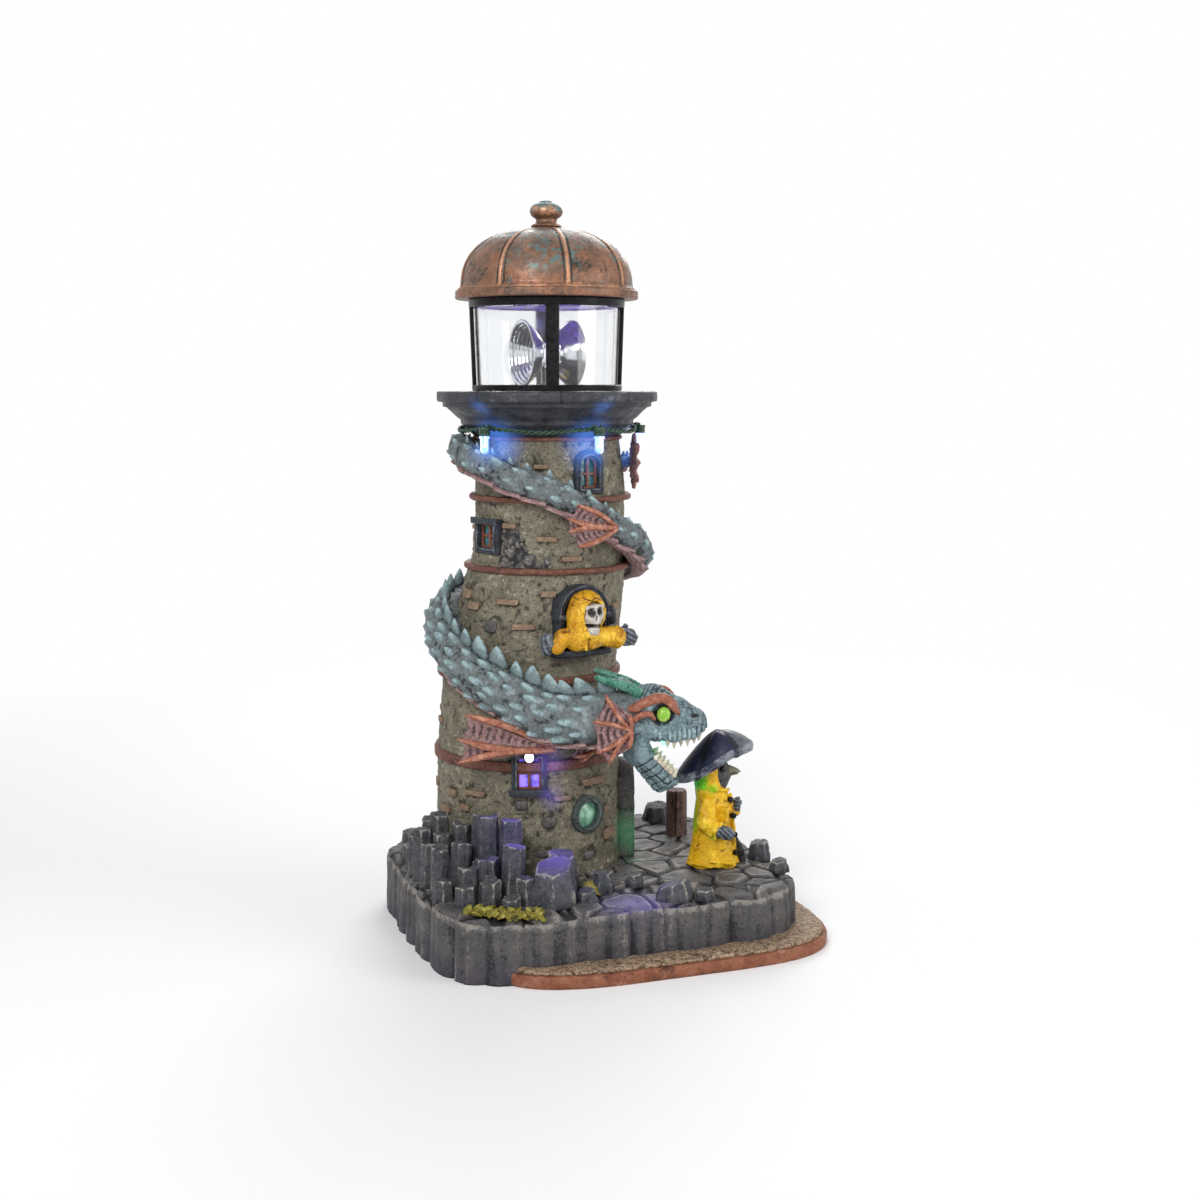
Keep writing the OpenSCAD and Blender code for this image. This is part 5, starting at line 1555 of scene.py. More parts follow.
@dataclass
class Windows:
    """Frames, sashes, panes and the door."""

    tower: Tower
    rim: float = 2.0
    out: float = 1.6
    inside: float = 3.0
    bar: float = 0.95

    def frame(self, hole: Opening, rim: float, low: float, high: float) -> Shape:
        """A moulded frame: a broad member and a raised bead along its inner edge.

        Args:
            hole: the opening.
            rim: width of the frame.
            low: depth of its back.
            high: depth of its front.

        Returns:
            The frame in its place.
        """
        bead = 0.75
        shape = (border(hole.cut(0, 14), rim, low, high - 0.45, 0.4)
                 + border(hole.cut(rim - bead, 14), bead, low, high, 0.3))
        q = shape.points
        dent = rough(q + 50 * hole.f, 2.5, 3, 4)
        shape = shape.pushed(0.09 * dent)
        shape.relief = 0.42 + 0.4 * dent + 0.4 * step01(shape.points[:, 2], high - 0.5, high)
        return shape.placed(self.tower.flat(hole.f, hole.z))

    def sash(self, hole: Opening, cols: int, rows: int) -> Shape:
        """Glazing bars: upright and level members between the frame's inner edges, and a rim.

        Args:
            hole: the opening.
            cols: panes across.
            rows: panes up.

        Returns:
            The bars in their place.
        """
        w, h = hole.w - 2 * self.rim, hole.h - 2 * self.rim
        depth = -0.9
        parts = [border(hole.cut(self.rim - 0.1, 14), 0.8, depth - 0.6, depth + 0.5, 0.25)]
        rise = 0.35 * w if hole.form is Form.GOTHIC else 0.0
        for i in range(1, cols):
            parts.append(block((self.bar, h - 0.2, 1.1), (-w / 2 + i * w / cols, 0, depth), 0.25, 8))
        for j in range(1, rows):
            y = -h / 2 + j * (h - rise * 0.5) / rows
            parts.append(block((w - 0.2, self.bar, 1.0), (0, y, depth), 0.25, 8))
        shape = joined(parts)
        dent = rough(shape.points + hole.f, 1.6, 3, 8)
        shape.points[:, 2] += 0.05 * dent
        shape.relief = 0.5 + 0.4 * dent
        return shape.placed(self.tower.flat(hole.f, hole.z))

    def pane(self, hole: Opening, depth: float = -1.7, crown: float = 0.35) -> Shape:
        """A cast pane that swells by crown millimetres towards its middle.

        Args:
            hole: the opening.
            depth: depth of its edge, below 0 behind the wall's face.
            crown: how far the middle stands forward.

        Returns:
            The pane in its place.
        """
        steps = np.linspace(0, 1, 12)
        half = min(hole.w, hole.h) / 2 - self.rim
        rings = []
        for s in steps:
            ring = outline(hole.form, hole.w, hole.h, self.rim - 0.3 + 0.94 * half * s, 14)
            ripple = 0.08 * noise(np.column_stack([ring, ring[:, 0]]), 1.5, 4)
            rings.append(np.column_stack([ring, depth + crown * np.sin(s * np.pi / 2) + ripple]))
        rings.insert(0, rings[0] - np.array([0, 0, 1.2]))
        shape = loft(np.stack(rings))
        shape.tint = step01(np.abs(shape.points[:, 0]) / (hole.w / 2 - self.rim), 0.0, 1.0)
        return shape.placed(self.tower.flat(hole.f, hole.z))

    def door(self) -> tuple[Shape, Shape]:
        """Arched door of upright boards with iron straps, and its stone surround.

        Returns:
            The surround, and the boards with their straps.
        """
        hole = DOOR
        place = self.tower.flat(hole.f, hole.z)
        surround = border(hole.cut(0, 14), 2.9, -3.5, 4.6, 0.7)
        across = surround.points[:, :2]
        turn = np.arctan2(across[:, 1] + 4, across[:, 0])
        joint = np.abs(((turn / 0.3) % 1) - 0.5) * 2
        dent = rough(surround.points, 3.0, 3, 60)
        surround = surround.pushed(0.16 * dent - 0.45 * step01(joint, 0.86, 1.0))
        surround.relief = 0.5 + 0.5 * dent - 0.4 * step01(joint, 0.84, 1.0)
        w, h = hole.w - 5.6, hole.h - 3
        leaf = plate(lambda i: outline(Form.ARCH, w, h, i, 20) + (0, -1.3), -3.4, -1.7, 0.2)
        parts = [leaf]
        boards = 5
        for k in range(boards):
            wide = w / boards - 0.35
            x = -w / 2 + (k + 0.5) * w / boards
            top = h / 2 - 1.6 - (w / 2) * (1 - math.sqrt(max(0.05, 1 - (2 * x / w) ** 2)))
            parts.append(block((wide, top + h / 2 - 0.6, 0.9), (x, (top - h / 2) / 2 - 1.1, -1.6), 0.25, 10))
        for y in (-9.5, 5.5):
            parts.append(block((w - 0.6, 2.0, 0.8), (0, y, -0.95), 0.25, 8))
            parts += [block((0.9, 0.9, 0.7), (x, y, -0.5), 0.3) for x in (-4.6, 0, 4.6)]
        ring = circle(28)
        knocker = np.stack([4.2 + 1.1 * np.cos(ring), -2 + 1.1 * np.sin(ring), np.full(28, -0.8)], -1)
        parts.append(tube(np.vstack([knocker, knocker[:1]]), 0.28, 8, (0, 0, 1)))
        wood = joined(parts)
        grain = rough(wood.points * (3, 0.5, 1), 2.4, 4, 14)
        wood.points[:, 2] += 0.12 * grain
        wood.relief = 0.5 + 0.6 * grain
        return surround.placed(place), wood.placed(place)

    def sills(self) -> Shape:
        """The lower window's sill and the square window's lintel.

        Returns:
            Both as one shape.
        """
        low = block((LOWER.w + 1.6, 2.4, 1.2), (0, -LOWER.h / 2 + 1.2, self.out + 0.3), 0.4, 10)
        top = block((SQUARE.w + 1.6, 2.2, 1.2), (0, SQUARE.h / 2 - 0.8, self.out + 0.2), 0.4, 10)
        parts = []
        for shape, hole in ((low, LOWER), (top, SQUARE)):
            dent = rough(shape.points + hole.z, 2.2, 3, 21)
            shape = shape.pushed(0.1 * dent)
            shape.relief = 0.6 + 0.4 * dent
            parts.append(shape.placed(self.tower.flat(hole.f, hole.z)))
        return joined(parts)

    def keeper_surround(self) -> Shape:
        """The keeper's window: an arched surround with a bead and capitals, a bowed sill and a stay.

        The sill's front follows a cosine across its width.

        Returns:
            The surround in its place.
        """
        hole = KEEPER
        parts = [border(hole.cut(0, 22), 2.3, -3.8, 3.5, 0.5),
                 border(hole.cut(0.25, 22), 0.55, 2.8, 3.95, 0.25)]
        parts.append(plate(lambda i: outline(Form.ARCH, hole.w - 3.4, hole.h - 3.4, i, 18), -3.9, -2.9, 0.2))
        spring = hole.h / 2 - hole.w / 2
        for k in (-1, 1):
            parts.append(block((3.0, 2.0, 5.6), (k * (hole.w / 2 - 1.2), spring - 0.9, 1.5), 0.5, 8))
        x = np.linspace(-hole.w / 2 - 1.2, hole.w / 2 + 0.4, 34)
        front = 3.4 + 2.5 * np.cos(np.pi * (x + 0.4) / (hole.w + 4))
        rings = []
        for at, out in zip(x, front):
            flat = outline(Form.BOX, out + 3.4, 2.5, 0.0, 6)
            round_off = np.clip(np.abs(flat) / (np.array([out + 3.4, 2.5]) / 2), 0, 1).prod(axis=1) ** 6
            flat = flat * (1 - 0.1 * round_off[:, None])
            rings.append(np.column_stack([np.full(len(flat), at), flat[:, 1] - hole.h / 2 + 1.3,
                                          flat[:, 0] + (out - 3.4) / 2]))
        parts.append(loft(np.stack(rings)))
        stay = pillow((3.2, 5.4, 6.2), 16, 26, 0.6)
        stay.points = stay.points + (hole.w / 2 + 1.7, 0.2, 0.1)
        knob = pillow((2.6, 2.0, 5.0), 12, 22, 0.8)
        knob.points = knob.points + (hole.w / 2 + 1.5, 3.0, 0.3)
        shape = joined(parts + [stay, knob])
        dent = rough(shape.points, 2.6, 3, 33)
        shape = shape.pushed(0.1 * dent)
        p = shape.points
        shape.relief = (0.46 + 0.5 * dent + 0.3 * step01(p[:, 2], 3.4, 3.9)
                        * step01(p[:, 1], spring - 2, spring))
        shape.relief = (shape.relief + 0.35 * step01(-np.abs(p[:, 1] + hole.h / 2 - 2.4), -0.5, -0.1)
                        * (p[:, 2] > 3))
        return shape.placed(self.tower.flat(hole.f, hole.z))

    def build(self, paints: dict[str, bpy.types.Material]) -> None:
        """Makes and dresses the windows and the door.

        Args:
            paints: every finish by its name.
        """
        frames = joined([self.frame(h, self.rim, -self.inside, self.out) for h in (ARCHED, SQUARE, LOWER)])
        frames = frames + self.sills()
        make("window_surrounds", frames, paints["rim"], "case", "window_frames", slot="window_rim")
        make("porthole_ring", self.frame(PORT, self.rim, -self.inside, self.out), paints["verdigris"], "case")
        bars = joined([self.sash(ARCHED, 2, 2), self.sash(SQUARE, 2, 2), self.sash(LOWER, 2, 2)])
        make("window_bars", bars, paints["sash"], "case", "window_sashes", slot="sash_paint")
        panes = joined([self.pane(ARCHED), self.pane(SQUARE)])
        make("window_glass", panes, paints["pane"], "case", "window_panes", slot="pane")
        make("lit_window_glass", self.pane(LOWER), paints["violet_pane"], "case")
        make("porthole_glass", self.pane(PORT, -1.0, 1.1), paints["green_pane"], "case")
        surround, leaf = self.door()
        make("door_surround", surround, paints["stone"], "case", "door_frame", slot="dark_stone")
        make("door_boards", leaf, paints["door"], "case", "door_leaf", slot="old_wood")
        make("keeper_surround", self.keeper_surround(), paints["rim"], "case", "keeper_window",
             slot="window_rim")


# The base


@dataclass
class Base:
    """Rock block with its paved deck, the beach, the rock pile, the weed and the post."""

    tower: Tower
    w: float = 128.0
    d: float = 114.0
    x: float = -4.0
    y: float = 5.0
    power: float = 5.0
    deck: float = 20.0
    columns: int = 27
    beach_w: float = 122.0
    beach_d: float = 102.0
    beach_x: float = 7.0
    beach_y: float = -11.0
    beach_power: float = 4.0
    round_n: int = 720
    rise_n: int = 25
    post_x: float = 39.5
    post_y: float = 26.5
    post_h: float = 17.0
    panel_x: float = -8.0
    panel_z: float = 10.5
    panel_w: float = 36.0
    panel_h: float = 10.0
    panel_wall: float = 61.4

    def edge_r(self, turn: Array, w: float, d: float, power: float) -> Array:
        """Superellipse radius at an angle: (|2 cos/w|^p + |2 sin/d|^p)^(-1/p)."""
        return (np.abs(2 * np.cos(turn) / w) ** power + np.abs(2 * np.sin(turn) / d) ** power) ** (-1 / power)

    def rim(self, turn: Array) -> tuple[Array, Array, Array]:
        """Outer line of the rock at angles about its own middle.

        Args:
            turn: the angles.

        Returns:
            x and y of the line, and how deep each point lies in a joint between two columns,
            0 on a column's face and 1 in the joint.
        """
        share = turn / (2 * np.pi) * self.columns + 0.3 * np.sin(3 * turn + 1.3) + 0.22 * np.sin(8 * turn)
        k = np.floor(share)
        t = share - k
        cell = np.stack([k % self.columns, 0 * k, 0 * k], axis=-1)
        joint = np.exp(-((t / 0.035) ** 2)) + np.exp(-(((t - 1) / 0.035) ** 2))
        lobe = np.sin(np.pi * t) ** 0.75
        step = lobe * (1.2 * (hashed(cell, 5) - 0.5) + 1.0 * (hashed(cell, 8) - 0.5) * (t - 0.5))
        r = self.edge_r(turn, self.w, self.d, self.power) - 2.2 + 1.6 * lobe - 0.6 * step - 0.35 * joint
        return self.x + r * np.cos(turn), self.y + r * np.sin(turn), joint

    def paving(self, p: Array) -> tuple[Array, Array]:
        """Height and relief of the deck: worn stones with sunk joints.

        The stones are cells about 13 mm wide. Each has its own height and tilt, a rounded edge from
        the distance to its border, and pock marks.

        Args:
            p: points on the deck.

        Returns:
            Height off the deck, and relief.
        """
        flat = p * (1, 1, 0)
        bent = flat + 1.1 * np.stack([noise(flat, 7, 3), noise(flat, 7, 4), 0 * flat[..., 0]], axis=-1)
        _, border_gap, name = crackle(bent + (0, 0, 4.3), 13.0, 2, 0.85)
        joint = step01(border_gap, 0.2, 0.75)
        lip = np.exp(-(((border_gap - 1.0) / 0.4) ** 2)) * step01(name, 0.25, 0.5)
        tilt = 0.3 * noise(flat, 9.0, 41) + 1.1 * (name - 0.5)
        grit = rough(flat, 3.0, 4, 51)
        chip = step01(-crackle(flat, 6.0, 57)[0], -1.6, -0.5) * step01(noise(flat, 7, 58), 0.1, 0.5)
        height = -0.9 * (1 - joint) + joint * (0.25 + 0.5 * tilt + 0.16 * grit - 0.3 * chip)
        return height, 0.46 + 0.5 * (joint - 0.85) + 0.25 * grit + 0.12 * tilt - 0.3 * chip + 0.34 * lip

    def rock(self) -> Shape:
        """The rock block, a closed skin on angles about the tower.

        From the foot each ring climbs the columns' faces, which carry strata and chips, rounds the
        rim, and crosses the paved deck to the tower. It then goes down inside and back.

        Returns:
            One closed skin with the rear panel's opening cut through it.
        """
        turn = circle(self.round_n)
        x, y, joint = self.rim(turn)
        dressed = (step01(-np.abs(x - self.panel_x), -self.panel_w / 2 - 4.5, -self.panel_w / 2 - 2.0)
                   * (y > 0))
        y = y * (1 - dressed) + self.panel_wall * dressed
        joint = joint * (1 - dressed)
        edge = np.stack([x, y], axis=-1)
        base = np.array([self.x, self.y])
        hub = np.array([self.tower.x, self.tower.y])
        toward = hub - edge
        away = toward / np.linalg.norm(toward, axis=1)[:, None]
        rise = np.linspace(0, 1, self.rise_n)
        top = 19.0 + 0.8 * noise(np.column_stack([edge, 0 * turn]), 9.0, 61) - 1.6 * np.clip(joint, 0, 1)
        rings, relief, tint = [], [], []
        for t in rise:
            z = t * top
            p = np.column_stack([edge, z])
            strata = rough(p * (0.5, 0.5, 1.6), 6.0, 3, 22)
            stripes = rough(p * (1, 1, 0.07), 2.6, 3, 27)
            slant = 1.3 * (1 - t) ** 1.5 * (0.6 + 0.5 * noise(p * (1, 1, 0), 11, 12))
            cut = 0.2 * strata + 0.8 * stripes
            out = (slant * (1 - dressed) + cut * (1 - 0.8 * dressed)
                   - 0.5 * (1 - dressed) * step01(np.full(turn.shape, t), 0.9, 1.0))
            limit = np.clip(out, -1.6, 0.95)
            flat = edge - away * limit[:, None]
            rings.append(np.column_stack([flat, z]))
            crest = step01(np.full(turn.shape, t), 0.86, 0.98)
            relief.append(0.42 + 0.75 * cut - 0.3 * np.clip(joint, 0, 1) + 0.45 * crest)
            tint.append(np.full(turn.shape, 0.7 * (1 - t) ** 2))
        reach = np.linalg.norm(toward, axis=1) - 27.0
        last = rings[-1][:, :2]
        for t in np.linspace(0, 1, 104)[1:]:
            run = t**1.02 * reach
            flat = last + away * run[:, None]
            p = np.column_stack([flat, 0 * run])
            height, lift = self.paving(p)
            soft = step01(run, 0.0, 1.6)
            own = top * (1 - soft) + (self.deck + height) * soft
            drop = step01(-run, -2.2, -0.2)
            own = own - 0.35 * drop * np.clip(joint, 0, 1)
            rings.append(np.column_stack([flat, np.minimum(own, self.deck + 0.78)]))
            relief.append(lift - 0.15 * drop)
            tint.append(np.zeros(turn.shape))
        inner_top = rings[-1] * (1, 1, 0) + (0, 0, 17.7)
        inside = base + (edge - base) * 0.93
        rings.append(inner_top)
        for level in (17.5, self.panel_z + self.panel_h / 2, self.panel_z - self.panel_h / 2, 0.0):
            rings.append(np.column_stack([inside, np.full(len(turn), level)]))
        for _ in range(5):
            relief.append(np.full(turn.shape, 0.3))
            tint.append(np.zeros(turn.shape))
        return self.pierced(np.stack(rings), np.stack(relief), np.stack(tint))

    def pierced(self, rings: Array, relief: Array, tint: Array) -> Shape:
        """Cuts the rear panel's opening through the rock's outer and inner wall.

        The grid lines nearest the opening's border are moved onto it, the cells between them are
        left out on both walls, and a sill, a lintel and two sides join the walls.

        Args:
            rings: the rock's rings from the foot up the outside, and down the inside again.
            relief: relief of each point.
            tint: tint of each point.

        Returns:
            The closed skin with the opening.
        """
        n = self.round_n
        half, low, high = self.panel_w / 2, self.panel_z - self.panel_h / 2, self.panel_z + self.panel_h / 2
        back = np.arange(n // 2)
        first = int(np.argmin(np.abs(rings[0, back, 0] - self.panel_x - half)))
        last = int(np.argmin(np.abs(rings[0, back, 0] - self.panel_x + half)))
        foot = int(np.argmin(np.abs(rings[:self.rise_n, first, 2] - low)))
        head = int(np.argmin(np.abs(rings[:self.rise_n, first, 2] - high)))
        top, sill = len(rings) - 3, len(rings) - 2
        rings[foot, first:last + 1, 2] = low
        rings[head, first:last + 1, 2] = high
        rings[foot:head + 1, first, 0] = self.panel_x + half
        rings[foot:head + 1, last, 0] = self.panel_x - half
        shape = loft(rings, True, relief, tint)
        row, column = shape.quads // n, shape.quads % n
        across = ((column >= first) & (column <= last)).all(axis=1)
        outer = across & ((row >= foot) & (row <= head)).all(axis=1)
        inner = across & ((row >= top) & (row <= sill)).all(axis=1)
        c = np.arange(first, last)
        floor = np.column_stack([foot * n + c, foot * n + c + 1, sill * n + c + 1, sill * n + c])
        lintel = np.column_stack([head * n + c + 1, head * n + c, top * n + c, top * n + c + 1])
        r = np.arange(foot, head)
        right = np.column_stack([(r + 1) * n + first, r * n + first, 0 * r + sill * n + first])
        left = np.column_stack([r * n + last, (r + 1) * n + last, 0 * r + sill * n + last])
        ends = [[top * n + first, head * n + first, sill * n + first],
                [head * n + last, top * n + last, sill * n + last]]
        shape.quads = np.vstack([shape.quads[~(outer | inner)], floor, lintel])
        shape.tris = np.vstack([shape.tris, right, left, ends])
        return shape

    def pillar(self, x: float, y: float, r: float, tall: float, turn: float, sides: int, crumple: float,
               seed: int) -> Shape:
        """A broken rock column or boulder.

        A ring's radius at angle a is that of a polygon, r cos(pi/n) / cos(a mod 2pi/n - pi/n),
        softened towards a circle and moved by noise. The head is cut by a slanting plane and
        its rim rounded off.

        Args:
            x: its place across.
            y: its place in depth.
            r: its radius.
            tall: its height.
            turn: rotation in degrees.
            sides: sides of the polygon.
            crumple: strength of the noise.
            seed: seed of the noise.

        Returns:
            A closed skin whose foot lies half a millimetre under the deck.
        """
        n = 66
        a = circle(n)
        step = 2 * np.pi / sides
        uneven = 0.25 * np.array([wobble(seed + j, 3) - 0.5 for j in range(sides)])
        part = (a % step)
        poly = np.cos(step / 2) / np.cos(part - step / 2)
        crisp = 0.97 if crumple < 0.5 else 0.85
        corner = np.exp(-((np.minimum(part, step - part) / 0.16) ** 2))
        poly = (1 - crisp + crisp * poly + np.interp(a, np.arange(sides + 1) * step,
                                                     np.append(uneven, uneven[0])))
        steps = np.linspace(0, 1, max(10, int(tall / 0.9)))
        slope = (wobble(seed, 7) - 0.5) * (0.32 if crumple < 0.5 else 0.6)
        aim = 2 * np.pi * wobble(seed, 9)
        notch = 1.6 * wobble(seed, 12) * step01(np.cos(a - aim - 1.9), 0.45, 0.62) * (tall > 8)
        rings = []
        for t in steps:
            size = r * (1.16 - 0.2 * t if crumple < 0.5 else 1.18 - 0.34 * t**1.6)
            ring = size * poly
            z = tall * t + ring * slope * np.cos(a - aim) * t - notch * t**6
            rings.append(around(a, ring, z))
        head = rings[-1]
        for inset, up in ((0.965, 0.16), (0.88, 0.22), (0.74, 0.24), (0.5, 0.25), (0.25, 0.26)):
            ring = head * (inset, inset, 1)
            ring[:, 2] = head[:, 2] * inset + head[:, 2].mean() * (1 - inset) + up
            rings.append(ring)
        shape = loft(np.stack(rings))
        c, s = math.cos(math.radians(turn)), math.sin(math.radians(turn))
        q = shape.points
        q[:, :2] += 0.1 * q[:, 2:] * (np.array([wobble(seed, 14), wobble(seed, 15)]) - 0.5)
        shape.points = np.column_stack([x + q[:, 0] * c - q[:, 1] * s, y + q[:, 0] * s + q[:, 1] * c,
                                        self.deck - 0.5 + q[:, 2] * (tall + 0.5) / tall])
        p = shape.points
        stripes = rough(p * (1.5, 1.5, 0.35), 3.6, 3, seed)
        lump = rough(p, 4.5, 3, seed + 5)
        chips = crackle(p, 3.6, seed + 2)[1]
        cut = 0.22 * stripes + crumple * 0.6 * lump - 0.3 * step01(-chips, -0.35, 0.0)
        shape = shape.pushed(np.clip(cut, -0.9, 0.55))
        count = len(rings)
        level = np.append(np.repeat(np.arange(count), n), [0, count])
        crest = np.exp(-(((level - len(steps) + 0.2) / 1.1) ** 2))
        flat_top = (level > len(steps)) * 0.1
        angle = np.append(np.tile(corner, count), [0, 0])
        shape.relief = (0.40 + 0.24 * stripes + 0.14 * lump + 0.55 * crest + flat_top
                        + 0.34 * angle * (level < len(steps)) - 0.3 * step01(-q[:, 2], -3.0, 0.5))
        return shape

    def pile(self) -> Shape:
        """Every column and boulder, on the places that the CAD solids have.

        Returns:
            All of them as one shape.
        """
        columns = ((-45.5, -14, 4.6, 25, 10), (-38.5, -18.5, 4.2, 24, 40), (-40, -27.5, 4, 18, 20),
                   (-48, -22, 4.4, 13, 0), (-37.5, -34, 3.6, 9, 15), (-54.5, -14.5, 4, 17, 35),
                   (-54, -23.5, 3.8, 11, 5), (-60.5, -13.5, 3.4, 16, 25), (-61.5, -21, 3.2, 7, 50),
                   (-56.5, -30.5, 3.4, 7, 12), (-49.5, -32, 3.6, 9, 33), (-44, -39, 3.2, 4.5, 22),
                   (-62.5, -5.5, 3, 15, 8), (-57.5, -6, 3.6, 18, 45), (-51.5, -5.5, 3.8, 21, 17),
                   (-62, 2, 3.2, 18, 30), (-56, 2.5, 3.6, 23, 3), (-62, 10, 3, 13, 27),
                   (-57, 11, 3.4, 19, 48), (-61.5, 18, 3, 8, 13), (-57, 20, 3, 11, 38),
                   (-60.5, 27, 3, 6, 5), (-59, 36, 3.2, 8, 21), (-55.5, 44, 3.4, 6, 44))
        boulders = ((-29, -35, 7, 12, 10), (-22, -24, 5.6, 13, 35), (-10.5, -29.5, 4.2, 6.5, 60),
                    (-18.5, -38, 3.2, 4, 20), (2.5, -26, 3, 3.4, 5), (9, -44, 5.6, 5.4, 40),
                    (19, -47, 3, 3, 15), (55, -12, 3.6, 6, 25), (54.5, -28, 3.4, 3.6, 50),
                    (40, 48, 5, 6, 30), (28, 53, 4, 5, 12), (53, 30, 4, 5, 22))
        parts = [self.pillar(*c, sides=5 + i % 3, crumple=0.2, seed=3 * i) for i, c in enumerate(columns)]
        parts += [self.pillar(*b, sides=6 + i % 2, crumple=0.9, seed=200 + 3 * i)
                  for i, b in enumerate(boulders)]
        return joined(parts)

    def beach(self) -> tuple[Shape, Shape]:
        """Brick-red ledge and the sand on it.

        Both fill the strip between the rock's line and a wider superellipse, on angles about the
        rock's middle; where the rock is wider the strip closes to nothing under it.

        Returns:
            The ledge and the sand.
        """
        turn = circle(900)
        base = np.array([self.x, self.y])
        ray = np.stack([np.cos(turn), np.sin(turn)], axis=-1)
        reach = np.linspace(20, 120, 1400)
        px = (base[0] + ray[:, :1] * reach[None] - self.beach_x) / (self.beach_w / 2)
        py = (base[1] + ray[:, 1:] * reach[None] - self.beach_y) / (self.beach_d / 2)
        within = np.abs(px) ** self.beach_power + np.abs(py) ** self.beach_power < 1
        out = reach[np.maximum(0, within.cumsum(axis=1).max(axis=1) - 1)]
        smooth = np.convolve(np.concatenate([out[-6:], out, out[:6]]), np.ones(13) / 13, "valid")
        x, y, _ = self.rim(turn)
        rock = np.linalg.norm(np.stack([x, y], axis=-1) - base, axis=1) - 2.2
        rock = np.minimum(rock, np.convolve(np.concatenate([rock[-4:], rock, rock[:4]]), np.ones(9) / 9,
                                            "valid"))

        def strip(grow: float, low: float, high: float, size: float, seed: int, rows: int,
                  heap: float) -> Shape:
            """Draws one layer of the beach between the rock and a smooth outer line.

            Args:
                grow: how far it reaches beyond the smooth line.
                low: height of its foot.
                high: height of its top.
                size: width of its lumps.
                seed: seed of the noise.
                rows: steps across its top.
                heap: how high the top is heaped.

            Returns:
                A closed ring against the rock.
            """
            ends = np.maximum(smooth + grow, rock + 0.02)
            width = step01(ends - rock, 0.3, 3.0)
            rings, relief = [], []

            def ring(r: Array, z: Array, gain: float) -> None:
                """Adds one ring, roughened but never drawn into the rock.

                Args:
                    r: radii.
                    z: heights.
                    gain: strength of the noise.
                """
                p = np.column_stack([base + ray * r[:, None], z])
                dent = rough(p, size, 4, seed)
                r2 = np.maximum(r + gain * dent * width, rock)
                rings.append(np.column_stack([base + ray * r2[:, None],
                                              z + 0.6 * gain * dent * width * (z > low)]))
                relief.append(0.5 + 0.6 * dent)

            for t in np.linspace(0, 1, 9):
                ring(ends - 0.45 * width * (1 - np.sin(np.pi * t)) ** 2, low + (high - low) * t + 0 * ends,
                     0.3)
            for t in np.linspace(0, 1, rows)[1:]:
                z = high + heap * width * np.sin(np.pi * min(1.0, t * 1.3)) + 0 * ends
                ring(ends + (rock - ends) * t, z, 0.25 if heap == 0 else 0.5)
            ring(rock, low + 0 * ends, 0.0)
            return loft(np.stack(rings), True, np.stack(relief))

        return strip(0.0, 0.0, 4.0, 4.0, 5, 10, 0.0), strip(-1.5, 3.9, 5.15, 1.5, 9, 26, 0.45)

    def weed(self) -> Shape:
        """A strand of weed: flat ribbons with ruffled edges and small bladders along a branching stalk.

        Returns:
            All its strands as one shape.
        """
        line = spline([(-58, -38.5, 20.9), (-53.5, -38, 21.2), (-49.5, -41.5, 21), (-45.5, -45.5, 21.1),
                       (-40.5, -46, 21), (-36.5, -47.5, 20.9)], 14)
        line[:, 2] += 0.35 * np.sin(np.arange(len(line)) * 0.7)
        tufts = [spline([(-27.5, -27.8, 20.4), (-26.4, -28.6, 23.4), (-25.0, -30.4, 24.2),
                         (-23.6, -32.2, 21.0)], 5),
                 spline([(-15.6, -28.6, 20.6), (-14.8, -30.0, 23.2), (-14.6, -31.8, 22.4),
                         (-13.6, -33.6, 20.6)], 5)]
        parts = []
        for strand in (line, *tufts):
            parts += self.ribbons(strand)
        shape = joined(parts)
        dent = rough(shape.points, 1.3, 3, 6)
        shape = shape.pushed(0.2 * dent)
        shape.relief = 0.42 + 0.7 * dent + 0.25 * step01(shape.points[:, 2], 20.8, 22.4)
        return shape

    def ribbons(self, line: Array) -> list[Shape]:
        """A stalk along a line, and the ribbons and bladders that leave it on both sides.

        Args:
            line: points along the stalk.

        Returns:
            The pieces.
        """
        parts = [tube(line, np.interp(np.linspace(0, 1, len(line)), (0, 0.3, 1), (0.8, 1.3, 0.6)), 12)]
        for i in range(1, len(line) - 2):
            side = 1 if i % 2 == 1 else -1
            ahead = line[i + 1] - line[i]
            ahead /= np.linalg.norm(ahead)
            out = np.array([-ahead[1], ahead[0], 0.0]) * side
            long = 2.3 + 2.8 * wobble(i, 4)
            t = np.linspace(0, 1, 9)[:, None]
            lift = np.array([0, 0, 1.0])
            mid = line[i] + out * long * t + ahead * 1.0 * t**2 + lift * (0.5 * np.sin(3 * t) - 0.1)
            wide = 0.65 + 1.15 * np.sin(np.pi * t) ** 0.7
            a = circle(10)[None, :, None]
            curl = lift * (0.34 * np.sin(a) + 0.5 * np.cos(a) * math.sin(2.4 * i))
            ring = mid[:, None] + ahead * wide[:, None] * np.cos(a) + curl
            parts.append(loft(ring))
            if i % 3 == 0:
                pod = pillow((1.3, 1.3, 1.1), 6, 12, 0.95)
                pod.points = pod.points + line[i] + out * 0.6 + lift * 0.7
                parts.append(pod)
        return parts

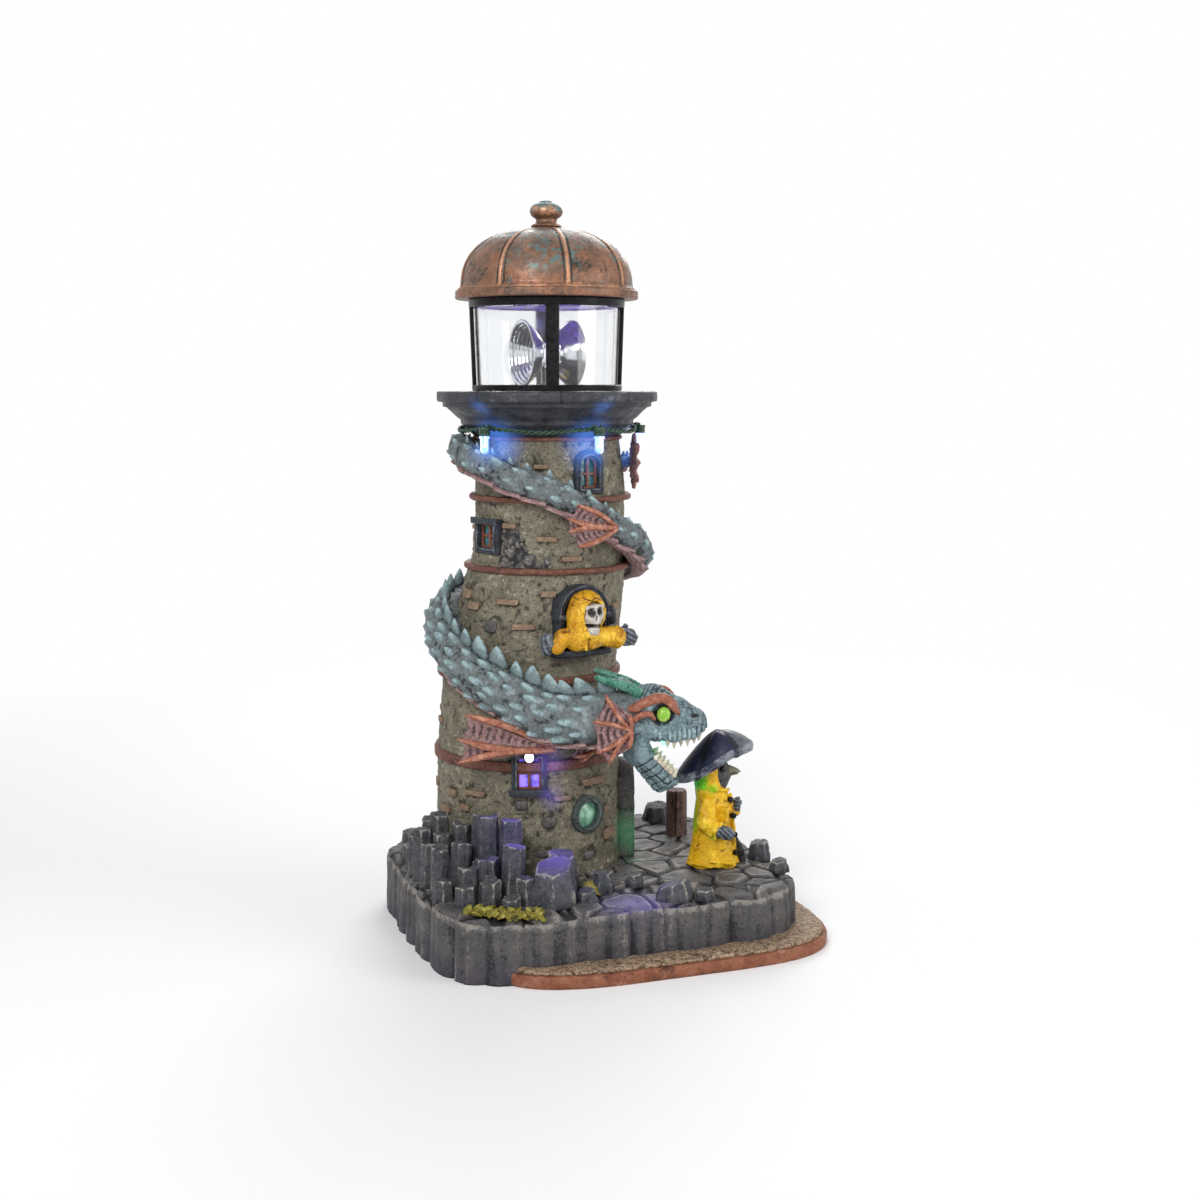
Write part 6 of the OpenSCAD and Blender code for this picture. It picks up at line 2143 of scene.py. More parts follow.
    def post(self) -> Shape:
        """A weathered timber post: bark ridges up its side and growth rings and checks on its head.

        Returns:
            A closed skin.
        """
        n = 120
        a = circle(n)
        rings, relief = [], []
        for t in np.linspace(0, 1, 30):
            z = self.post_h * t + 0 * a
            p = around(a, 4, z)
            grain = rough(p * (1.6, 1.6, 0.18), 2.2, 4, 4)
            check = (np.exp(-(((a - 4.2) / 0.06) ** 2))
                     + np.exp(-(((a - 1.9) / 0.05) ** 2)) * step01(t + 0 * a, 0.4, 0.6))
            r = 3.95 - 0.12 * t + 0.16 * grain - 0.7 * check - 0.35 * step01(t + 0 * a, 0.94, 1.0)
            rings.append(around(a, r, z))
            relief.append(0.5 + 0.6 * grain - 0.5 * check)
        for s in np.linspace(0.9, 0.08, 12):
            r = s * 3.4
            ring = 0.07 * np.sin(r * 9 + 0.6 * np.sin(2 * a))
            check = np.exp(-(((a - 4.2) / (0.05 / s)) ** 2)) * (s > 0.3)
            rings.append(around(a, r, self.post_h + ring - 0.5 * check))
            relief.append(0.55 + 4 * ring - 0.5 * check)
        shape = loft(np.stack(rings), False, np.stack(relief))
        shape.points = shape.points + np.array([self.post_x, self.post_y, self.deck - 0.05])
        return shape

    def build(self, paints: dict[str, bpy.types.Material]) -> None:
        """Makes and dresses the base's pieces.

        Args:
            paints: every finish by its name.
        """
        make("rock_base", self.rock(), paints["rock"], "case", "base_casting", "flagstones", slot="rock")
        make("rock_columns", self.pile(), paints["pile"], "case", "rock_pile", slot="rock")
        ledge, sand = self.beach()
        make("beach_edge", ledge, paints["brick_edge"], "case", "beach_ledge", slot="beach_edge")
        make("beach_grit", sand, paints["sand"], "case", "beach_sand", slot="sand")
        make("weed_strand", self.weed(), paints["weed"], "case", "seaweed", slot="weed")
        make("timber_post", self.post(), paints["timber"], "case", "mooring_post", slot="old_wood")


# Gallery, lantern, roof and beacon


@dataclass
class Lantern:
    """Everything above the collar."""

    x: float = AXIS_X
    y: float = AXIS_Y
    z_gallery: float = 183.0
    z_roof: float = 213.8
    z_rim: float = 217.2
    z_dome: float = 238.2
    neck: float = 24.7
    r: float = 25.7
    flare: float = 1.0
    frame_t: float = 1.6
    glass_t: float = 1.2
    post_w: float = 4.4
    roof_r: float = 31.3
    dome_power: float = 2.4
    dome_arc: float = 82.8
    eave: float = 1.9
    ribs: int = 8
    rib_turn: float = -4.3
    finial_r: float = 5.65
    finial_h: float = 8.8

    def gallery(self) -> Shape:
        """Stepped cornice and gallery floor, turned and then weathered.

        The rim is cut into slabs by narrow joints at uneven angles; noise roughens the
        whole and cracks run in from the edge.

        Returns:
            The closed skin.
        """
        profile = fine([(6, 182.9), (36.9, 182.9), (37.55, 182.8), (37.85, 182.4), (37.9, 181.2),
                        (37.85, 179.8), (37.5, 179.35), (36.2, 179.2), (35.9, 179.0), (35.8, 177.7),
                        (34.6, 177.4), (33.2, 176.2), (31.2, 174.2), (29.75, 173.2), (29.6, 172.0),
                        (29.4, 171.7), (27.2, 169.6), (25.3, 167.95), (24.9, 167.82)], 0.6)
        joints = np.radians([-101, -63, -18, 31, 74, 128, 166, 214])
        marks: dict[str, Array] = {}

        def bend(a: Array, r: Array, z: Array) -> Array:
            """Weathers the rim and marks its relief.

            Args:
                a: angles.
                r: radii.
                z: heights.

            Returns:
                The weathered radii.
            """
            p = around(a, r, z)
            gap = np.abs((a[..., None] - joints + np.pi) % (2 * np.pi) - np.pi).min(axis=-1) * r
            slab = step01(-gap, -0.55, -0.1) * step01(z, 179.0, 179.4)
            grain = rough(p * (1, 1, 1.8), 5.0, 4, 5)
            chip = step01(-crackle(p, 8.0, 6)[0], -2.4, -0.9) * step01(noise(p, 10, 7), 0.05, 0.5)
            rim = step01(r, 24.5, 26)
            marks["relief"] = 0.5 + 0.6 * grain - 0.55 * slab - 0.4 * chip + 0.12 * step01(r, 37.0, 37.9)
            return r + rim * (0.2 * grain - 0.8 * slab * (r > 34) - 0.45 * chip)

        shape = lathe(profile, 420, (self.x, self.y), False, bend)
        top = shape.points[:, 2] > 182.7
        lift = 0.12 * rough(shape.points, 4.0, 3, 15)
        shape.points[:, 2] += np.where(top, lift - 0.05, 0)
        shape.relief = np.append(marks["relief"].ravel(), [0.5, 0.3])
        return shape

    def frame_r(self, z: Array | float) -> Array | float:
        """Outer radius of the flared frame at a height."""
        return self.r + self.flare * (z - self.z_gallery) / (self.z_roof - self.z_gallery)

    def frame(self) -> Shape:
        """Foot ring, head ring and four bent posts with rounded edges.

        Returns:
            Rings and posts as one shape.
        """
        t = self.frame_t
        parts = []
        for low, high in ((self.z_gallery + 0.02, self.z_gallery + 2.0),
                          (self.z_roof - 2.7, self.z_roof - 0.02)):
            a, b = self.frame_r(low), self.frame_r(high)
            section = [(a - t + 0.2, low), (a - 0.25, low), (a, low + 0.25), (b, high - 0.25),
                       (b - 0.25, high), (b - t + 0.2, high), (b - t, high - 0.2), (a - t, low + 0.2)]
            parts.append(lathe(np.array(section), 180, (self.x, self.y), True))
        half = self.post_w / self.r / 2
        for i in range(4):
            mid = math.radians(-14 + 90 * i - 90)
            z = np.linspace(self.z_gallery + 0.5, self.z_roof - 0.5, 30)
            corners = [(-1, -0.8), (-0.9, -1), (0.9, -1), (1, -0.8), (1, 0.6), (0.8, 1), (-0.8, 1), (-1, 0.6)]
            rings = []
            for u, v in corners:
                a = mid + half * u
                r = self.frame_r(z) - t / 2 + (t / 2 - 0.1) * v
                rings.append(np.stack([self.x + r * np.cos(a), self.y + r * np.sin(a), z], axis=-1))
            parts.append(loft(np.stack(rings, axis=1)))
        return joined(parts)

    def glass(self) -> Shape:
        """Clear flared cup: a thin wall with rounded lips.

        Returns:
            A closed wall.
        """
        low, high = self.z_gallery + 0.05, self.z_roof - 2.75
        a = self.r - self.frame_t - 0.2
        b = a + self.flare * (high - low) / (self.z_roof - self.z_gallery)
        t = self.glass_t
        section = np.array([(a - t + 0.2, low), (a - 0.2, low), (a, low + 0.2), (b, high - 0.2),
                            (b - 0.2, high), (b - t + 0.2, high), (b - t, high - 0.2), (a - t, low + 0.2)])
        return lathe(fine(section, 3.0, True), 160, (self.x, self.y), True)

    def ceiling(self) -> Shape:
        """Disc under the roof with a shallow dish and a raised lip.

        Returns:
            The closed disc.
        """
        z = self.z_roof - 2.65
        edge = self.r - self.frame_t + 0.5
        rows = [(0, z + 1.5), (edge - 0.3, z + 1.5), (edge, z + 1.2), (edge, z + 0.2), (edge - 0.3, z + 0.02),
                (edge - 2, z + 0.02), (edge - 2.4, z + 0.4), (3.2, z + 0.5), (2.8, z + 0.1), (0, z + 0.1)]
        return lathe(fine(rows, 1.5), 120, (self.x, self.y))

    def dome_r(self, s: Array) -> tuple[Array, Array]:
        """Dome line: a superellipse arc from the rim to the flat crown, dome_power its exponent.

        Args:
            s: shares of the way up, 0 at the rim.

        Returns:
            Radius and height of each.
        """
        a = np.radians(s * self.dome_arc)
        r = (self.roof_r - self.eave) * np.cos(a) ** (2 / self.dome_power)
        z = self.z_rim + (self.z_dome - 0.4 - self.z_rim) * np.sin(a) ** (2 / self.dome_power)
        return r, z

    def dome(self) -> Shape:
        """Sheet copper dome with raised seams, dents and cracks.

        Radius = the dome line, plus a rounded ridge at each of eight seams, minus cracks where a
        warped cell border comes near, with hammer dents from noise. The rim is a turned bead.

        Returns:
            The closed shell, with its relief and tint.
        """
        s = np.linspace(0, 1, 76)
        r, z = self.dome_r(s)
        under = [(24.5, 214.0), (29.9, 213.9), (30.9, 213.9), (31.2, 214.1), (31.25, 214.5), (31.2, 216.3),
                 (31.05, 216.6), (30.5, 216.7), (30.35, 216.85), (30.4, 217.15), (30.2, 217.4),
                 (29.8, 217.45)]
        over = np.column_stack([r, z])[2:]
        crown = [(5.0, 238.05), (3.0, 238.15)]
        rows = np.vstack([fine(under, 0.5), over, crown])
        inner_r, inner_z = self.dome_r(np.linspace(0.97, 0.05, 14))
        rows = np.vstack([rows, [(3.0, 236.0)], np.column_stack([inner_r - 1.7, inner_z - 1.0]),
                          [(25.5, 216.5)]])
        steps = 2 * np.pi / self.ribs
        inside = len(inner_r) + 2
        marks: dict[str, Array] = {}

        def bend(a: Array, r: Array, z: Array) -> Array:
            """Shapes the sheet and marks its relief and tint.

            Args:
                a: angles.
                r: radii.
                z: heights.

            Returns:
                The radii with seams, dents and cracks.
            """
            p = around(a, r, z)
            outer = np.zeros(r.shape)
            outer[:len(rows) - inside] = 1.0
            seam = (a - math.radians(self.rib_turn) + steps / 2) % steps - steps / 2
            gap = np.abs(seam) * r
            body = outer * step01(z, 217.0, 217.8) * step01(-z, -238.0, -237.2)
            ridge = np.exp(-((gap / 0.62) ** 4)) * body
            groove = np.exp(-(((gap - 1.15) / 0.35) ** 2)) * body
            dent = rough(p, 7.0, 4, 33)
            warp = p + 1.8 * noise(p, 3.5, 91)[..., None]
            line = crackle(warp * (1.15, 1.15, 0.6), 12.0, 44)[1]
            middle = step01(gap, 5.0, 7.0)
            crack = step01(-line, -0.4, -0.1) * step01(noise(p, 7.0, 46), 0.16, 0.34) * body * middle
            foot = np.exp(-(((z - 217.3) / 0.5) ** 2)) * outer
            marks["relief"] = 0.46 + 0.4 * dent + 0.55 * ridge - 0.5 * groove - 0.75 * crack + 0.4 * foot
            fleck = (step01(rough(p, 1.8, 2, 49), 0.06, 0.4)
                     * step01(noise(p, 9.0, 52) + 0.5 * step01(z, 222, 234), 0.0, 0.6))
            upper = 0.25 * step01(z, 226, 236)
            marks["tint"] = np.clip(fleck * body * (1 - ridge) + upper * body * (1 - ridge), 0, 0.9)
            return r + 0.5 * ridge - 0.2 * groove * outer + 0.15 * dent * outer - 0.42 * crack

        shape = lathe(rows, 512, (self.x, self.y), True, bend)
        shape.relief, shape.tint = marks["relief"].ravel(), marks["tint"].ravel()
        return shape

    def finial(self) -> Shape:
        """Roof knob: a flange, a waist and a flattened ball with a small button.

        Returns:
            The closed knob, with its relief and tint.
        """
        k = self.finial_r
        h = self.finial_h
        rows = [(0.01, 0.0), (4.9, 0.02), (5.05, 0.4), (4.7, 0.8), (3.9, 1.2), (3.55, 1.9), (3.7, 2.6),
                (4.4, 3.1), (5.1, 3.7), (k - 0.12, 4.6), (k - 0.05, 5.3), (k - 0.35, 6.3), (4.5, 7.2),
                (3.4, 7.75), (2.6, 7.95), (2.35, 8.2), (1.9, 8.55), (1.0, h - 0.08), (0.01, h - 0.05)]
        rows = spline(rows, 4)
        rows[:, 0] = np.clip(rows[:, 0], 0.005, k - 0.03)
        rows[:, 1] = np.clip(rows[:, 1] + self.z_dome, self.z_dome, self.z_dome + h - 0.03)
        marks: dict[str, Array] = {}

        def bend(a: Array, r: Array, z: Array) -> Array:
            """Roughens the knob and marks its relief and tint.

            Args:
                a: angles.
                r: radii.
                z: heights.

            Returns:
                The roughened radii.
            """
            p = around(a, r, z)
            marks["relief"] = 0.5 + 0.6 * rough(p, 2.5, 4, 3) + 0.25 * step01(r, 4.6, 5.6)
            marks["tint"] = 0.9 * step01(z - self.z_dome + 1.5 * rough(p, 1.6, 3, 5), 4.4, 6.0)
            return r * (1 + 0.012 * rough(p, 2.0, 3, 8))

        shape = lathe(rows, 120, (self.x, self.y), False, bend)
        shape.relief = np.append(marks["relief"].ravel(), [0.5, 0.5])
        shape.tint = np.append(marks["tint"].ravel(), [0.0, 0.9])
        return shape

    def build(self, paints: dict[str, bpy.types.Material]) -> None:
        """Makes and dresses the pieces above the collar that stand still.

        Args:
            paints: every finish by its name.
        """
        make("gallery_floor", self.gallery(), paints["gallery"], "case", "gallery", slot="gallery_stone")
        make("lantern_posts", self.frame(), paints["black"], "case", "lantern_frame", slot="lantern_black",
             sharp=35)
        make("lantern_cup", self.glass(), paints["clear"], "case", "lantern_glass", slot="clear_glass",
             sharp=35)
        make("lantern_lid", self.ceiling(), paints["violet"], "case", "lantern_ceiling",
             slot="ceiling_violet", sharp=35)
        make("copper_dome", self.dome(), paints["copper"], "case", "roof_dome", slot="copper_roof")
        make("copper_knob", self.finial(), paints["copper"], "case", "roof_finial", slot="copper_roof")


@dataclass
class Beacon:
    """Two bright bowls back to back on a hollow spindle."""

    x: float = AXIS_X
    y: float = AXIS_Y
    z: float = 195.5
    yaw: float = -85.0
    bowl_r: float = 11.6
    reach: float = 9.55
    hub_r: float = 4.2
    wall: float = 0.7

    def place(self, p: Array) -> Array:
        """Turns points whose x is along the bowls' axis into the beacon's place."""
        return stood(p, self.yaw - 90, (self.x, self.y, self.z))

    def bowl(self, side: int) -> Shape:
        """One bowl, turned about the axis.

        Its line opens from the hub as the power 0.62 of the depth; the inside carries seven
        stepped rings of flat facets, and the rim has a rolled lip.

        Args:
            side: 1 or -1, the end of the axis.

        Returns:
            The bowl in its place.
        """
        t = np.linspace(0, 1, 44)
        r = self.hub_r - 0.4 + (self.bowl_r - self.hub_r + 0.4) * t**0.62
        x = 2.4 + (self.reach - 2.4) * t
        out = np.column_stack([r, x])
        lip = np.array([(self.bowl_r, self.reach - 0.5), (self.bowl_r, self.reach - 0.1),
                        (self.bowl_r - 0.3, self.reach), (self.bowl_r - 0.8, self.reach)])
        back = np.column_stack([r - self.wall, x])[::-1]
        back[:, 0] -= 0.2 * np.abs(np.sin(t[::-1] * np.pi * 7))
        back[:, 0] = np.maximum(back[:, 0], 2.6)
        rows = np.vstack([out, lip, back[2:]])
        n = 144
        a = circle(n)
        radius = rows[:, :1] + 0 * a
        inner = (np.arange(len(rows)) > len(out) + 3)[:, None]
        facet = 0.05 * np.abs(((a / (2 * np.pi / 24)) % 1) - 0.5)[None]
        radius = radius * (1 - inner * facet * 0.35)
        rings = np.stack([side * (rows[:, 1:2] + 0 * a), radius * np.cos(a), radius * np.sin(a)], axis=-1)
        return loft(rings, True).placed(self.place)

    def hub(self) -> Shape:
        """Upright hub between the bowls, a turned barrel with two collars.

        Returns:
            The hub in its place.
        """
        rows = [(2.1, -4.9), (3.9, -4.9), (4.15, -4.6), (4.15, -3.6), (3.7, -3.2), (3.6, 2.2), (4.1, 2.7),
                (4.1, 3.6), (3.8, 3.9), (2.9, 3.9), (2.75, 2.4), (2.72, -3.3), (2.1, -3.5)]
        shape = lathe(fine(rows, 0.8, True), 90, (0, 0), True)
        return shape.placed(self.place)

    def build(self, paints: dict[str, bpy.types.Material], frame: dict) -> None:
        """Makes and dresses the beacon and its drive.

        Args:
            paints: every finish by its name.
            frame: the CAD nodes in the scene by name.
        """
        make("beacon_bowls", self.bowl(1) + self.bowl(-1), paints["chrome"], "beacon", "beacon_reflectors",
             slot="mirror_chrome", sharp=32)
        make("beacon_hub", self.hub(), paints["hub"], "beacon", sharp=35)
        for node, finish in (("beacon_spindle", "steel"), ("beacon_gear", "nylon"),
                             ("beacon_bush", "brass"), ("beacon_motor", "steel"),
                             ("motor_pinion", "brass"), ("motor_plate", "dark_plastic")):
            dress(frame, node, paints[finish])


@dataclass
class LampString:
    """Twisted green wires under the gallery with lamp sockets and clear bulbs."""

    x: float = AXIS_X
    y: float = AXIS_Y
    z: float = 170.0
    r: float = 30.1
    first: float = -57.0
    turn: float = 70.0
    count: int = 4
    open_at: float = 168.0
    wire_r: float = 0.42

    def way(self, n: int) -> Array:
        """The lead's route: a ring with a small sag between lamps, and both ends into the wall.

        Args:
            n: points round the ring.

        Returns:
            Points along the route.
        """
        f = np.linspace(-self.open_at, self.open_at, n)
        sag = 0.54 * np.cos(np.radians((f - self.first) * 360 / self.turn))
        a = np.radians(f)
        ring = np.stack([self.x + self.r * np.sin(a), self.y - self.r * np.cos(a), self.z + sag], axis=-1)
        back = np.radians(self.open_at)
        inward = np.linspace(5.4, 0.6, 6)[:, None]
        start = ring[0] + inward * (math.sin(back), math.cos(back), 0)
        end = ring[-1] + inward[::-1] * (-math.sin(back), math.cos(back), 0)
        return np.vstack([start, ring, end])

    def wires(self) -> Shape:
        """Two wires wound round each other: the route plus a helix of half a wire's width.

        Returns:
            Both wires as one shape.
        """
        way = self.way(620)
        side, top = frames(way)
        run = np.concatenate([[0], np.cumsum(np.linalg.norm(np.diff(way, axis=0), axis=1))])
        parts = []
        for k in (0, np.pi):
            a = run * 2 * np.pi / 4.6 + k
            line = way + 0.42 * (side * np.cos(a)[:, None] + top * np.sin(a)[:, None])
            parts.append(tube(line, self.wire_r - 0.04, 8))
        shape = joined(parts)
        shape.relief = 0.5 + 0.5 * noise(shape.points, 1.2, 3)
        return shape

    def at(self, k: int, out: float) -> Callable[[Array], Array]:
        """Placing function of lamp k: x along the wall, y out of it and z up.

        Args:
            k: number of the lamp.
            out: distance off the ring.

        Returns:
            The placing function.
        """
        a = math.radians(self.first + self.turn * k)

        def move(p: Array) -> Array:
            """Turns points into the lamp's place.

            Args:
                p: points about the lamp's middle.

            Returns:
                The points where they stand in the part.
            """
            x, y = p[:, 0], self.r + out + p[:, 1]
            return np.column_stack([self.x + x * math.cos(a) + y * math.sin(a),
                                    self.y + x * math.sin(a) - y * math.cos(a), self.z + p[:, 2]])

        return move

    def socket(self) -> Shape:
        """Lamp socket: a short barrel with a ribbed collar and two wire tails.

        Returns:
            The socket, drawn about its own middle.
        """
        rows = [(0.01, 1.4), (1.2, 1.4), (1.85, 1.15), (1.98, 0.85), (1.98, 0.3), (1.8, 0.1), (1.78, -0.3),
                (1.95, -0.45), (1.9, -0.8), (1.78, -0.9), (1.85, -1.3), (1.8, -1.6), (0.01, -1.62)]
        n = 48
        a = circle(n)
        table = np.array(rows)
        r = table[:, :1] + 0 * a
        r = r - 0.1 * (np.cos(a * 12) > 0.4) * ((table[:, 1:2] < 0.9) & (table[:, 1:2] > 0.1))
        rings = np.stack([r * np.cos(a), r * np.sin(a), table[:, 1:2] + 0 * a], axis=-1)
        parts = [loft(rings)]
        for k in (-1, 1):
            tail = spline([(0.6 * k, 0, 1.0), (0.9 * k, -0.5, 1.7), (1.6 * k, -1.4, 1.6),
                           (2.4 * k, -2.4, 0.6)], 5)
            parts.append(tube(tail, 0.36, 8, (0, 1, 0)))
        return joined(parts)

    def bulb(self) -> Shape:
        """Clear lamp: a flange, a straight body and a domed tip.

        Returns:
            The lamp, drawn about the socket's middle.
        """
        turn = np.radians(np.linspace(0, 90, 9))
        tip = [(1.48 * math.sin(t), -7.7 + 1.48 * (1 - math.cos(t))) for t in turn]
        rows = tip + [(1.48, -2.6), (1.82, -2.45), (1.82, -1.8), (1.5, -1.68), (0.01, -1.68)]
        rows[0] = (0.01, -7.7)
        return lathe(fine(rows, 1.2), 32, (0, 0))

    def die(self) -> Shape:
        """The two leads and the reflector cup inside a bulb.

        Returns:
            Both as one shape, drawn about the socket's middle.
        """
        rows = [(0.01, -4.6), (0.6, -4.6), (0.85, -5.3), (0.7, -5.5), (0.01, -5.2)]
        rod = tube(np.array([(0.5, 0, -1.9), (0.42, 0, -3.6), (0.3, 0, -4.8)]), 0.24, 6, (0, 1, 0))
        return lathe(np.array(rows), 20, (0, 0)) + rod

    def build(self, paints: dict[str, bpy.types.Material]) -> None:
        """Makes and dresses the lamp string.

        Args:
            paints: every finish by its name.
        """
        out = 0.8 + 2.0 + 0.05
        make("string_wires", self.wires(), paints["green_wire"], "case", "string_lead", slot="green_lead")
        sockets = joined([self.socket().placed(self.at(k, out)) for k in range(self.count)])
        make("lamp_sockets", sockets, paints["green_wire"], "case", "bulb_sockets", slot="green_lead",
             sharp=40)
        bulbs = joined([self.bulb().placed(self.at(k, out)) for k in range(self.count)])
        make("clear_bulbs", bulbs, paints["bulb"], "case", "string_bulbs", slot="clear_lamp", sharp=50)
        dies = joined([self.die().placed(self.at(k, out)) for k in range(self.count)])
        make("bulb_dies", dies, paints["lit_blue"], "case")


# The serpent


@dataclass
class Serpent:
    """Body wound round the tower, head with open jaw, fins, horns and tail.

    Each of its rows is a place along the body from tail to neck: a direction round the tower, a
    share of the height from deck to top, a distance off the wall and the body's radius.
    """

    tower: Tower
    deck: float = 20.0
    top: float = 166.5
    head: Sequence[float] = (10.7, -25.0, 78.0)
    yaw: float = -20.0
    girth: float = 8.6
    rows: tuple = (
        (-288, 0.948, 3.2, 1.6), (-255, 0.938, 3.4, 2.4), (-220, 0.931, 3.6, 3.2), (-180, 0.94, 4, 3.9),
        (-145, 0.962, 4.3, 4.4), (-107, 0.98, 4.5, 4.7), (-88, 0.966, 4.4, 4.7), (-60, 0.943, 4.2, 4.7),
        (-43, 0.918, 4.2, 4.7), (-22, 0.894, 4.2, 4.6), (-8, 0.869, 4.2, 4.6), (10, 0.835, 4.2, 4.6),
        (28, 0.8, 4.4, 4.8), (55, 0.757, 4.6, 5.2), (78, 0.72, 4.8, 5.3), (110, 0.689, 4.4, 5.5),
        (160, 0.648, 3.4, 6), (210, 0.61, 2.8, 6.6), (253, 0.58, 2.5, 7), (275, 0.542, 2.6, 7),
        (296, 0.503, 3, 7.1), (312, 0.472, 3.4, 7.2), (328, 0.441, 4.4, 7.5), (342, 0.411, 6.4, 7.9),
        (354, 0.389, 9.4, 8.3), (365, 0.384, 12.6, 8.6), (374, 0.386, 15.6, 8.6))
    fine_rows: tuple = (-8, 52)
    broad_rows: tuple = (-46, -18, 10, 38, 64)

    def __post_init__(self) -> None:
        """Works out the body's line and radius, its frame and a running count of scales."""
        f, share, out, r = spline(self.rows, 16).T
        line = self.tower.at(f, self.deck + share * (self.top - self.deck), out)
        end = self.place(np.array([[-7.0, 0, -0.7], [-4.0, 0, -0.3]]))
        keys = np.vstack([line[-40::20], line[-1:], end])
        neck = spline(keys, 16)[-33:]
        self.line = np.vstack([line, neck[1:]])
        self.radius = np.concatenate([r, np.linspace(r[-1], 7.4, 32)])
        self.side, self.up = frames(self.line)
        run = np.linalg.norm(np.diff(self.line, axis=0), axis=1)
        pitch = 7.8 * np.clip(self.radius / 4.2, 0.5, 1.0)
        self.count = np.concatenate([[0], np.cumsum(run / pitch[1:])])

    def place(self, p: Array) -> Array:
        """Turns points drawn on the head, x ahead and z up, into their place."""
        return stood(p, self.yaw, self.head)

    def skin_at(self, k: Array, a: Array, out: Array | float = 0.0) -> Array:
        """Points on the skin at a scale count k and an angle a, 0 outwards and 90 upwards.

        Args:
            k: scale counts, whole at a row of scales.
            a: angles in degrees.
            out: distance off the skin.

        Returns:
            The points.
        """
        line = np.stack([np.interp(k, self.count, self.line[:, j]) for j in range(3)], axis=-1)
        side = np.stack([np.interp(k, self.count, self.side[:, j]) for j in range(3)], axis=-1)
        up = np.stack([np.interp(k, self.count, self.up[:, j]) for j in range(3)], axis=-1)
        r = np.interp(k, self.count, self.radius) + out
        a = np.radians(a)
        return line + (r * np.cos(a))[..., None] * side + (r * np.sin(a))[..., None] * up

    def spots(self) -> list[tuple[float, float, float, float]]:
        """Count, angle, size and radius of every scale: two rows above, five on the thick coil.

        Returns:
            One row per scale.
        """
        rows = []
        for k in range(2, int(self.count[-1]) - 1):
            r = float(np.interp(k, self.count, self.radius))
            lines = self.fine_rows if r < 5.8 else self.broad_rows
            for i, row in enumerate(lines):
                spot = k + 0.5 * (i % 2) + 0.3 * (wobble(k, i) - 0.5)
                if spot > self.count[-1] - (0.9 if row > 40 else 2.5):
                    continue
                size = (0.42 + 0.42 * r / self.girth) * (0.8 + 0.4 * wobble(i + 9, k))
                rows.append((spot, row + 12 * (wobble(k, i + 20) - 0.5), size, r))
        return rows

    def body(self) -> Shape:
        """The body's skin.

        A round section carried along the spline through the route's rows. The radius is raised
        under every scale by a bell curve, wrinkled across by noise drawn along the body, and
        pitted between.

        Returns:
            The closed skin, with its relief.
        """
        n = 100
        k = np.linspace(0, self.count[-1], 620)[:, None]
        a = np.degrees(circle(n, -np.pi))[None, :]
        k, a = np.broadcast_arrays(k, a)
        r = np.interp(k, self.count, self.radius)
        p = self.skin_at(k, a)
        pad = np.zeros(k.shape)
        for spot, turn, size, own in self.spots():
            rows = np.abs(k[:, 0] - spot) < 0.8
            u = (k[rows] - spot) * 7.8 / (3.4 * size)
            v = np.radians(a[rows] - turn) * own / (2.4 * size)
            pad[rows] = np.maximum(pad[rows], np.exp(-(u**2) - v**2))
        wrinkle = noise(np.stack([k * 19, 0.12 * a, 0 * k], axis=-1), 2.4, 8)
        grit = rough(p, 2.6, 4, 19)
        pebble = crackle(p, 2.0, 31)[1]
        groove = step01(-pebble, -0.28, 0.0) * step01(noise(p, 8, 4), -0.3, 0.3)
        ease = np.clip(r / 5, 0.3, 1)
        lift = ease * (0.5 * pad + 0.16 * wrinkle + 0.24 * grit - 0.14 * groove)
        taper = np.where(k < 0.4, 0.35 + 1.65 * k, 1.0)
        rings = self.skin_at(k, a, lift - r * (1 - np.clip(taper, 0, 1)))
        relief = 0.44 + 0.5 * grit + 0.2 * wrinkle + 0.32 * pad - 0.35 * groove
        # Painted shade: the underside of the body is given a lower relief, so the dark wash lies there.
        under = step01(-np.sin(np.radians(a)), 0.5, 0.95) * 0.25
        return loft(rings, False, relief - under)

    def drop(self, k: float, a: float, long: float, wide: float, tall: float, back: float,
             sides: int = 8) -> Shape:
        """One scale or spine: rings that shrink to a point drawn back along the body.

        Args:
            k: scale count of its foot.
            a: its angle round the body in degrees.
            long: its length.
            wide: its width.
            tall: how far it stands up.
            back: how far the point is drawn back.
            sides: points round it.

        Returns:
            The closed scale or spine.
        """
        here, ahead = self.skin_at(np.array([k, k + 0.12]), np.array([a, a]))
        centre = np.array([np.interp(k, self.count, self.line[:, j]) for j in range(3)])
        out = here - centre
        out /= np.linalg.norm(out)
        fore = ahead - here
        fore -= out * (fore @ out)
        fore /= max(np.linalg.norm(fore), 1e-9)
        side = np.cross(out, fore)
        turn = circle(sides)[None, :, None]
        t = np.array([0.0, 0.3, 0.6, 0.84, 0.97])[:, None, None]
        size = np.array([1.0, 0.93, 0.66, 0.34, 0.1])[:, None, None]
        x = size * long / 2 * np.cos(turn) * np.where(np.cos(turn) < 0, 1.25, 0.85)
        y = size * wide / 2 * np.sin(turn)
        ring = here - 0.5 * out + fore * (x - back * t**1.5) + side * y + out * (tall + 0.5) * t
        relief = np.broadcast_to((0.3 + 0.8 * t)[..., 0], (5, sides))
        return loft(ring, False, relief)

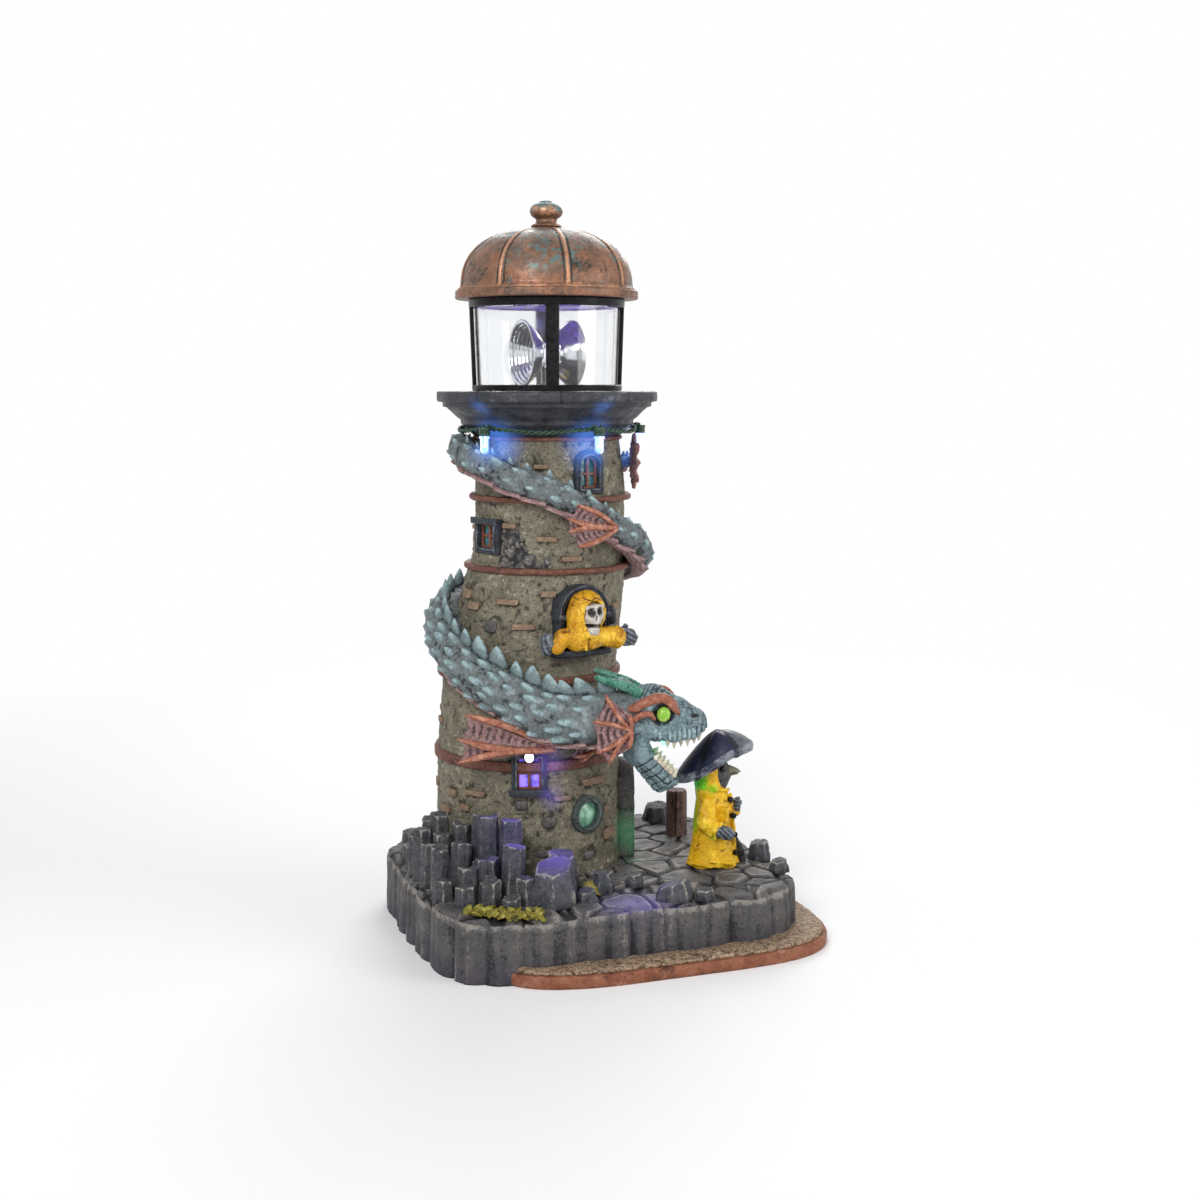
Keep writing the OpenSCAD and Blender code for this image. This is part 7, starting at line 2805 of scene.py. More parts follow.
    def scales(self) -> Shape:
        """Raised pointed scales in staggered rows and the spines along the back.

        Returns:
            All of them as one shape.
        """
        parts = []
        for spot, turn, size, _ in self.spots():
            parts.append(self.drop(spot, turn, 7.6 * size, 4.1 * size, 1.7 * size, 3.4 * size, 10))
        for k in np.arange(2.2, self.count[-1] - 0.4, 0.92):
            r = float(np.interp(k, self.count, self.radius))
            size = (0.38 if r < 5.8 else 1.0) * (0.82 + 0.36 * wobble(k, 3))
            parts.append(self.drop(k, 88, 6.6 * size, 3.2 * size, 5.0 * size, 3.2 * size, 10))
        shape = joined(parts)
        shape.relief = shape.relief + 0.25 * noise(shape.points, 1.3, 3)
        return shape

    def fringe(self) -> Shape:
        """Ragged ribbon under the body.

        Across, it runs from under the belly to an edge that climbs the flank slowly and drops at
        the end of each tooth; it stands about 0.75 mm off the skin, with folds along each tooth.

        Returns:
            The closed ribbon.
        """
        k = np.linspace(2.2, self.count[-1] - 0.9, 1000)
        tooth = (k * 0.87) % 1.0
        wild = hashed(np.stack([np.floor(k * 0.87), 0 * k, 0 * k], axis=-1), 4)
        top = -68 + (14 + 18 * wild) * (tooth**1.6) * step01(-tooth, -1.0, -0.9)
        low = np.full(k.shape, -112.0)
        ease = step01(k, 2.2, 3.0) * step01(-k, -(self.count[-1] - 0.9), -(self.count[-1] - 1.7))
        w = np.linspace(0, 1, 9)[None, :]
        a = low[:, None] + (top - low)[:, None] * w
        fold = 0.22 * np.cos(2 * np.pi * (w * 3.0 + tooth[:, None]))
        lift = ease[:, None] * (0.75 + fold + 0.5 * w**3)
        outer = self.skin_at(k[:, None] + 0 * a, a, lift)
        inner = self.skin_at(k[:, None] + 0 * a, a, lift * 0 - 0.6)[:, ::-1]
        rings = np.concatenate([outer, inner], axis=1)
        raised = 0.42 + 1.2 * fold + 0.5 * w**2
        return loft(rings, False, np.concatenate([raised, np.full(raised.shape, 0.2)], axis=1))

    def fan(self, joint: Sequence[float], tips: Sequence[Sequence[float]], scallop: float, thick: float,
            rib: float, bend: Callable[[Array], Array]) -> tuple[Shape, Shape]:
        """A fin: tapered ribs from a joint to the tips with a hollow web between neighbours.

        The web's point at t along and w across is the joint plus t (1 - 4 c w (1 - w)) times the
        blend of the two ribs. It sinks between them and carries cross wrinkles.

        Args:
            joint: where the ribs meet, in the fin's plane.
            tips: where they end.
            scallop: how far the web's edge is drawn in between two ribs, as a share.
            thick: thickness of the web.
            rib: radius of a rib at its foot.
            bend: sends points of the plane with their depth into place.

        Returns:
            The ribs and the webs.
        """
        o = np.array(joint, float)
        ends = [np.array(tip, float) for tip in tips]
        ribs, webs = [], []
        for i, tip in enumerate(ends):
            t = np.linspace(0, 1, 18)[:, None]
            across = np.array([-(tip - o)[1], (tip - o)[0]]) * 0.05 * (1 if i % 2 else -1)
            flat = o + (tip - o) * t + across * np.sin(np.pi * t)
            path = np.column_stack([flat, 0.35 + 0.25 * np.sin(np.pi * t[:, 0])])
            size = rib * np.concatenate([np.linspace(0.75, 1.0, 12), [0.98, 0.94, 0.86, 0.72, 0.5, 0.15]])
            part = tube(path, size, 10, (0, 0, 1))
            dent = rough(part.points + 9 * i, 1.6, 3, 5)
            part = part.pushed(0.1 * dent)
            part.relief = 0.5 + 0.5 * dent + 0.2 * step01(part.points[:, 2], 0.2, 1.2)
            ribs.append(part)
        for i, (a, b) in enumerate(zip(ends, ends[1:])):
            t = np.linspace(0.06, 0.97, 34)[:, None]
            w = np.linspace(0, 1, 22)[None, :]
            pull = 1 - 4 * scallop * w * (1 - w)
            x, y = (o[j] + t * pull * ((1 - w) * (a - o)[j] + w * (b - o)[j]) for j in range(2))
            far = np.linalg.norm(a - o)
            wave = np.sin(2 * np.pi * (t * far / 2.6 + 0.25 * np.cos(2 * np.pi * w)) + 3 * wobble(i, 2))
            wave = wave * np.sin(np.pi * w) ** 0.5
            grain = rough(np.stack([x, y, 0 * x + i], axis=-1), 1.5, 3, 11)
            depth = -0.55 * np.sin(np.pi * w) * np.clip(t * 2, 0, 1) + 0.16 * wave + 0.1 * grain
            front = np.stack([x, y, depth + thick / 2], axis=-1)
            rear = np.stack([x, y, depth - thick / 2], axis=-1)[:, ::-1]
            rings = np.concatenate([front, rear], axis=1)
            raised = 0.45 + 0.32 * wave + 0.3 * grain - 0.15 * np.sin(np.pi * w)
            webs.append(loft(rings, False, np.concatenate([raised, raised[:, ::-1]], axis=1)))
        return joined(ribs).placed(bend), joined(webs).placed(bend)

    def on_wall(self, f: float, z: float, out: float, curve: float) -> Callable[[Array], Array]:
        """Placing function for a fin that lies off the wall and bends back towards its tips."""
        flat = self.tower.flat(f, z)
        return lambda p: flat(p + np.column_stack([0 * p[:, 0], 0 * p[:, 0], out - curve * p[:, 0] ** 2]))

    def ear(self, side: int) -> Callable[[Array], Array]:
        """Placing function for the frill on one side of the head, flared outwards behind.

        Args:
            side: 1 or -1, the side of the head.

        Returns:
            The placing function.
        """
        def move(p: Array) -> Array:
            """Flares points of the flat frill outwards and places them.

            Args:
                p: points of the flat frill.

            Returns:
                The points where they stand in the part.
            """
            x, y, d = p.T
            out = 10.8 + 0.2 * np.clip(-8 - x, 0, None) ** 1.05 + d
            return self.place(np.column_stack([x, side * out, y]))
        return move

    def fins(self) -> tuple[Shape, Shape]:
        """Side fins, ear frills and the tail fin.

        Returns:
            The ribs and the webs.
        """
        upper = self.fan((0, 0), ((-17.3, 8.4), (-21, 4.3), (-20.8, -0.2), (-16.8, -5.4)), 0.1, 0.8, 0.95,
                         self.on_wall(22, 137.9, 8.9, 0.003))
        lower = self.fan((0, -0.4), ((-30, 12.4), (-32.2, 4.4), (-32.2, -3.6)), 0.09, 0.9, 1.25,
                         self.on_wall(-4, 66.1, 7.3, 0.004))
        second = self.fan((0, 0), ((-8, 2.4), (-9.6, -1.2), (-6.2, -3.4)), 0.12, 0.7, 0.7,
                          self.on_wall(19, 64.0, 6.5, 0.004))
        ears = []
        for side in (1, -1):
            ears.append(self.fan((-8.4, -4.2), ((-9.4, 1.6), (-17.0, 8.3), (-21.2, -0.6), (-20.2, -11.2),
                                                (-16.0, -15.0), (-9.6, -10.4)), 0.1, 0.8, 0.8,
                                 self.ear(side)))
        start = self.line[0]
        turn = math.radians(self.rows[0][0])
        along = np.array([math.cos(turn), math.sin(turn), 0])
        out = np.array([math.sin(turn), -math.cos(turn), 0])

        def tail_place(p: Array) -> Array:
            """Sets points of the flat tail fin upright at the end of the body.

            Args:
                p: points of the flat fin.

            Returns:
                The points where they stand in the part.
            """
            x, y, d = p.T
            return (start + x[:, None] * along + y[:, None] * np.array([0, 0, 1])
                    + (d - 0.2 * x)[:, None] * out)

        tail = self.fan((0.6, 0), ((-4, -9.6), (-9, -7), (-11.2, -0.6), (-9.5, 6.5), (-4.1, 9.8)), 0.14,
                        0.8, 0.85, tail_place)
        sets = [upper, lower, second, *ears, tail]
        return joined([s[0] for s in sets]), joined([s[1] for s in sets])

    def skull(self) -> Shape:
        """The head without its lower jaw, modelled as a distance field and then wrinkled.

        The lip is a rounded band along each side; bands across the scalp and the lip are cosines
        of the distance along the head.

        Returns:
            The skull in its place, with its relief and tint.
        """
        parts = [
            limb((-9, 0, -0.8), (-2, 0, 1.0), 8.0, 8.1), limb((-2, 0, 1.2), (6, 0, -0.4), 8.0, 5.4),
            limb((6, 0, -0.4), (12.2, 0, -2.6), 5.3, 4.1), ball((12.6, 0, -3.4), (3.9, 4.8, 3.3)),
            limb((1, 0, -5.6), (9.5, 0, -5.2), 5.4, 4.3)]
        for k in (1, -1):
            parts += [limb((-4, 5.4 * k, 3.4), (4.6, 4.5 * k, 3.0), 3.1, 2.5),
                      limb((10.4, 2.6 * k, 0.2), (13.4, 2.5 * k, -1.2), 1.8, 1.5),
                      limb((-0.6, 6.4 * k, -6.0), (5.5, 5.7 * k, -7.2), 1.9, 1.7),
                      limb((5.5, 5.7 * k, -7.2), (11.5, 4.2 * k, -6.4), 1.7, 1.7),
                      limb((11.5, 4.2 * k, -6.4), (14.6, 1.4 * k, -4.6), 1.7, 1.6),
                      limb((-7.0, 6.6 * k, -4.2), (-3.4, 6.9 * k, -3.8), 3.0, 2.6),
                      limb((-3.4, 6.9 * k, -3.8), (-5.4, 5.6 * k, -9.2), 2.6, 2.8)]
        whole = merged(1.3, *parts)
        tools = [brick((8, 0, -16.6), (34, 8.6, 16), 1.0, (0, -6, 0)),
                 brick((6, 0, -19.3), (16, 30, 20), 0.6, (0, -6, 0))]
        for k in (1, -1):
            tools += [ball((2.0, 8.4 * k, 0.4), (3.5, 2.7, 3.3)),
                      ball((12.4, 4.6 * k, -0.4), (1.5, 0.9, 0.7), (0, 25, 0))]
        shape = modelled(carved(0.5, whole, *tools), (-11, -11.5, -14), (18, 11.5, 11), 0.36)
        q = shape.points
        x, y, z = q.T
        top = step01(z, 2.5, 6.0) * step01(-x, -7.0, -1.0)
        lip = step01(-np.abs(z + 6.8 - 0.1 * (x - 6)), -2.6, -1.2) * step01(x, -2.0, 1.0)
        band = np.cos(2 * np.pi * (x * 0.62 + 0.25 * np.abs(y) * (z > 0)))
        dent = rough(q, 2.8, 4, 7)
        pebble = step01(-crackle(q, 1.9, 12)[1], -0.24, 0.0)
        crease = (top + 1.2 * lip) * step01(band, 0.55, 1.0)
        snout = step01(x, 6.0, 9.0) * step01(-np.abs(np.sin(2.2 * z + 0.5 * x)), -0.22, -0.02) * (1 - lip)
        shape = shape.pushed(0.2 * dent + 0.3 * lip - 0.5 * crease - 0.1 * pebble - 0.18 * snout)
        shape.relief = 0.55 + 0.5 * dent - 0.6 * crease - 0.2 * pebble - 0.3 * snout + 0.25 * lip
        eye = np.minimum(*[np.linalg.norm((q - (1.9, 7.4 * k, 0.4)) / (4.1, 4.2, 3.9), axis=1)
                           for k in (1, -1)])
        hole = np.minimum(*[np.linalg.norm((q - (12.4, 4.4 * k, -0.5)) / (1.7, 1.4, 0.8), axis=1)
                            for k in (1, -1)])
        shape.tint = np.maximum(step01(-eye, -1.15, -0.9), step01(-hole, -1.1, -0.7))
        shape.tint = np.maximum(shape.tint, step01(-z, 8.6, 9.8) * step01(-np.abs(y), -5.2, -3.6) * (x > -1))
        return shape.placed(self.place)

    def jaw(self) -> Shape:
        """The dropped lower jaw with plates across it, modelled as a distance field.

        Returns:
            The jaw in its place, with its relief and tint.
        """
        parts = []
        for k in (1, -1):
            parts += [limb((-6.2, 5.0 * k, -9.0), (-4.6, 4.9 * k, -14), 3.0, 2.9),
                      limb((-4.6, 4.9 * k, -14), (2.4, 3.2 * k, -22.4), 2.9, 2.3),
                      limb((2.4, 3.2 * k, -22.4), (5.4, 1.2 * k, -23.2), 2.2, 1.9),
                      limb((-6.4, 2.2 * k, -14.5), (0.6, 1.2 * k, -24.6), 3.2, 2.4)]
        parts += [limb((-7.4, 3, -11.6), (-7.4, -3, -11.6), 2.8, 2.8),
                  limb((1.6, 0, -24.4), (4.2, 0, -24.4), 2.6, 2.0),
                  limb((-7, 0, -8), (-7.4, 0, -13), 5, 4.2)]
        shape = modelled(merged(1.2, *parts), (-14, -10, -30), (9, 10, -5), 0.36)
        q = shape.points
        x, y, z = q.T
        run = 0.58 * x - 0.82 * z
        side = np.abs(y) + 0.5 * (0.82 * x + 0.58 * z)
        band = step01(np.cos(2 * np.pi * run / 2.7), 0.72, 1.0)
        line = step01(np.cos(2 * np.pi * side / 2.9), 0.78, 1.0)
        groove = np.maximum(band, line) * step01(run, 8.0, 10.5)
        dent = rough(q, 2.4, 4, 17)
        shape = shape.pushed(0.16 * dent - 0.4 * groove)
        shape.relief = 0.55 + 0.5 * dent - 0.6 * groove
        inside = step01(0.82 * x + 0.58 * z, -9.6, -7.6) * step01(-np.abs(y), -3.4, -2.2)
        shape.tint = 0.85 * inside
        return shape.placed(self.place)

    def spikes(self, rows: Sequence[tuple[Sequence[float], Sequence[float], float]]) -> Shape:
        """Teeth: cones from foot to tip with a rounded point and a slight swell.

        Args:
            rows: foot, tip and radius of each.

        Returns:
            All of them in their place.
        """
        parts = []
        for foot, tip, r in rows:
            path = (np.array(foot, float) + (np.array(tip, float) - np.array(foot, float))
                    * np.linspace(0, 1, 7)[:, None])
            path[:, 0] -= 0.25 * np.sin(np.linspace(0, np.pi / 2, 7))
            parts.append(tube(path, r * np.array([1, 1.04, 0.96, 0.8, 0.58, 0.34, 0.1]), 9, (1, 0.2, 0)))
        shape = joined(parts)
        shape.relief = 0.62 + 0.4 * noise(shape.points, 0.8, 4)
        return shape.placed(self.place)

    def teeth(self) -> Shape:
        """Both rows of teeth.

        Returns:
            All of them as one shape.
        """
        rows = []
        for k in (1, -1):
            for x, y in ((3.4, 6.0), (5.6, 5.9), (7.9, 5.3), (10.1, 4.6), (12.2, 3.7), (13.9, 2.0)):
                z = -8.6 + 0.105 * x + (0.5 if x > 13 else 0)
                long = 2.6 + 0.7 * wobble(x, 4)
                rows.append(((x, y * k, z + 0.8), (x + 0.2, (y - 0.2) * k, z - long), 1.02))
            for t in np.linspace(0.05, 1, 6):
                x, y, z = -1.2 + 6.4 * t, (5.0 - 3.2 * t) * k, -14.6 - 6.9 * t
                rows.append(((x, y, z), (x + 2.0, y, z + 2.0), 1.0))
        return self.spikes(rows)

    def brows(self) -> Shape:
        """Copper ridges over and under each eye: tubes along splines, thick in the middle.

        Returns:
            All of them in their place.
        """
        parts = []
        for k in (1, -1):
            over = spline([(-10.2, 8.0 * k, 2.0), (-7.6, 8.5 * k, 2.8), (-4.8, 8.4 * k, 4.4),
                           (-1.0, 7.9 * k, 5.8), (2.0, 7.4 * k, 5.9), (4.2, 7.2 * k, 4.6),
                           (5.7, 6.9 * k, 2.4), (7.1, 6.1 * k, 0.3)], 8)
            parts.append(tube(over, np.interp(np.linspace(0, 1, len(over)), (0, 0.15, 0.5, 0.8, 1),
                                              (1.1, 1.6, 1.75, 1.5, 0.6)), 16))
            under = spline([(-9.8, 8.2 * k, -4.6), (-8.8, 9.1 * k, -2.0), (-6.8, 9.5 * k, -0.2),
                            (-4.2, 9.3 * k, 0.9), (-2.2, 8.8 * k, 0.6), (-0.8, 8.2 * k, -1.2)], 8)
            parts.append(tube(under, np.interp(np.linspace(0, 1, len(under)), (0, 0.3, 0.8, 1),
                                               (0.8, 1.1, 1.0, 0.4)), 12))
        shape = joined(parts)
        dent = rough(shape.points, 2.0, 3, 9)
        shape = shape.pushed(0.14 * dent)
        shape.relief = 0.55 + 0.5 * dent
        return shape.placed(self.place)

    def eyes(self) -> Shape:
        """Eyeballs set back in dark sockets, slightly flattened.

        Returns:
            Both in their place.
        """
        parts = []
        for k in (1, -1):
            ring = pillow((4.5, 3.4, 5.0), 20, 28, 1.0)
            ring.points = ring.points @ turned((0, 14, 0)).T + (2.0, 7.0 * k, 0.5)
            parts.append(ring)
        shape = joined(parts)
        shape.relief = 0.6 + 0.3 * noise(shape.points, 1.2, 3)
        return shape.placed(self.place)

    def horns(self) -> Shape:
        """A pair of ringed horns swept back from the brow.

        Returns:
            Both in their place.
        """
        parts = []
        for k in (1, -1):
            path = spline([(-5.6, 4.6 * k, 6.6), (-9.4, 4.9 * k, 8.9), (-14.0, 6.0 * k, 10.6),
                           (-18.0, 6.6 * k, 12.0), (-20.6, 7.0 * k, 12.8)], 12)
            t = np.linspace(0, 1, len(path))
            size = np.interp(t, (0, 0.3, 0.9, 1), (1.9, 1.75, 0.95, 0.5)) + 0.07 * np.cos(2 * np.pi * t * 13)
            parts.append(tube(path, size, 16))
        shape = joined(parts)
        dent = rough(shape.points, 1.6, 3, 9)
        shape = shape.pushed(0.1 * dent)
        shape.relief = 0.5 + 0.6 * dent
        return shape.placed(self.place)

    def build(self, paints: dict[str, bpy.types.Material]) -> None:
        """Makes and dresses the serpent.

        Args:
            paints: every finish by its name.
        """
        make("serpent_hide", self.body(), paints["hide"], "case", "serpent_body", slot="serpent_skin")
        make("serpent_scales", self.scales(), paints["scale"], "case", slot="serpent_skin")
        make("belly_fringe", self.fringe(), paints["web"], "case", slot="fin_pink")
        ribs, webs = self.fins()
        make("fin_ribs", ribs, paints["rib"], "case", "serpent_fins", "serpent_tail", slot="fin_pink")
        make("fin_webs", webs, paints["web"], "case", slot="fin_pink")
        make("serpent_skull", self.skull(), paints["face"], "case", "serpent_head", slot="serpent_skin")
        make("serpent_chin", self.jaw(), paints["face"], "case", "serpent_jaw", slot="serpent_skin")
        make("fangs", self.teeth(), paints["fang"], "case", "serpent_teeth", slot="bone")
        make("brow_ridges", self.brows(), paints["rib"], "case", slot="fin_pink")
        make("eye_balls", self.eyes(), paints["eye"], "case", "serpent_eyes", slot="eye_green")
        make("swept_horns", self.horns(), paints["horn"], "case", "serpent_horns", slot="horn_green")


# The figures


def strokes(field_at: Field, rows: Sequence[tuple]) -> Field:
    """A modelled form with folds laid on it: each row is a start, an end and two radii."""
    return merged(0.55, field_at, *[limb(*row) for row in rows])


def knitted(shape: Shape, along: Sequence[float], pitch: float) -> Shape:
    """Ribs of knitting across a direction: the surface follows a cosine of the distance along it.

    Args:
        shape: the shape.
        along: direction across the ribs, of length 1.
        pitch: distance from rib to rib.

    Returns:
        The ribbed shape.
    """
    rib = np.cos(2 * np.pi * (shape.points @ np.array(along, float)) / pitch)
    dent = rough(shape.points, 1.4, 3, 5)
    shape = shape.pushed(0.13 * rib + 0.1 * dent)
    shape.relief = 0.5 + 0.35 * rib + 0.35 * dent
    return shape


def cloth(shape: Shape, seed: int) -> Shape:
    """Creased oilskin: broad dents, and sharp creases where folded noise passes through zero.

    Args:
        shape: the shape.
        seed: seed of the noise.

    Returns:
        The creased shape.
    """
    q = shape.points
    dent = rough(q, 3.4, 4, seed)
    crease = step01(-np.abs(rough(q * (1.0, 0.7, 1.0), 4.2, 3, seed + 9)), -0.10, -0.01)
    shape = shape.pushed(0.16 * dent - 0.16 * crease)
    shape.relief = shape.lift() + 0.45 * dent - 0.3 * crease
    return shape


@dataclass
class Keeper:
    """A hooded keeper leaning out of the window; x along the wall, y up and z out of it."""

    tower: Tower
    hole: Opening = KEEPER
    face: Sequence[float] = (-0.4, 2.4, 8.7)

    def coat(self) -> Shape:
        """Hood, chest and sleeves with their folds, cut clear of the frame and the sill.

        Returns:
            The coat in its place.
        """
        ring = []
        lip = ((-1.6, 7.4, 10.6), (-4.0, 6.0, 10.2), (-5.2, 3.2, 9.7), (-5.2, 0.4, 9.8), (-4.5, -2.2, 10.2),
               (-2.8, -4.2, 10.8), (-0.6, -4.0, 10.6), (1.6, -1.4, 10.2), (3.3, 1.2, 9.4), (4.0, 4.0, 9.2),
               (2.6, 6.5, 9.9), (-1.6, 7.4, 10.6))
        for a, b in zip(lip, lip[1:]):
            ring.append((a, b, 0.8, 0.8))
        whole = merged(1.0, limb((-1.7, 2.4, 6.2), (-0.9, 4.8, 6.0), 6.1, 5.8),
                       limb((-3.2, -3.0, 6.4), (-1.7, 1.0, 6.2), 4.9, 5.8),
                       limb((-5.2, -5.6, 6.8), (0.6, -5.4, 6.8), 3.9, 3.9),
                       limb((-6.8, -4.3, 6.8), (-10.2, -4.6, 6.6), 3.0, 2.7),
                       limb((-10.2, -4.6, 6.6), (-12.0, -7.6, 6.2), 2.7, 2.4),
                       limb((2.4, -4.9, 7.0), (7.0, -5.4, 7.2), 3.2, 3.3),
                       limb((7.0, -5.4, 7.2), (9.6, -5.7, 7.4), 3.2, 3.8))
        folds = (ring + [((-7.2, 4.4, 7.8), (-8.0, -1.8, 8.2), 0.6, 0.7),
                         ((-6.2, 2.4, 9.6), (-6.9, -2.6, 9.6), 0.55, 0.6),
                         ((-5.4, -1.0, 10.2), (-5.0, -4.4, 10.2), 0.5, 0.6),
                         ((-7.6, -3.2, 9.2), (-3.6, -6.0, 10.4), 0.55, 0.4),
                         ((-6.6, -5.0, 9.6), (-3.8, -7.4, 10.3), 0.45, 0.4),
                         ((2.8, -3.6, 9.6), (-1.2, -7.0, 10.5), 0.55, 0.4),
                         ((2.2, -5.6, 9.8), (-0.6, -8.2, 10.0), 0.5, 0.4),
                         ((-2.7, -4.6, 10.6), (-3.3, -8.6, 10.4), 0.45, 0.45),
                         ((-5.6, 7.2, 8.6), (2.4, 8.4, 8.0), 0.5, 0.5),
                         ((-4.4, 9.0, 7.2), (0.8, 9.8, 6.4), 0.5, 0.4),
                         ((-8.4, -2.2, 7.8), (-10.6, -6.4, 8.2), 0.5, 0.4),
                         ((-9.8, -2.2, 7.4), (-12.2, -5.8, 7.8), 0.5, 0.4),
                         ((-11.2, -2.4, 6.8), (-13.6, -5.4, 7.2), 0.5, 0.5),
                         ((4.4, -2.6, 8.4), (5.0, -7.6, 9.2), 0.5, 0.5),
                         ((6.4, -2.6, 8.6), (6.6, -7.6, 9.4), 0.5, 0.45),
                         ((9.9, -2.2, 8.0), (10.2, -9.0, 8.2), 0.6, 0.6)])
        x, y, z = self.face
        clear = [ball((x - 0.1, y - 0.1, z + 2.6), (4.1, 5.2, 5.0)),
                 brick((-2.7, -6.4, 11.6), (0.3, 4.6, 1.9), 0.1),
                 brick((0, -12.2, 2.0), (26, 5.7, 8.0), 0.3), brick((-12.4, 0, 1.9), (10.4, 30, 4.2), 0.2),
                 brick((12.4, 0, 1.9), (10.4, 30, 4.2), 0.2), brick((0, 12.2, 1.9), (30, 5.0, 4.2), 0.2),
                 brick((0, 0, 0.9), (40, 40, 3.0), 0.2)]
        shape = modelled(carved(0.3, strokes(whole, folds), *clear), (-16.5, -11.5, 1.6), (12.8, 12, 13.8),
                         0.27)
        q = shape.points
        # Painted shade: the relief rises with the distance out of the wall, so the coat is darker where it
        # lies back in the window and lighter where it stands out.
        shape.relief = 0.5 + 0.25 * step01(q[:, 2], 8.0, 11.0)
        seam = (step01(-np.abs(q[:, 0] + 2.7), -0.45, -0.15) * step01(-q[:, 1], 4.3, 4.9)
                * step01(q[:, 2], 8.5, 9.5))
        brow = np.abs(q[:, 1] - (8.1 + 0.35 * np.cos(1.6 * q[:, 0])))
        seam = np.maximum(seam, step01(-brow, -0.4, -0.12) * step01(-np.abs(q[:, 0] + 1.0), -3.4, -2.6)
                          * step01(q[:, 2], 8.0, 9.0))
        shape.relief = shape.relief - 0.7 * seam
        return cloth(shape, 3).placed(self.tower.flat(self.hole.f, self.hole.z))

    def skull(self) -> Shape:
        """Skull with sockets, nose hole, cheekbones and a parted jaw; its hollows are darkened.

        Returns:
            The skull in its place, with its relief and tint.
        """
        def at(*v: float) -> tuple[float, ...]:
            """The place v counted from the middle of the face."""
            return tuple(a + b for a, b in zip(v, self.face))

        _, y, z = self.face
        whole = merged(0.6, ball(at(0.2, 0.5, -0.2), (4.1, 3.9, 4.0)),
                       limb(at(-2.9, -0.4, 1.8), at(2.3, -0.2, 1.9), 1.0, 1.0),
                       limb(at(-0.5, -1.4, 2.2), at(-0.2, -2.0, 2.5), 2.0, 1.6),
                       limb(at(-3.0, 2.9, 2.4), at(2.6, 3.1, 2.3), 0.8, 0.8),
                       limb(at(-3.0, -1.6, 0.6), at(-1.4, -5.2, 2.0), 1.3, 1.4),
                       limb(at(1.8, -2.0, 0.8), at(0.2, -5.2, 2.0), 1.2, 1.4))
        holes = [ball(at(-1.8, 1.5, 4.2), (1.5, 1.6, 2.3)), ball(at(1.35, 1.8, 4.0), (1.2, 1.5, 2.2)),
                 ball(at(0.0, -0.5, 4.6), (0.7, 1.0, 1.5)),
                 brick(at(-1.2, -3.0, 3.0), (7.4, 0.95, 4.4), 0.3, (0, 0, -8))]
        shape = modelled(carved(0.22, whole, *holes), (-6, -6, 3.6), (5.2, 8, 14), 0.24)
        q = shape.points
        dent = rough(q, 1.8, 3, 6)
        shape = shape.pushed(0.07 * dent)
        pit = np.zeros(len(q))
        for centre, size in (((-1.8, 1.5, 3.9), (1.35, 1.5, 1.9)), ((1.3, 1.8, 3.7), (1.1, 1.4, 1.9)),
                             ((0.0, -0.4, 4.3), (0.55, 0.9, 1.4)), ((-1.2, -3.0, 2.6), (3.6, 0.6, 3.0))):
            gap = np.linalg.norm((q - np.array(at(*centre))) / size, axis=1)
            pit = np.maximum(pit, step01(-gap, -1.3, -1.0))
        shape.tint = pit
        teeth = (step01(np.cos(2 * np.pi * q[:, 0] / 0.8), 0.8, 1.0)
                 * step01(-np.abs(q[:, 1] - y + 2.9), -1.2, -0.9))
        # Painted shade: the back of the skull, deeper in the hood, is given a lower relief and so takes the
        # dark wash.
        shape.relief = (0.66 + 0.4 * dent - 0.3 * teeth * (q[:, 2] > z + 1.5)
                        - 0.25 * step01(-q[:, 2], -z - 1.5, -z))
        return shape.placed(self.tower.flat(self.hole.f, self.hole.z))

    def gloves(self) -> Shape:
        """A glove resting on its edge at the left, and a right one with its thumb raised.

        Returns:
            Both as one shape.
        """
        left = merged(0.6, limb((-15.5, -4.9, 5.3), (-15.3, -8.4, 5.0), 2.1, 2.0),
                      limb((-14.3, -4.2, 6.0), (-14.2, -6.2, 6.6), 0.8, 0.9))
        right = merged(0.6, limb((12.4, -6.1, 7.4), (14.9, -6.2, 7.0), 2.9, 3.0),
                       limb((12.4, -3.6, 7.6), (13.4, -2.5, 7.6), 1.3, 1.0),
                       limb((15.4, -5.0, 8.0), (16.8, -6.4, 8.0), 1.2, 1.1),
                       limb((14.6, -7.4, 8.2), (16.2, -8.0, 7.8), 1.1, 1.0))
        a = modelled(left, (-18.6, -11.4, 2), (-12.4, -2, 8.6), 0.26)
        b = modelled(right, (8.6, -10, 3.4), (19, -0.6, 11), 0.26)
        shape = knitted(a, (0.35, 0.2, 0.9), 1.5) + knitted(b, (0.5, 0.85, 0.1), 1.5)
        return shape.placed(self.tower.flat(self.hole.f, self.hole.z))

    def build(self, paints: dict[str, bpy.types.Material]) -> None:
        """Makes and dresses the keeper.

        Args:
            paints: every finish by its name.
        """
        make("keeper_oilskin", self.coat(), paints["oilskin"], "case", "keeper_coat", slot="yellow_coat")
        make("keeper_bone", self.skull(), paints["bone"], "case", "keeper_skull", slot="bone")
        make("keeper_mitts", self.gloves(), paints["glove"], "case", "keeper_gloves", slot="knit")


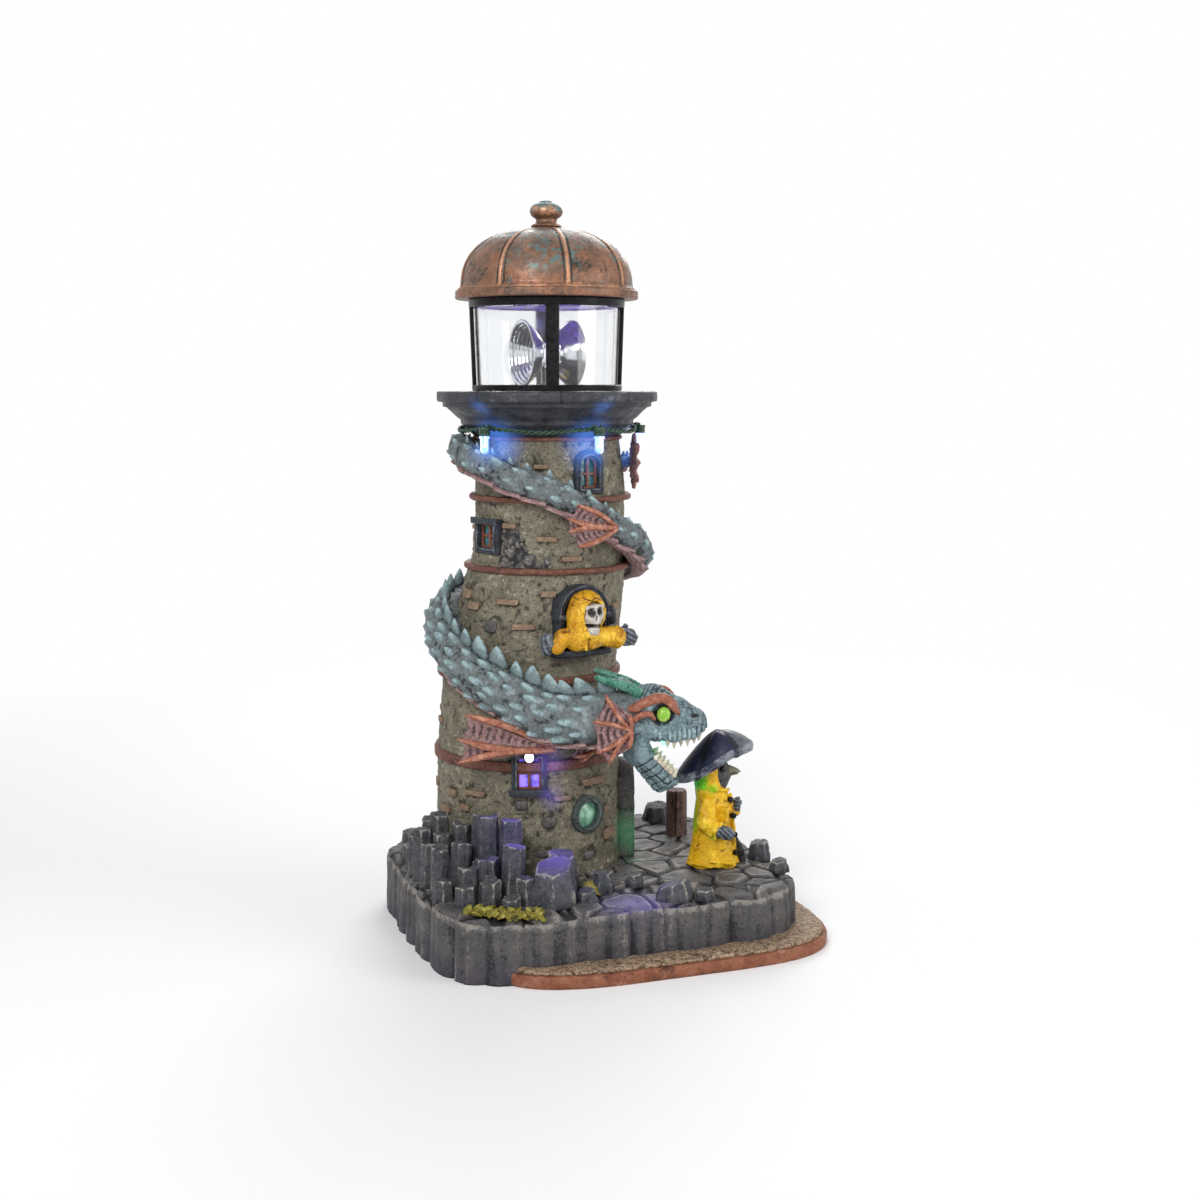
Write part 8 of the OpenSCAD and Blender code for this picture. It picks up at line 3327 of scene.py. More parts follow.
@dataclass
class Crow:
    """The crow on the deck; x ahead of it, y to its left and z up."""

    x: float = 36.0
    y: float = -14.0
    z: float = 20.0
    yaw: float = -20.0

    def place(self, p: Array) -> Array:
        """Turns points drawn on the crow into their place."""
        return stood(p, self.yaw, (self.x, self.y, self.z))

    def skirt(self, p: Array) -> Array:
        """Distance to the coat's body: a turned line of radius against height, narrowed by 0.8 in y.

        The hem is drawn in and out by two cosines of the angle, so that it hangs in folds.

        Args:
            p: the points.

        Returns:
            Distance of each point.
        """
        x, y, z = p[..., 0], p[..., 1] / 0.8, p[..., 2]
        a = np.arctan2(y, x)
        low = step01(-z, -7.0, -0.5)
        r = np.interp(z, (0, 1.5, 4, 9, 14, 20, 25, 28), (9.2, 9.0, 8.2, 7.1, 6.7, 6.3, 5.6, 4.4))
        r = r + low * (0.45 * np.cos(5 * a + 1.2) + 0.25 * np.cos(9 * a))
        floor = 0.25 + 0.5 * low * (1 + np.cos(5 * a + 1.2))
        return np.maximum(np.maximum(np.hypot(x, y) - r, z - 28), floor - z) * 0.85

    def coat(self) -> Shape:
        """Coat, collar, hood, sleeves and pocket, with folds at the elbow and the hem.

        Returns:
            The coat in its place.
        """
        whole = merged(0.9, self.skirt, limb((-1.2, 0, 27.0), (-1.6, 0, 33.6), 4.9, 5.2),
                       limb((-1.6, -4.4, 23.4), (-2.4, -5.6, 16.6), 3.0, 3.3),
                       limb((-2.4, -5.6, 16.6), (1.2, -6.9, 14.4), 3.3, 2.7),
                       limb((2.0, 4.4, 23.2), (6.0, 5.2, 17.6), 2.7, 2.4),
                       limb((6.0, 5.2, 17.6), (8.2, 5.2, 18.0), 2.3, 1.9))
        folds = [((-0.6, -4.6, 29.6), (0.8, -4.6, 28.0), 0.8, 0.7),
                 ((0.8, -4.6, 28.0), (4.6, -2.6, 27.2), 0.7, 0.7),
                 ((4.6, -2.6, 27.2), (5.6, 0.6, 27.0), 0.7, 0.6),
                 ((-3.2, -7.6, 20.0), (1.0, -8.0, 18.2), 0.6, 0.4),
                 ((-3.4, -8.2, 17.6), (0.6, -8.8, 16.2), 0.6, 0.4),
                 ((-4.8, -6.6, 15.4), (-1.0, -8.2, 12.8), 0.5, 0.5),
                 ((2.6, -7.6, 17.0), (0.4, -8.4, 11.8), 0.7, 0.7),
                 ((-3.0, -6.2, 25.0), (-4.4, -6.8, 20.6), 0.5, 0.5),
                 ((6.1, -1.2, 25.6), (7.3, -1.6, 14.0), 0.55, 0.55),
                 ((7.3, -1.6, 14.0), (7.9, -1.9, 2.0), 0.55, 0.6),
                 ((-6.6, -5.0, 2.2), (-1.0, -8.6, 1.8), 0.7, 0.5),
                 ((-1.0, -7.9, 3.6), (5.8, -6.2, 2.4), 0.6, 0.7),
                 ((1.4, -7.4, 2.0), (7.6, -4.2, 1.4), 0.6, 0.6),
                 ((-7.8, -3.4, 3.2), (-5.0, -5.0, 8.0), 0.5, 0.3),
                 ((2.6, -5.9, 4.6), (1.6, -5.6, 10.0), 0.5, 0.3)]
        pocket = [brick((3.3, -5.2, 18.7), (3.9, 1.7, 3.6), 0.4, (0, 0, -32)),
                  brick((3.2, -5.5, 21.2), (4.3, 1.8, 2.0), 0.4, (0, 4, -32))]
        tools = [ball((4.4, 0, 33.8), (5.2, 4.6, 6.4)), ball((5.6, 0, 29.4), (3.6, 2.6, 2.2))]
        form = merged(0.25, strokes(whole, folds), *pocket)
        shape = modelled(carved(0.3, form, *tools), (-12, -11, -0.8), (12, 10, 40.5), 0.33)
        q = shape.points
        x, y, z = q.T
        # Painted light: the coat's right side and its shoulders are given a higher relief, so they carry more
        # of the light coat, as if lit from there.
        shape.relief = 0.5 + 0.3 * step01(-y, 5.0, 8.0) + 0.15 * step01(z, 24, 30)
        # Painted green light of the lamp in the serpent's mouth: the back of the hood, the back of the flank,
        # the elbow and the collar take the green stain colour.
        hood = step01(-x, 0.8, 3.4) * step01(z, 26.6, 28.6)
        flank = 0.7 * step01(-x, 4.4, 6.4) * step01(z, 11, 14) * step01(-z, -26, -22)
        elbow = 0.9 * step01(-np.linalg.norm(q - (-1.5, -8.0, 11.4), axis=1), -3.2, -0.8)
        collar = 0.8 * step01(-np.linalg.norm(q - (-0.2, -4.8, 28.2), axis=1), -2.4, -0.6)
        shape.tint = np.maximum(np.maximum(hood, flank), np.maximum(elbow, collar))
        return cloth(shape, 13).placed(self.place)

    def buttons(self) -> Shape:
        """Four round buttons down the coat's edge, turned with a dished middle and two holes.

        Returns:
            All four as one shape.
        """
        parts = []
        for x, y, z in ((5.9, -1.9, 23.8), (7.0, -2.3, 18.2), (7.5, -2.5, 11.6), (7.9, -2.8, 5.4)):
            rows = np.array([(0.01, 0.55), (0.45, 0.55), (0.7, 0.8), (0.95, 0.7), (1.0, 0.35),
                             (0.95, -0.5), (0.01, -0.5)])
            disc = lathe(rows, 24, (0, 0))
            disc.points = disc.points @ (turned((0, 0, -38)) @ turned((0, 90, 0))).T + (x, y, z)
            parts.append(disc)
        return joined(parts).placed(self.place)

    def head(self) -> Shape:
        """Feathered head and tail.

        The feathers are short overlapping ridges: a cosine across the head times another along it.

        Returns:
            Both as one shape, in their place.
        """
        field_at = merged(0.7, ball((1.4, 0, 33.6), (4.3, 4.0, 4.9)),
                          limb((2.2, 0, 29.6), (2.8, 0, 32), 3.0, 3.4))
        eyes = [ball((3.0, 3.9 * k, 34.9), (1.0, 0.9, 0.9)) for k in (1, -1)]
        skin = modelled(carved(0.3, field_at, *eyes), (-4, -5, 25), (7, 5, 40), 0.27)
        q = skin.points
        lay = (np.cos(2 * np.pi * (q[:, 2] / 1.5 + 0.3 * np.cos(2.4 * q[:, 1])))
               * np.cos(2 * np.pi * q[:, 0] / 1.2))
        dent = rough(q, 1.8, 3, 5)
        skin = skin.pushed(0.12 * lay + 0.1 * dent)
        skin.relief = 0.5 + 0.25 * lay + 0.35 * dent
        for k in (1, -1):
            gap = np.linalg.norm(q - (3.1, 3.6 * k, 34.9), axis=1)
            skin.relief = skin.relief - 0.6 * step01(-gap, -1.5, -0.9)
        blades = []
        for i in range(5):
            path = spline([(7.4 + 0.3 * i, 2.6 - 0.5 * i, 11.0 - 0.6 * i),
                           (8.6 + 0.2 * i, 2.9 - 0.5 * i, 6.6),
                           (9.6 + 0.35 * i, 3.2 - 0.4 * i, 2.4 - 0.2 * i),
                           (10.2 + 0.4 * i, 3.4 - 0.4 * i, 0.7)], 8)
            t = np.linspace(0, 1, len(path))
            wide = 1.15 * np.sin(np.pi * np.clip(0.12 + 0.86 * t, 0, 1)) ** 0.6
            side, top = frames(path, (0, 1, 0))
            a = circle(12)[None, :, None]
            ring = (path[:, None] + wide[:, None, None]
                    * (side[:, None] * np.cos(a) + 0.35 * top[:, None] * np.sin(a)))
            blades.append(loft(ring))
        tail = joined(blades)
        tail.relief = 0.4 + 0.4 * rough(tail.points, 1.2, 3, 4)
        return (skin + tail).placed(self.place)

    def beak(self) -> Shape:
        """Stout beak in two halves with a line between them.

        Returns:
            The beak in its place.
        """
        path = np.array([(4.6, 0, 33.6), (5.6, 0, 33.6), (6.8, 0, 33.5), (8.0, 0, 33.4), (9.0, 0, 33.15),
                         (9.6, 0, 32.95)])
        upper = tube(path + (0, 0, 0.2), np.array([1.9, 1.75, 1.35, 0.95, 0.5, 0.12]), 24, (0, 0, 1))
        lower = tube(path[:5] - (0.2, 0, 0.75), np.array([1.5, 1.35, 1.0, 0.6, 0.15]), 20, (0, 0, 1))
        shape = upper + lower
        line = np.abs(shape.points[:, 2] - 32.9)
        shape.relief = 0.6 - 0.4 * step01(-line, -0.35, -0.1) + 0.3 * noise(shape.points, 1.2, 3)
        return shape.placed(self.place)

    def eyes(self) -> Shape:
        """Two beads set in the head's hollows.

        Returns:
            Both in their place.
        """
        parts = []
        for k in (1, -1):
            bead = pillow((1.5, 1.1, 1.5), 12, 18, 1.0)
            bead.points = bead.points + (3.1, 3.45 * k, 34.9)
            parts.append(bead)
        return joined(parts).placed(self.place)

    def hat(self) -> Shape:
        """Sou'wester drawn from its edge to its crown.

        For each direction the edge has its own reach and height. Between crown and edge the height
        falls as a power of the share of the reach: high in front, where the brim turns up as a peak,
        and near 1 behind. The lip is a rolled edge and the underside lies 1.5 mm beneath.

        Returns:
            The hat in its place.
        """
        def soft(v: Array) -> Array:
            """Mean over 13 neighbouring directions, counted on past the last one."""
            return np.convolve(np.concatenate([v[-6:], v, v[:6]]), np.ones(13) / 13, "valid")

        a = circle(168)
        turn = np.abs((np.degrees(a) + 180) % 360 - 180)
        keys = (0, 20, 40, 60, 80, 100, 120, 140, 160, 180)
        reach = np.interp(turn, keys, (13.0, 12.4, 10.4, 9.0, 8.7, 9.0, 9.9, 11.6, 13.6, 14.6))
        edge = np.interp(turn, keys, (43.4, 43.3, 42.6, 41.4, 39.6, 37.4, 35.2, 33.4, 32.0, 31.6))
        power = np.interp(turn, keys, (2.6, 2.6, 2.5, 2.4, 2.2, 2.0, 1.8, 1.5, 1.35, 1.3))
        reach, edge, power = soft(reach), soft(edge), soft(power)
        top = 48.0
        rings, relief, tint = [], [], []

        def ring(share: float, drop: float, raised: float) -> None:
            """Adds one ring, with the dents and the seams of the outer face.

            Args:
                share: distance from the middle, 1 at the brim.
                drop: how far below the line it lies.
                raised: above 0 on the outer face.
            """
            q = np.clip(share, 0, 1)
            z = top - (top - edge) * q**power - drop
            x = 1.0 + share * reach * np.cos(a)
            y = share * reach * np.sin(a)
            p = np.stack([x, y, z], axis=-1)
            dent = rough(p, 3.0, 4, 21)
            p[:, 2] += 0.14 * dent
            rings.append(p)
            side = step01(turn, 38, 52) * (share < 1.01)
            seam = (np.exp(-(((turn - 46) * max(share, 0.2) / 5.0) ** 2))
                    + np.exp(-(((turn - 128) * max(share, 0.2) / 5.0) ** 2)))
            p[:, 2] -= 0.35 * seam * (raised > 0)
            relief.append(raised + 0.45 * dent - 0.5 * seam)
            tint.append(side)

        for share in np.linspace(0.02, 0.93, 34):
            ring(share, 0.0, 0.55)
        for share, drop in ((0.96, -0.25), (0.985, -0.1), (1.005, 0.35), (1.01, 0.9), (1.0, 1.2),
                            (0.97, 1.0), (0.985, 1.55), (0.995, 1.9), (0.985, 2.4), (0.95, 2.5)):
            ring(share, drop, 0.9)
        # Painted shade: the underside rings are given a low relief, so the dark wash lies under the brim.
        for share in np.linspace(0.9, 0.4, 12):
            ring(share, 2.1, 0.25)
        return loft(np.stack(rings), False, np.stack(relief), np.stack(tint)).placed(self.place)

    def gloves(self) -> Shape:
        """Knitted mitten over the near cuff, and the far hand bent up at the chest.

        Returns:
            Both as one shape.
        """
        near = merged(0.5, limb((2.2, -7.6, 14.0), (4.9, -8.0, 13.4), 2.4, 2.3),
                      limb((3.4, -8.2, 15.4), (4.6, -8.8, 14.9), 0.9, 0.8))
        far = merged(0.4, limb((8.5, 4.8, 19.0), (8.6, 4.4, 21.6), 1.6, 1.5),
                     limb((8.2, 3.2, 22.0), (9.2, 3.4, 22.8), 0.8, 0.7),
                     limb((9.4, 3.6, 20.6), (9.8, 3.4, 21.6), 0.8, 0.7))
        a = modelled(near, (-0.6, -11.4, 10.6), (8, -4.6, 17.4), 0.25)
        b = modelled(far, (6.2, 1.8, 16.8), (11, 7, 24.4), 0.25)
        return (knitted(a, (0.72, 0.1, 0.68), 1.35) + knitted(b, (0.1, 0.1, 1.0), 1.3)).placed(self.place)

    def build(self, paints: dict[str, bpy.types.Material]) -> None:
        """Makes and dresses the crow.

        Args:
            paints: every finish by its name.
        """
        make("crow_oilskin", self.coat(), paints["bright_oilskin"], "case", "crow_coat", slot="yellow_coat")
        make("crow_buttons", self.buttons(), paints["black"], "case", slot="yellow_coat")
        make("crow_feathers", self.head(), paints["feather"], "case", "crow_plumage", slot="plumage")
        make("crow_beak", self.beak(), paints["beak"], "case", slot="plumage")
        make("crow_eyes", self.eyes(), paints["glossy_black"], "case", slot="plumage")
        make("souwester", self.hat(), paints["hat"], "case", "crow_hat", slot="hat_blue")
        make("crow_mittens", self.gloves(), paints["glove"], "case", "crow_gloves", slot="knit")


@dataclass
class SpotLamps:
    """Lamps that stand free: one over the lower window, one in the serpent's mouth, one in the hub."""

    tower: Tower

    def build(self, paints: dict[str, bpy.types.Material], frame: dict) -> None:
        """Dresses the lamps' CAD node, and sets a bezel round the window's lamp.

        Args:
            paints: every finish by its name.
            frame: the CAD nodes in the scene by name.
        """
        dress(frame, "spot_lamps", paints["lit_white"])
        ring = lathe(np.array([(1.45, 0.0), (1.95, 0.0), (2.05, 0.3), (1.95, 0.9), (1.7, 1.1),
                               (1.5, 0.9)]), 40, (0, 0), True)
        top = LOWER.z + LOWER.h / 2 - 1.4
        bezel = ring.placed(lambda p: self.tower.flat(LOWER.f, top)(p + (0, 0, 1.6)))
        make("lamp_bezel", bezel, paints["black"], "case")


# Inside and rear


@dataclass
class Works:
    """The electric parts and the base cover, which keep their CAD shape under their own finishes."""

    finishes: tuple = (
        ("base_cover", "dark_plastic"), ("battery_door", "dark_plastic"), ("battery_tray", "dark_plastic"),
        ("battery_cells", "cell"), ("battery_contacts", "nickel"), ("control_board", "board"),
        ("rear_panel", "dark_plastic"), ("dc_socket", "dark_plastic"), ("switch_body", "dark_plastic"),
        ("switch_knob", "light_plastic"), ("cover_screws", "steel"))

    def build(self, paints: dict[str, bpy.types.Material], frame: dict) -> None:
        """Dresses every part inside the base and on its rear panel."""
        for node, finish in self.finishes:
            dress(frame, node, paints[finish])


# Studio


@dataclass(frozen=True)
class Floor:
    """Matte pale floor: it holds the shadow near the piece and turns to plain white farther off."""

    colour: Colour = (0.9, 0.9, 0.9)
    near: float = 0.24
    far: float = 0.62

    def material(self) -> bpy.types.Material:
        """Diffuse paper near the middle, blended by distance into a white that only eyes see.

        Returns:
            The material.
        """
        n = Nodes("floor_paper")
        grain = n.fog(2.0, 2)
        n.set(Base_Color=n.mix(n.ramp(grain, 0.3, 0.7), self.colour, tuple(0.985 * c for c in self.colour)),
              Roughness=0.9, Specular_IOR_Level=0.0, Emission_Color=(1.0, 1.0, 1.0), Emission_Strength=0.06)
        path = n.node("LightPath")
        seen = path.outputs["Is Camera Ray"]
        for other in ("Is Glossy Ray", "Is Transmission Ray"):
            seen = n.sums("MAXIMUM", seen, path.outputs[other])
        away = n.node("VectorMath", {0: n.where}, operation="LENGTH").outputs["Value"]
        share = n.sums("MULTIPLY", seen, n.ramp(away, self.near, self.far))
        white = n.node("Emission", {"Color": (1.0, 1.0, 1.0), "Strength": 1.0})
        mix = n.node("MixShader", {0: share, 1: n.shader.outputs[0], 2: white.outputs[0]})
        n.put(n.out.inputs[0], mix.outputs[0])
        return n.material


@dataclass
class Studio:
    """Floor, soft lamps, world and camera."""

    eye: Sequence[float] = (-190.14, -522.11, 186.0)
    heading: Sequence[float] = (0.342, 0.940)
    pitch: float = -7.53
    lens: float = 49.5

    def ground(self) -> None:
        """A wide round floor."""
        n = 96
        a = circle(n)
        points = np.column_stack([4.0 * np.cos(a), 4.0 * np.sin(a), 0 * a])
        mesh = bpy.data.meshes.new("studio_floor")
        mesh.from_pydata(points.tolist(), [], [list(range(n))])
        obj = bpy.data.objects.new("studio_floor", mesh)
        bpy.context.scene.collection.objects.link(obj)
        mesh.materials.append(Floor().material())

    def lamp(self, name: str, place: Sequence[float], aim: Sequence[float], size: float, watts: float,
             colour: Colour = (1.0, 1.0, 1.0)) -> None:
        """A square soft box at place, facing aim, both in millimetres.

        Args:
            name: name of the light.
            place: its place.
            aim: the point it faces.
            size: width of its square.
            watts: its power.
            colour: its colour.
        """
        data = bpy.data.lights.new(name, "AREA")
        data.shape, data.size, data.energy, data.color = "SQUARE", size * MM, watts, colour
        obj = bpy.data.objects.new(name, data)
        bpy.context.scene.collection.objects.link(obj)
        self.face(obj, place, aim)

    def face(self, obj: bpy.types.Object, place: Sequence[float], aim: Sequence[float]) -> None:
        """Puts an object at place and turns its -Z axis towards aim.

        Args:
            obj: the object.
            place: its place.
            aim: the point it faces.
        """
        obj.location = [v * MM for v in place]
        ahead = Vector([b - a for a, b in zip(place, aim)])
        obj.rotation_euler = ahead.to_track_quat("-Z", "Y").to_euler()

    def world(self) -> None:
        """Even light from all round; white where the camera, a mirror or glass sees it."""
        world = bpy.data.worlds.new("soft_room")
        bpy.context.scene.world = world
        world.use_nodes = True
        tree = world.node_tree
        tree.nodes.clear()
        out = tree.nodes.new("ShaderNodeOutputWorld")
        soft = tree.nodes.new("ShaderNodeBackground")
        soft.inputs[0].default_value = (0.95, 0.97, 1.0, 1.0)
        soft.inputs[1].default_value = 0.36
        white = tree.nodes.new("ShaderNodeBackground")
        white.inputs[0].default_value = (1.0, 1.0, 1.0, 1.0)
        path = tree.nodes.new("ShaderNodeLightPath")
        seen = path.outputs["Is Camera Ray"]
        for other in ("Is Glossy Ray", "Is Transmission Ray"):
            add = tree.nodes.new("ShaderNodeMath")
            add.operation = "MAXIMUM"
            tree.links.new(seen, add.inputs[0])
            tree.links.new(path.outputs[other], add.inputs[1])
            seen = add.outputs[0]
        mix = tree.nodes.new("ShaderNodeMixShader")
        tree.links.new(seen, mix.inputs[0])
        tree.links.new(soft.outputs[0], mix.inputs[1])
        tree.links.new(white.outputs[0], mix.inputs[2])
        tree.links.new(mix.outputs[0], out.inputs[0])

    def camera(self) -> None:
        """The camera, at the photograph's angle."""
        data = bpy.data.cameras.new("view")
        data.lens, data.sensor_width, data.clip_start, data.clip_end = self.lens, 36.0, 0.01, 20.0
        obj = bpy.data.objects.new("view", data)
        bpy.context.scene.collection.objects.link(obj)
        down = math.tan(math.radians(self.pitch)) * 1000
        aim = (self.eye[0] + self.heading[0] * 1000, self.eye[1] + self.heading[1] * 1000, self.eye[2] + down)
        self.face(obj, self.eye, aim)
        bpy.context.scene.camera = obj

    def build(self) -> None:
        """Sets up the whole studio."""
        self.camera()
        self.ground()
        self.world()
        middle = (-8.0, 0.0, 120.0)
        self.lamp("key", (-520, -640, 620), middle, 420, 5.8)
        self.lamp("fill", (620, -520, 360), middle, 520, 2.6)
        self.lamp("back", (260, 560, 520), middle, 420, 3.2)
        bpy.context.scene.view_settings.view_transform = "Standard"


# Assembly


def lamps() -> list[Glow]:
    """Where the small lamps of the part throw their light.

    Returns:
        The lamps.
    """
    violet, green, blue = (0.26, 0.17, 1.0), (0.06, 1.0, 0.34), (0.08, 0.28, 1.0)
    spots = [Glow((-26, -30, 38), 25, violet, 0.42, True), Glow((-4, -46, 22), 24, violet, 0.20, True),
             Glow((-44, -24, 42), 20, violet, 0.36, True), Glow((-33, -22, 40), 15, violet, 0.30, True),
             Glow((-22, -14, 60), 13, violet, 0.30), Glow((-21, -13, 48), 9, violet, 0.35),
             Glow((12, 3, 30), 13, green, 0.10), Glow((13, 0, 24), 9, green, 0.12),
             Glow((14, -6, 42), 8, green, 0.06), Glow((-8, 43.4, 206), 7, violet, 0.8),
             Glow((21, -27, 54), 7, green, 0.30), Glow((34, -12, 50), 9, green, 0.10),
             Glow((30, -12, 48), 8, green, 0.12), Glow((27, -18, 56), 8, green, 0.22)]
    for turn in (-57, 13, 83, 153):
        a = math.radians(turn)
        x, y = math.sin(a), -math.cos(a)
        spots.append(Glow((AXIS_X + 27.5 * x, AXIS_Y + 27.5 * y, 165.5), 15, blue, 0.75))
        spots.append(Glow((AXIS_X + 34.5 * x, AXIS_Y + 34.5 * y, 178.5), 7, blue, 0.30))
    return spots


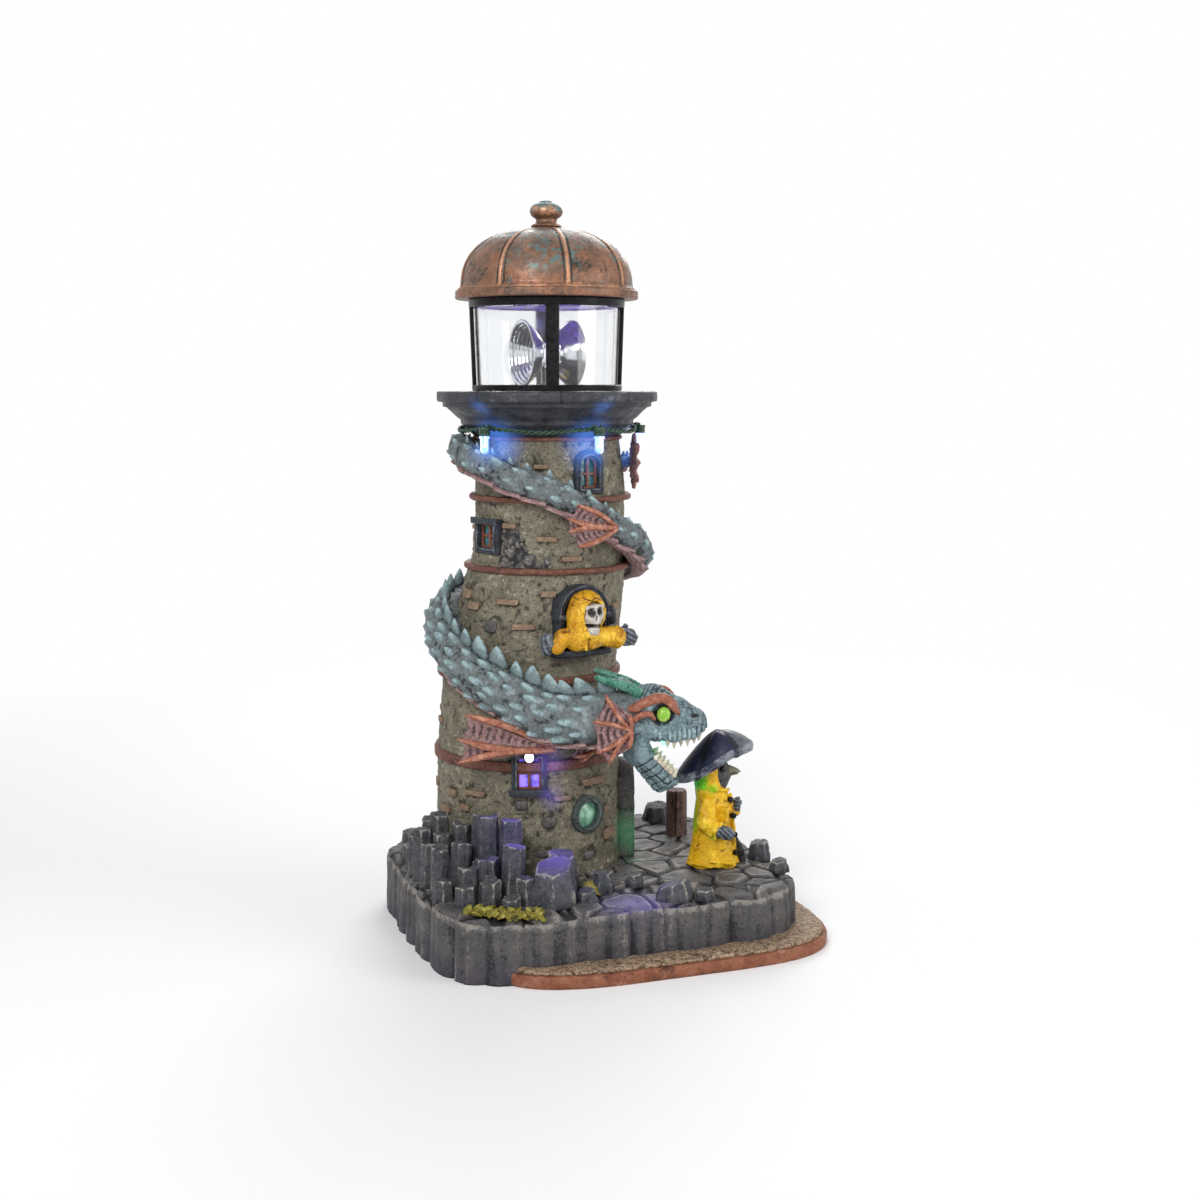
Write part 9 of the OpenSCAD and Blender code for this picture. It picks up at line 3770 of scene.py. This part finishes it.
def finishes() -> dict[str, bpy.types.Material]:
    """Every finish of the part by a short name.

    Returns:
        The materials.
    """
    rows = {
        "rock": Painted("rock_paint", (0.062, 0.060, 0.062), (0.095, 0.088, 0.085), (0.010, 0.010, 0.013),
                        (0.26, 0.24, 0.215), 7.0, stain_and_painted_light=(0.035, 0.028, 0.05), blotch=0.12),
        "pile": Painted("pile_paint", (0.040, 0.044, 0.052), (0.062, 0.064, 0.070), (0.008, 0.008, 0.012),
                        (0.33, 0.31, 0.27), 5.0, light_at=(0.66, 0.98), blotch=0.1),
        "brick_edge": Painted("beach_edge_paint", (0.20, 0.062, 0.030), (0.27, 0.10, 0.052),
                              (0.05, 0.018, 0.012), (0.38, 0.20, 0.13), 4.0, blotch=0.2),
        "sand": Painted("sand_paint", (0.37, 0.245, 0.15), (0.26, 0.165, 0.10), (0.045, 0.032, 0.024),
                        (0.56, 0.45, 0.33), 1.6, grain=1.0, depth=0.5, grit=0.1),
        "weed": Painted("weed_paint", (0.17, 0.145, 0.018), (0.25, 0.21, 0.028), (0.025, 0.025, 0.007),
                        (0.44, 0.39, 0.10), 1.6, blotch=0.2),
        "timber": Painted("timber_paint", (0.075, 0.042, 0.034), (0.11, 0.065, 0.05), (0.012, 0.008, 0.007),
                          (0.26, 0.18, 0.15), 3.0, stretch=(1.6, 1.6, 0.3)),
        "plaster": Painted("plaster_paint", (0.215, 0.192, 0.136), (0.158, 0.141, 0.100),
                           (0.035, 0.030, 0.022), (0.36, 0.33, 0.245), 7.0, grain=0.9, depth=0.35,
                           stain_and_painted_light=(0.075, 0.065, 0.045), shine=0.72, blotch=0.15, grit=0.06,
                           wash_at=(0.05, 0.45), light_at=(0.68, 1.05)),
        "rust": Painted("rust_paint", (0.105, 0.036, 0.024), (0.15, 0.058, 0.038), (0.022, 0.010, 0.009),
                        (0.28, 0.14, 0.095), 4.0),
        "brick": Painted("brick_paint", (0.17, 0.105, 0.065), (0.22, 0.145, 0.095), (0.035, 0.020, 0.013),
                         (0.38, 0.28, 0.20), 2.2),
        "stone": Painted("stone_paint", (0.045, 0.043, 0.045), (0.080, 0.075, 0.072), (0.008, 0.008, 0.010),
                         (0.24, 0.22, 0.20), 2.4),
        "rim": Painted("rim_paint", (0.018, 0.021, 0.027), (0.030, 0.034, 0.042), (0.005, 0.006, 0.008),
                       (0.15, 0.17, 0.20), 2.5, light_at=(0.66, 1.0), blotch=0.15),
        "verdigris": Painted("verdigris_paint", (0.030, 0.040, 0.040), (0.05, 0.065, 0.06),
                             (0.008, 0.010, 0.010), (0.16, 0.20, 0.18), 2.0, light_at=(0.68, 1.0)),
        "sash": Painted("sash_coat", (0.15, 0.045, 0.028), (0.20, 0.07, 0.042), (0.035, 0.012, 0.009),
                        (0.33, 0.17, 0.11), 2.0, shine=0.5),
        "door": Painted("door_paint", (0.060, 0.038, 0.026), (0.09, 0.06, 0.04), (0.010, 0.007, 0.006),
                        (0.20, 0.14, 0.10), 3.0, stretch=(2, 2, 0.3)),
        "gallery": Painted("gallery_paint", (0.024, 0.025, 0.030), (0.037, 0.038, 0.044),
                           (0.006, 0.006, 0.008), (0.15, 0.155, 0.17), 5.0, shine=0.5,
                           light_at=(0.7, 1.05), blotch=0.12),
        "black": Painted("black_paint", (0.008, 0.008, 0.009), (0.013, 0.012, 0.014), (0.003, 0.003, 0.003),
                         (0.03, 0.028, 0.028), 3.0, shine=0.32, flat=True, light_at=(0.9, 1.4), blotch=0.05,
                         gloss=0.14),
        # The lantern's ceiling: painted violet light of the beacon; the surface gives off its own colour as a
        # glow, though it is no lamp.
        "violet": Painted("violet_glow_paint", (0.060, 0.014, 0.36), (0.028, 0.009, 0.16), (0.012, 0.004, 0.06),
                          (0.24, 0.10, 0.72), 9.0, shine=0.4, flat=True, light_at=(0.85, 1.2), own=0.5,
                          blotch=0.8),
        "copper": Painted("copper_paint", (0.225, 0.105, 0.062), (0.125, 0.080, 0.058),
                          (0.020, 0.019, 0.017), (0.52, 0.26, 0.15), 8.0, stain_and_painted_light=(0.10, 0.17, 0.165),
                          shine=0.44, metal=0.3, blotch=0.2),
        "hide": Painted("hide_paint", (0.112, 0.128, 0.131), (0.140, 0.156, 0.157), (0.017, 0.020, 0.022),
                        (0.27, 0.33, 0.35), 6.0, blotch=0.25),
        "scale": Painted("scale_paint", (0.128, 0.170, 0.176), (0.16, 0.21, 0.215), (0.022, 0.032, 0.038),
                         (0.37, 0.51, 0.53), 3.0, wash_at=(0.2, 0.5), light_at=(0.66, 1.1), blotch=0.2),
        "face": Painted("face_paint", (0.115, 0.175, 0.195), (0.155, 0.22, 0.24), (0.015, 0.024, 0.028),
                        (0.36, 0.47, 0.50), 4.0, stain_and_painted_light=(0.006, 0.007, 0.007)),
        "web": Painted("web_paint", (0.245, 0.135, 0.13), (0.20, 0.11, 0.11), (0.05, 0.026, 0.028),
                       (0.52, 0.36, 0.345), 4.0),
        "rib": Painted("rib_paint", (0.30, 0.095, 0.055), (0.25, 0.078, 0.045), (0.06, 0.018, 0.012),
                       (0.56, 0.28, 0.19), 2.5, shine=0.5),
        "fang": Painted("fang_paint", (0.56, 0.50, 0.37), (0.46, 0.40, 0.29), (0.12, 0.09, 0.06),
                        (0.82, 0.79, 0.68), 1.2, shine=0.45),
        "eye": Painted("eye_paint", (0.15, 0.42, 0.03), (0.25, 0.55, 0.05), (0.02, 0.07, 0.006),
                       (0.75, 0.88, 0.20), 1.6, shine=0.2),
        "horn": Painted("horn_paint", (0.04, 0.17, 0.115), (0.075, 0.24, 0.17), (0.008, 0.04, 0.03),
                        (0.26, 0.47, 0.38), 4.0, shine=0.5, blotch=0.25),
        "oilskin": Painted("oilskin_paint", (0.60, 0.29, 0.006), (0.48, 0.205, 0.005),
                           (0.13, 0.040, 0.004), (0.92, 0.60, 0.05), 3.0, grain=0.7, shine=0.45,
                           wash_at=(0.15, 0.5), light_at=(0.66, 1.0)),
        # Its stain colour is green: painted green light of the serpent's mouth lamp on the back of the coat.
        "bright_oilskin": Painted("bright_oilskin_paint", (0.74, 0.43, 0.006), (0.66, 0.35, 0.005),
                                  (0.22, 0.085, 0.005), (0.95, 0.66, 0.05), 4.0, grain=0.7, shine=0.42,
                                  wash_at=(0.1, 0.42), light_at=(0.68, 1.0), stain_and_painted_light=(0.15, 0.58, 0.012)),
        "bone": Painted("bone_paint", (0.48, 0.43, 0.37), (0.38, 0.34, 0.29), (0.10, 0.08, 0.06),
                        (0.78, 0.74, 0.68), 1.6, grain=0.5, stain_and_painted_light=(0.008, 0.008, 0.009), shine=0.5),
        "glove": Painted("glove_paint", (0.055, 0.062, 0.078), (0.085, 0.095, 0.115), (0.010, 0.011, 0.014),
                         (0.24, 0.27, 0.31), 1.8, shine=0.5),
        "feather": Painted("feather_paint", (0.036, 0.035, 0.038), (0.060, 0.058, 0.062),
                           (0.006, 0.006, 0.008), (0.17, 0.17, 0.175), 1.6, shine=0.45),
        "beak": Painted("beak_paint", (0.15, 0.145, 0.095), (0.20, 0.19, 0.13), (0.03, 0.03, 0.02),
                        (0.38, 0.36, 0.27), 1.6, shine=0.45),
        "hat": Painted("hat_paint", (0.085, 0.095, 0.115), (0.12, 0.13, 0.15), (0.010, 0.011, 0.016),
                       (0.26, 0.28, 0.32), 5.0, stain_and_painted_light=(0.010, 0.012, 0.042), shine=0.4, light_at=(0.66, 1.0),
                       lit=False, blotch=0.15),
        "glossy_black": Painted("bead_black", (0.006, 0.006, 0.007), (0.010, 0.010, 0.012),
                                (0.003, 0.003, 0.003), (0.05, 0.05, 0.05), 1.0, shine=0.18, flat=True,
                                light_at=(0.9, 1.3)),
    }
    made = {key: row.material() for key, row in rows.items()}
    made["pane"] = Pane("teal_pane", (0.035, 0.15, 0.17), (0.10, 0.31, 0.33), 0.05).material()
    made["violet_pane"] = Pane("violet_pane", (0.05, 0.035, 0.38), (0.30, 0.19, 1.0), 0.9).material()
    made["green_pane"] = Pane("green_pane", (0.10, 0.26, 0.17), (0.34, 0.60, 0.44), 0.18).material()
    made["clear"] = Clear("lantern_clear", (0.96, 0.97, 0.98)).material()
    made["bulb"] = Clear("bulb_clear", (0.80, 0.87, 1.0), 0.06, (0.16, 0.32, 1.0), 1.1).material()
    made["lit_blue"] = Lit("blue_die", (0.45, 0.66, 1.0), 9.0).material()
    made["lit_white"] = Lit("white_die", (0.9, 0.92, 1.0), 6.0,
                            Glow((13.1, -25.9, 67.5), 9, (0.1, 1.0, 0.35))).material()
    made["chrome"] = Metal("mirror_chrome", (0.80, 0.81, 0.84), 0.17, (1, 1, 1), (0.4, 0.38, 0.42),
                           0.12).material()
    made["hub"] = Metal("hub_chrome", (0.80, 0.80, 0.83), 0.16, (1, 1, 3), (0.3, 0.28, 0.30), 0.2).material()
    made["steel"] = Metal("steel", (0.55, 0.56, 0.58), 0.28, (1, 1, 5)).material()
    made["brass"] = Metal("brass", (0.72, 0.52, 0.22), 0.25, (1, 1, 5), (0.35, 0.22, 0.10)).material()
    made["nickel"] = Metal("nickel_plate", (0.70, 0.68, 0.64), 0.25, (4, 1, 1)).material()
    made["nylon"] = Plastic("nylon", (0.72, 0.70, 0.64), 0.42).material()
    made["dark_plastic"] = Plastic("dark_plastic", (0.035, 0.035, 0.04), 0.42).material()
    made["light_plastic"] = Plastic("light_plastic", (0.55, 0.55, 0.54), 0.4).material()
    made["green_wire"] = Plastic("green_wire", (0.012, 0.05, 0.025), 0.35, 0.5, 0.03).material()
    made["board"] = Plastic("board_green", (0.03, 0.14, 0.06), 0.35, clear=0.4).material()
    made["cell"] = Plastic("cell_jacket", (0.08, 0.12, 0.22), 0.3, clear=0.5).material()
    return made


def main() -> None:
    """Builds the part's pieces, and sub-assembly by sub-assembly."""
    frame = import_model()
    Studio().build()
    LAMPS.extend(lamps())
    paints = finishes()
    tower = Tower()
    TowerWork(tower).build(paints)
    Windows(tower).build(paints)
    Base(tower).build(paints)
    Lantern().build(paints)
    Beacon().build(paints, frame)
    LampString().build(paints)
    Serpent(tower).build(paints)
    Keeper(tower).build(paints)
    Crow().build(paints)
    SpotLamps(tower).build(paints, frame)
    Works().build(paints, frame)
    log.info("boxes written")


if __name__ == "__main__":
    logging.basicConfig(level=logging.INFO, format="%(name)s %(message)s")
    main()
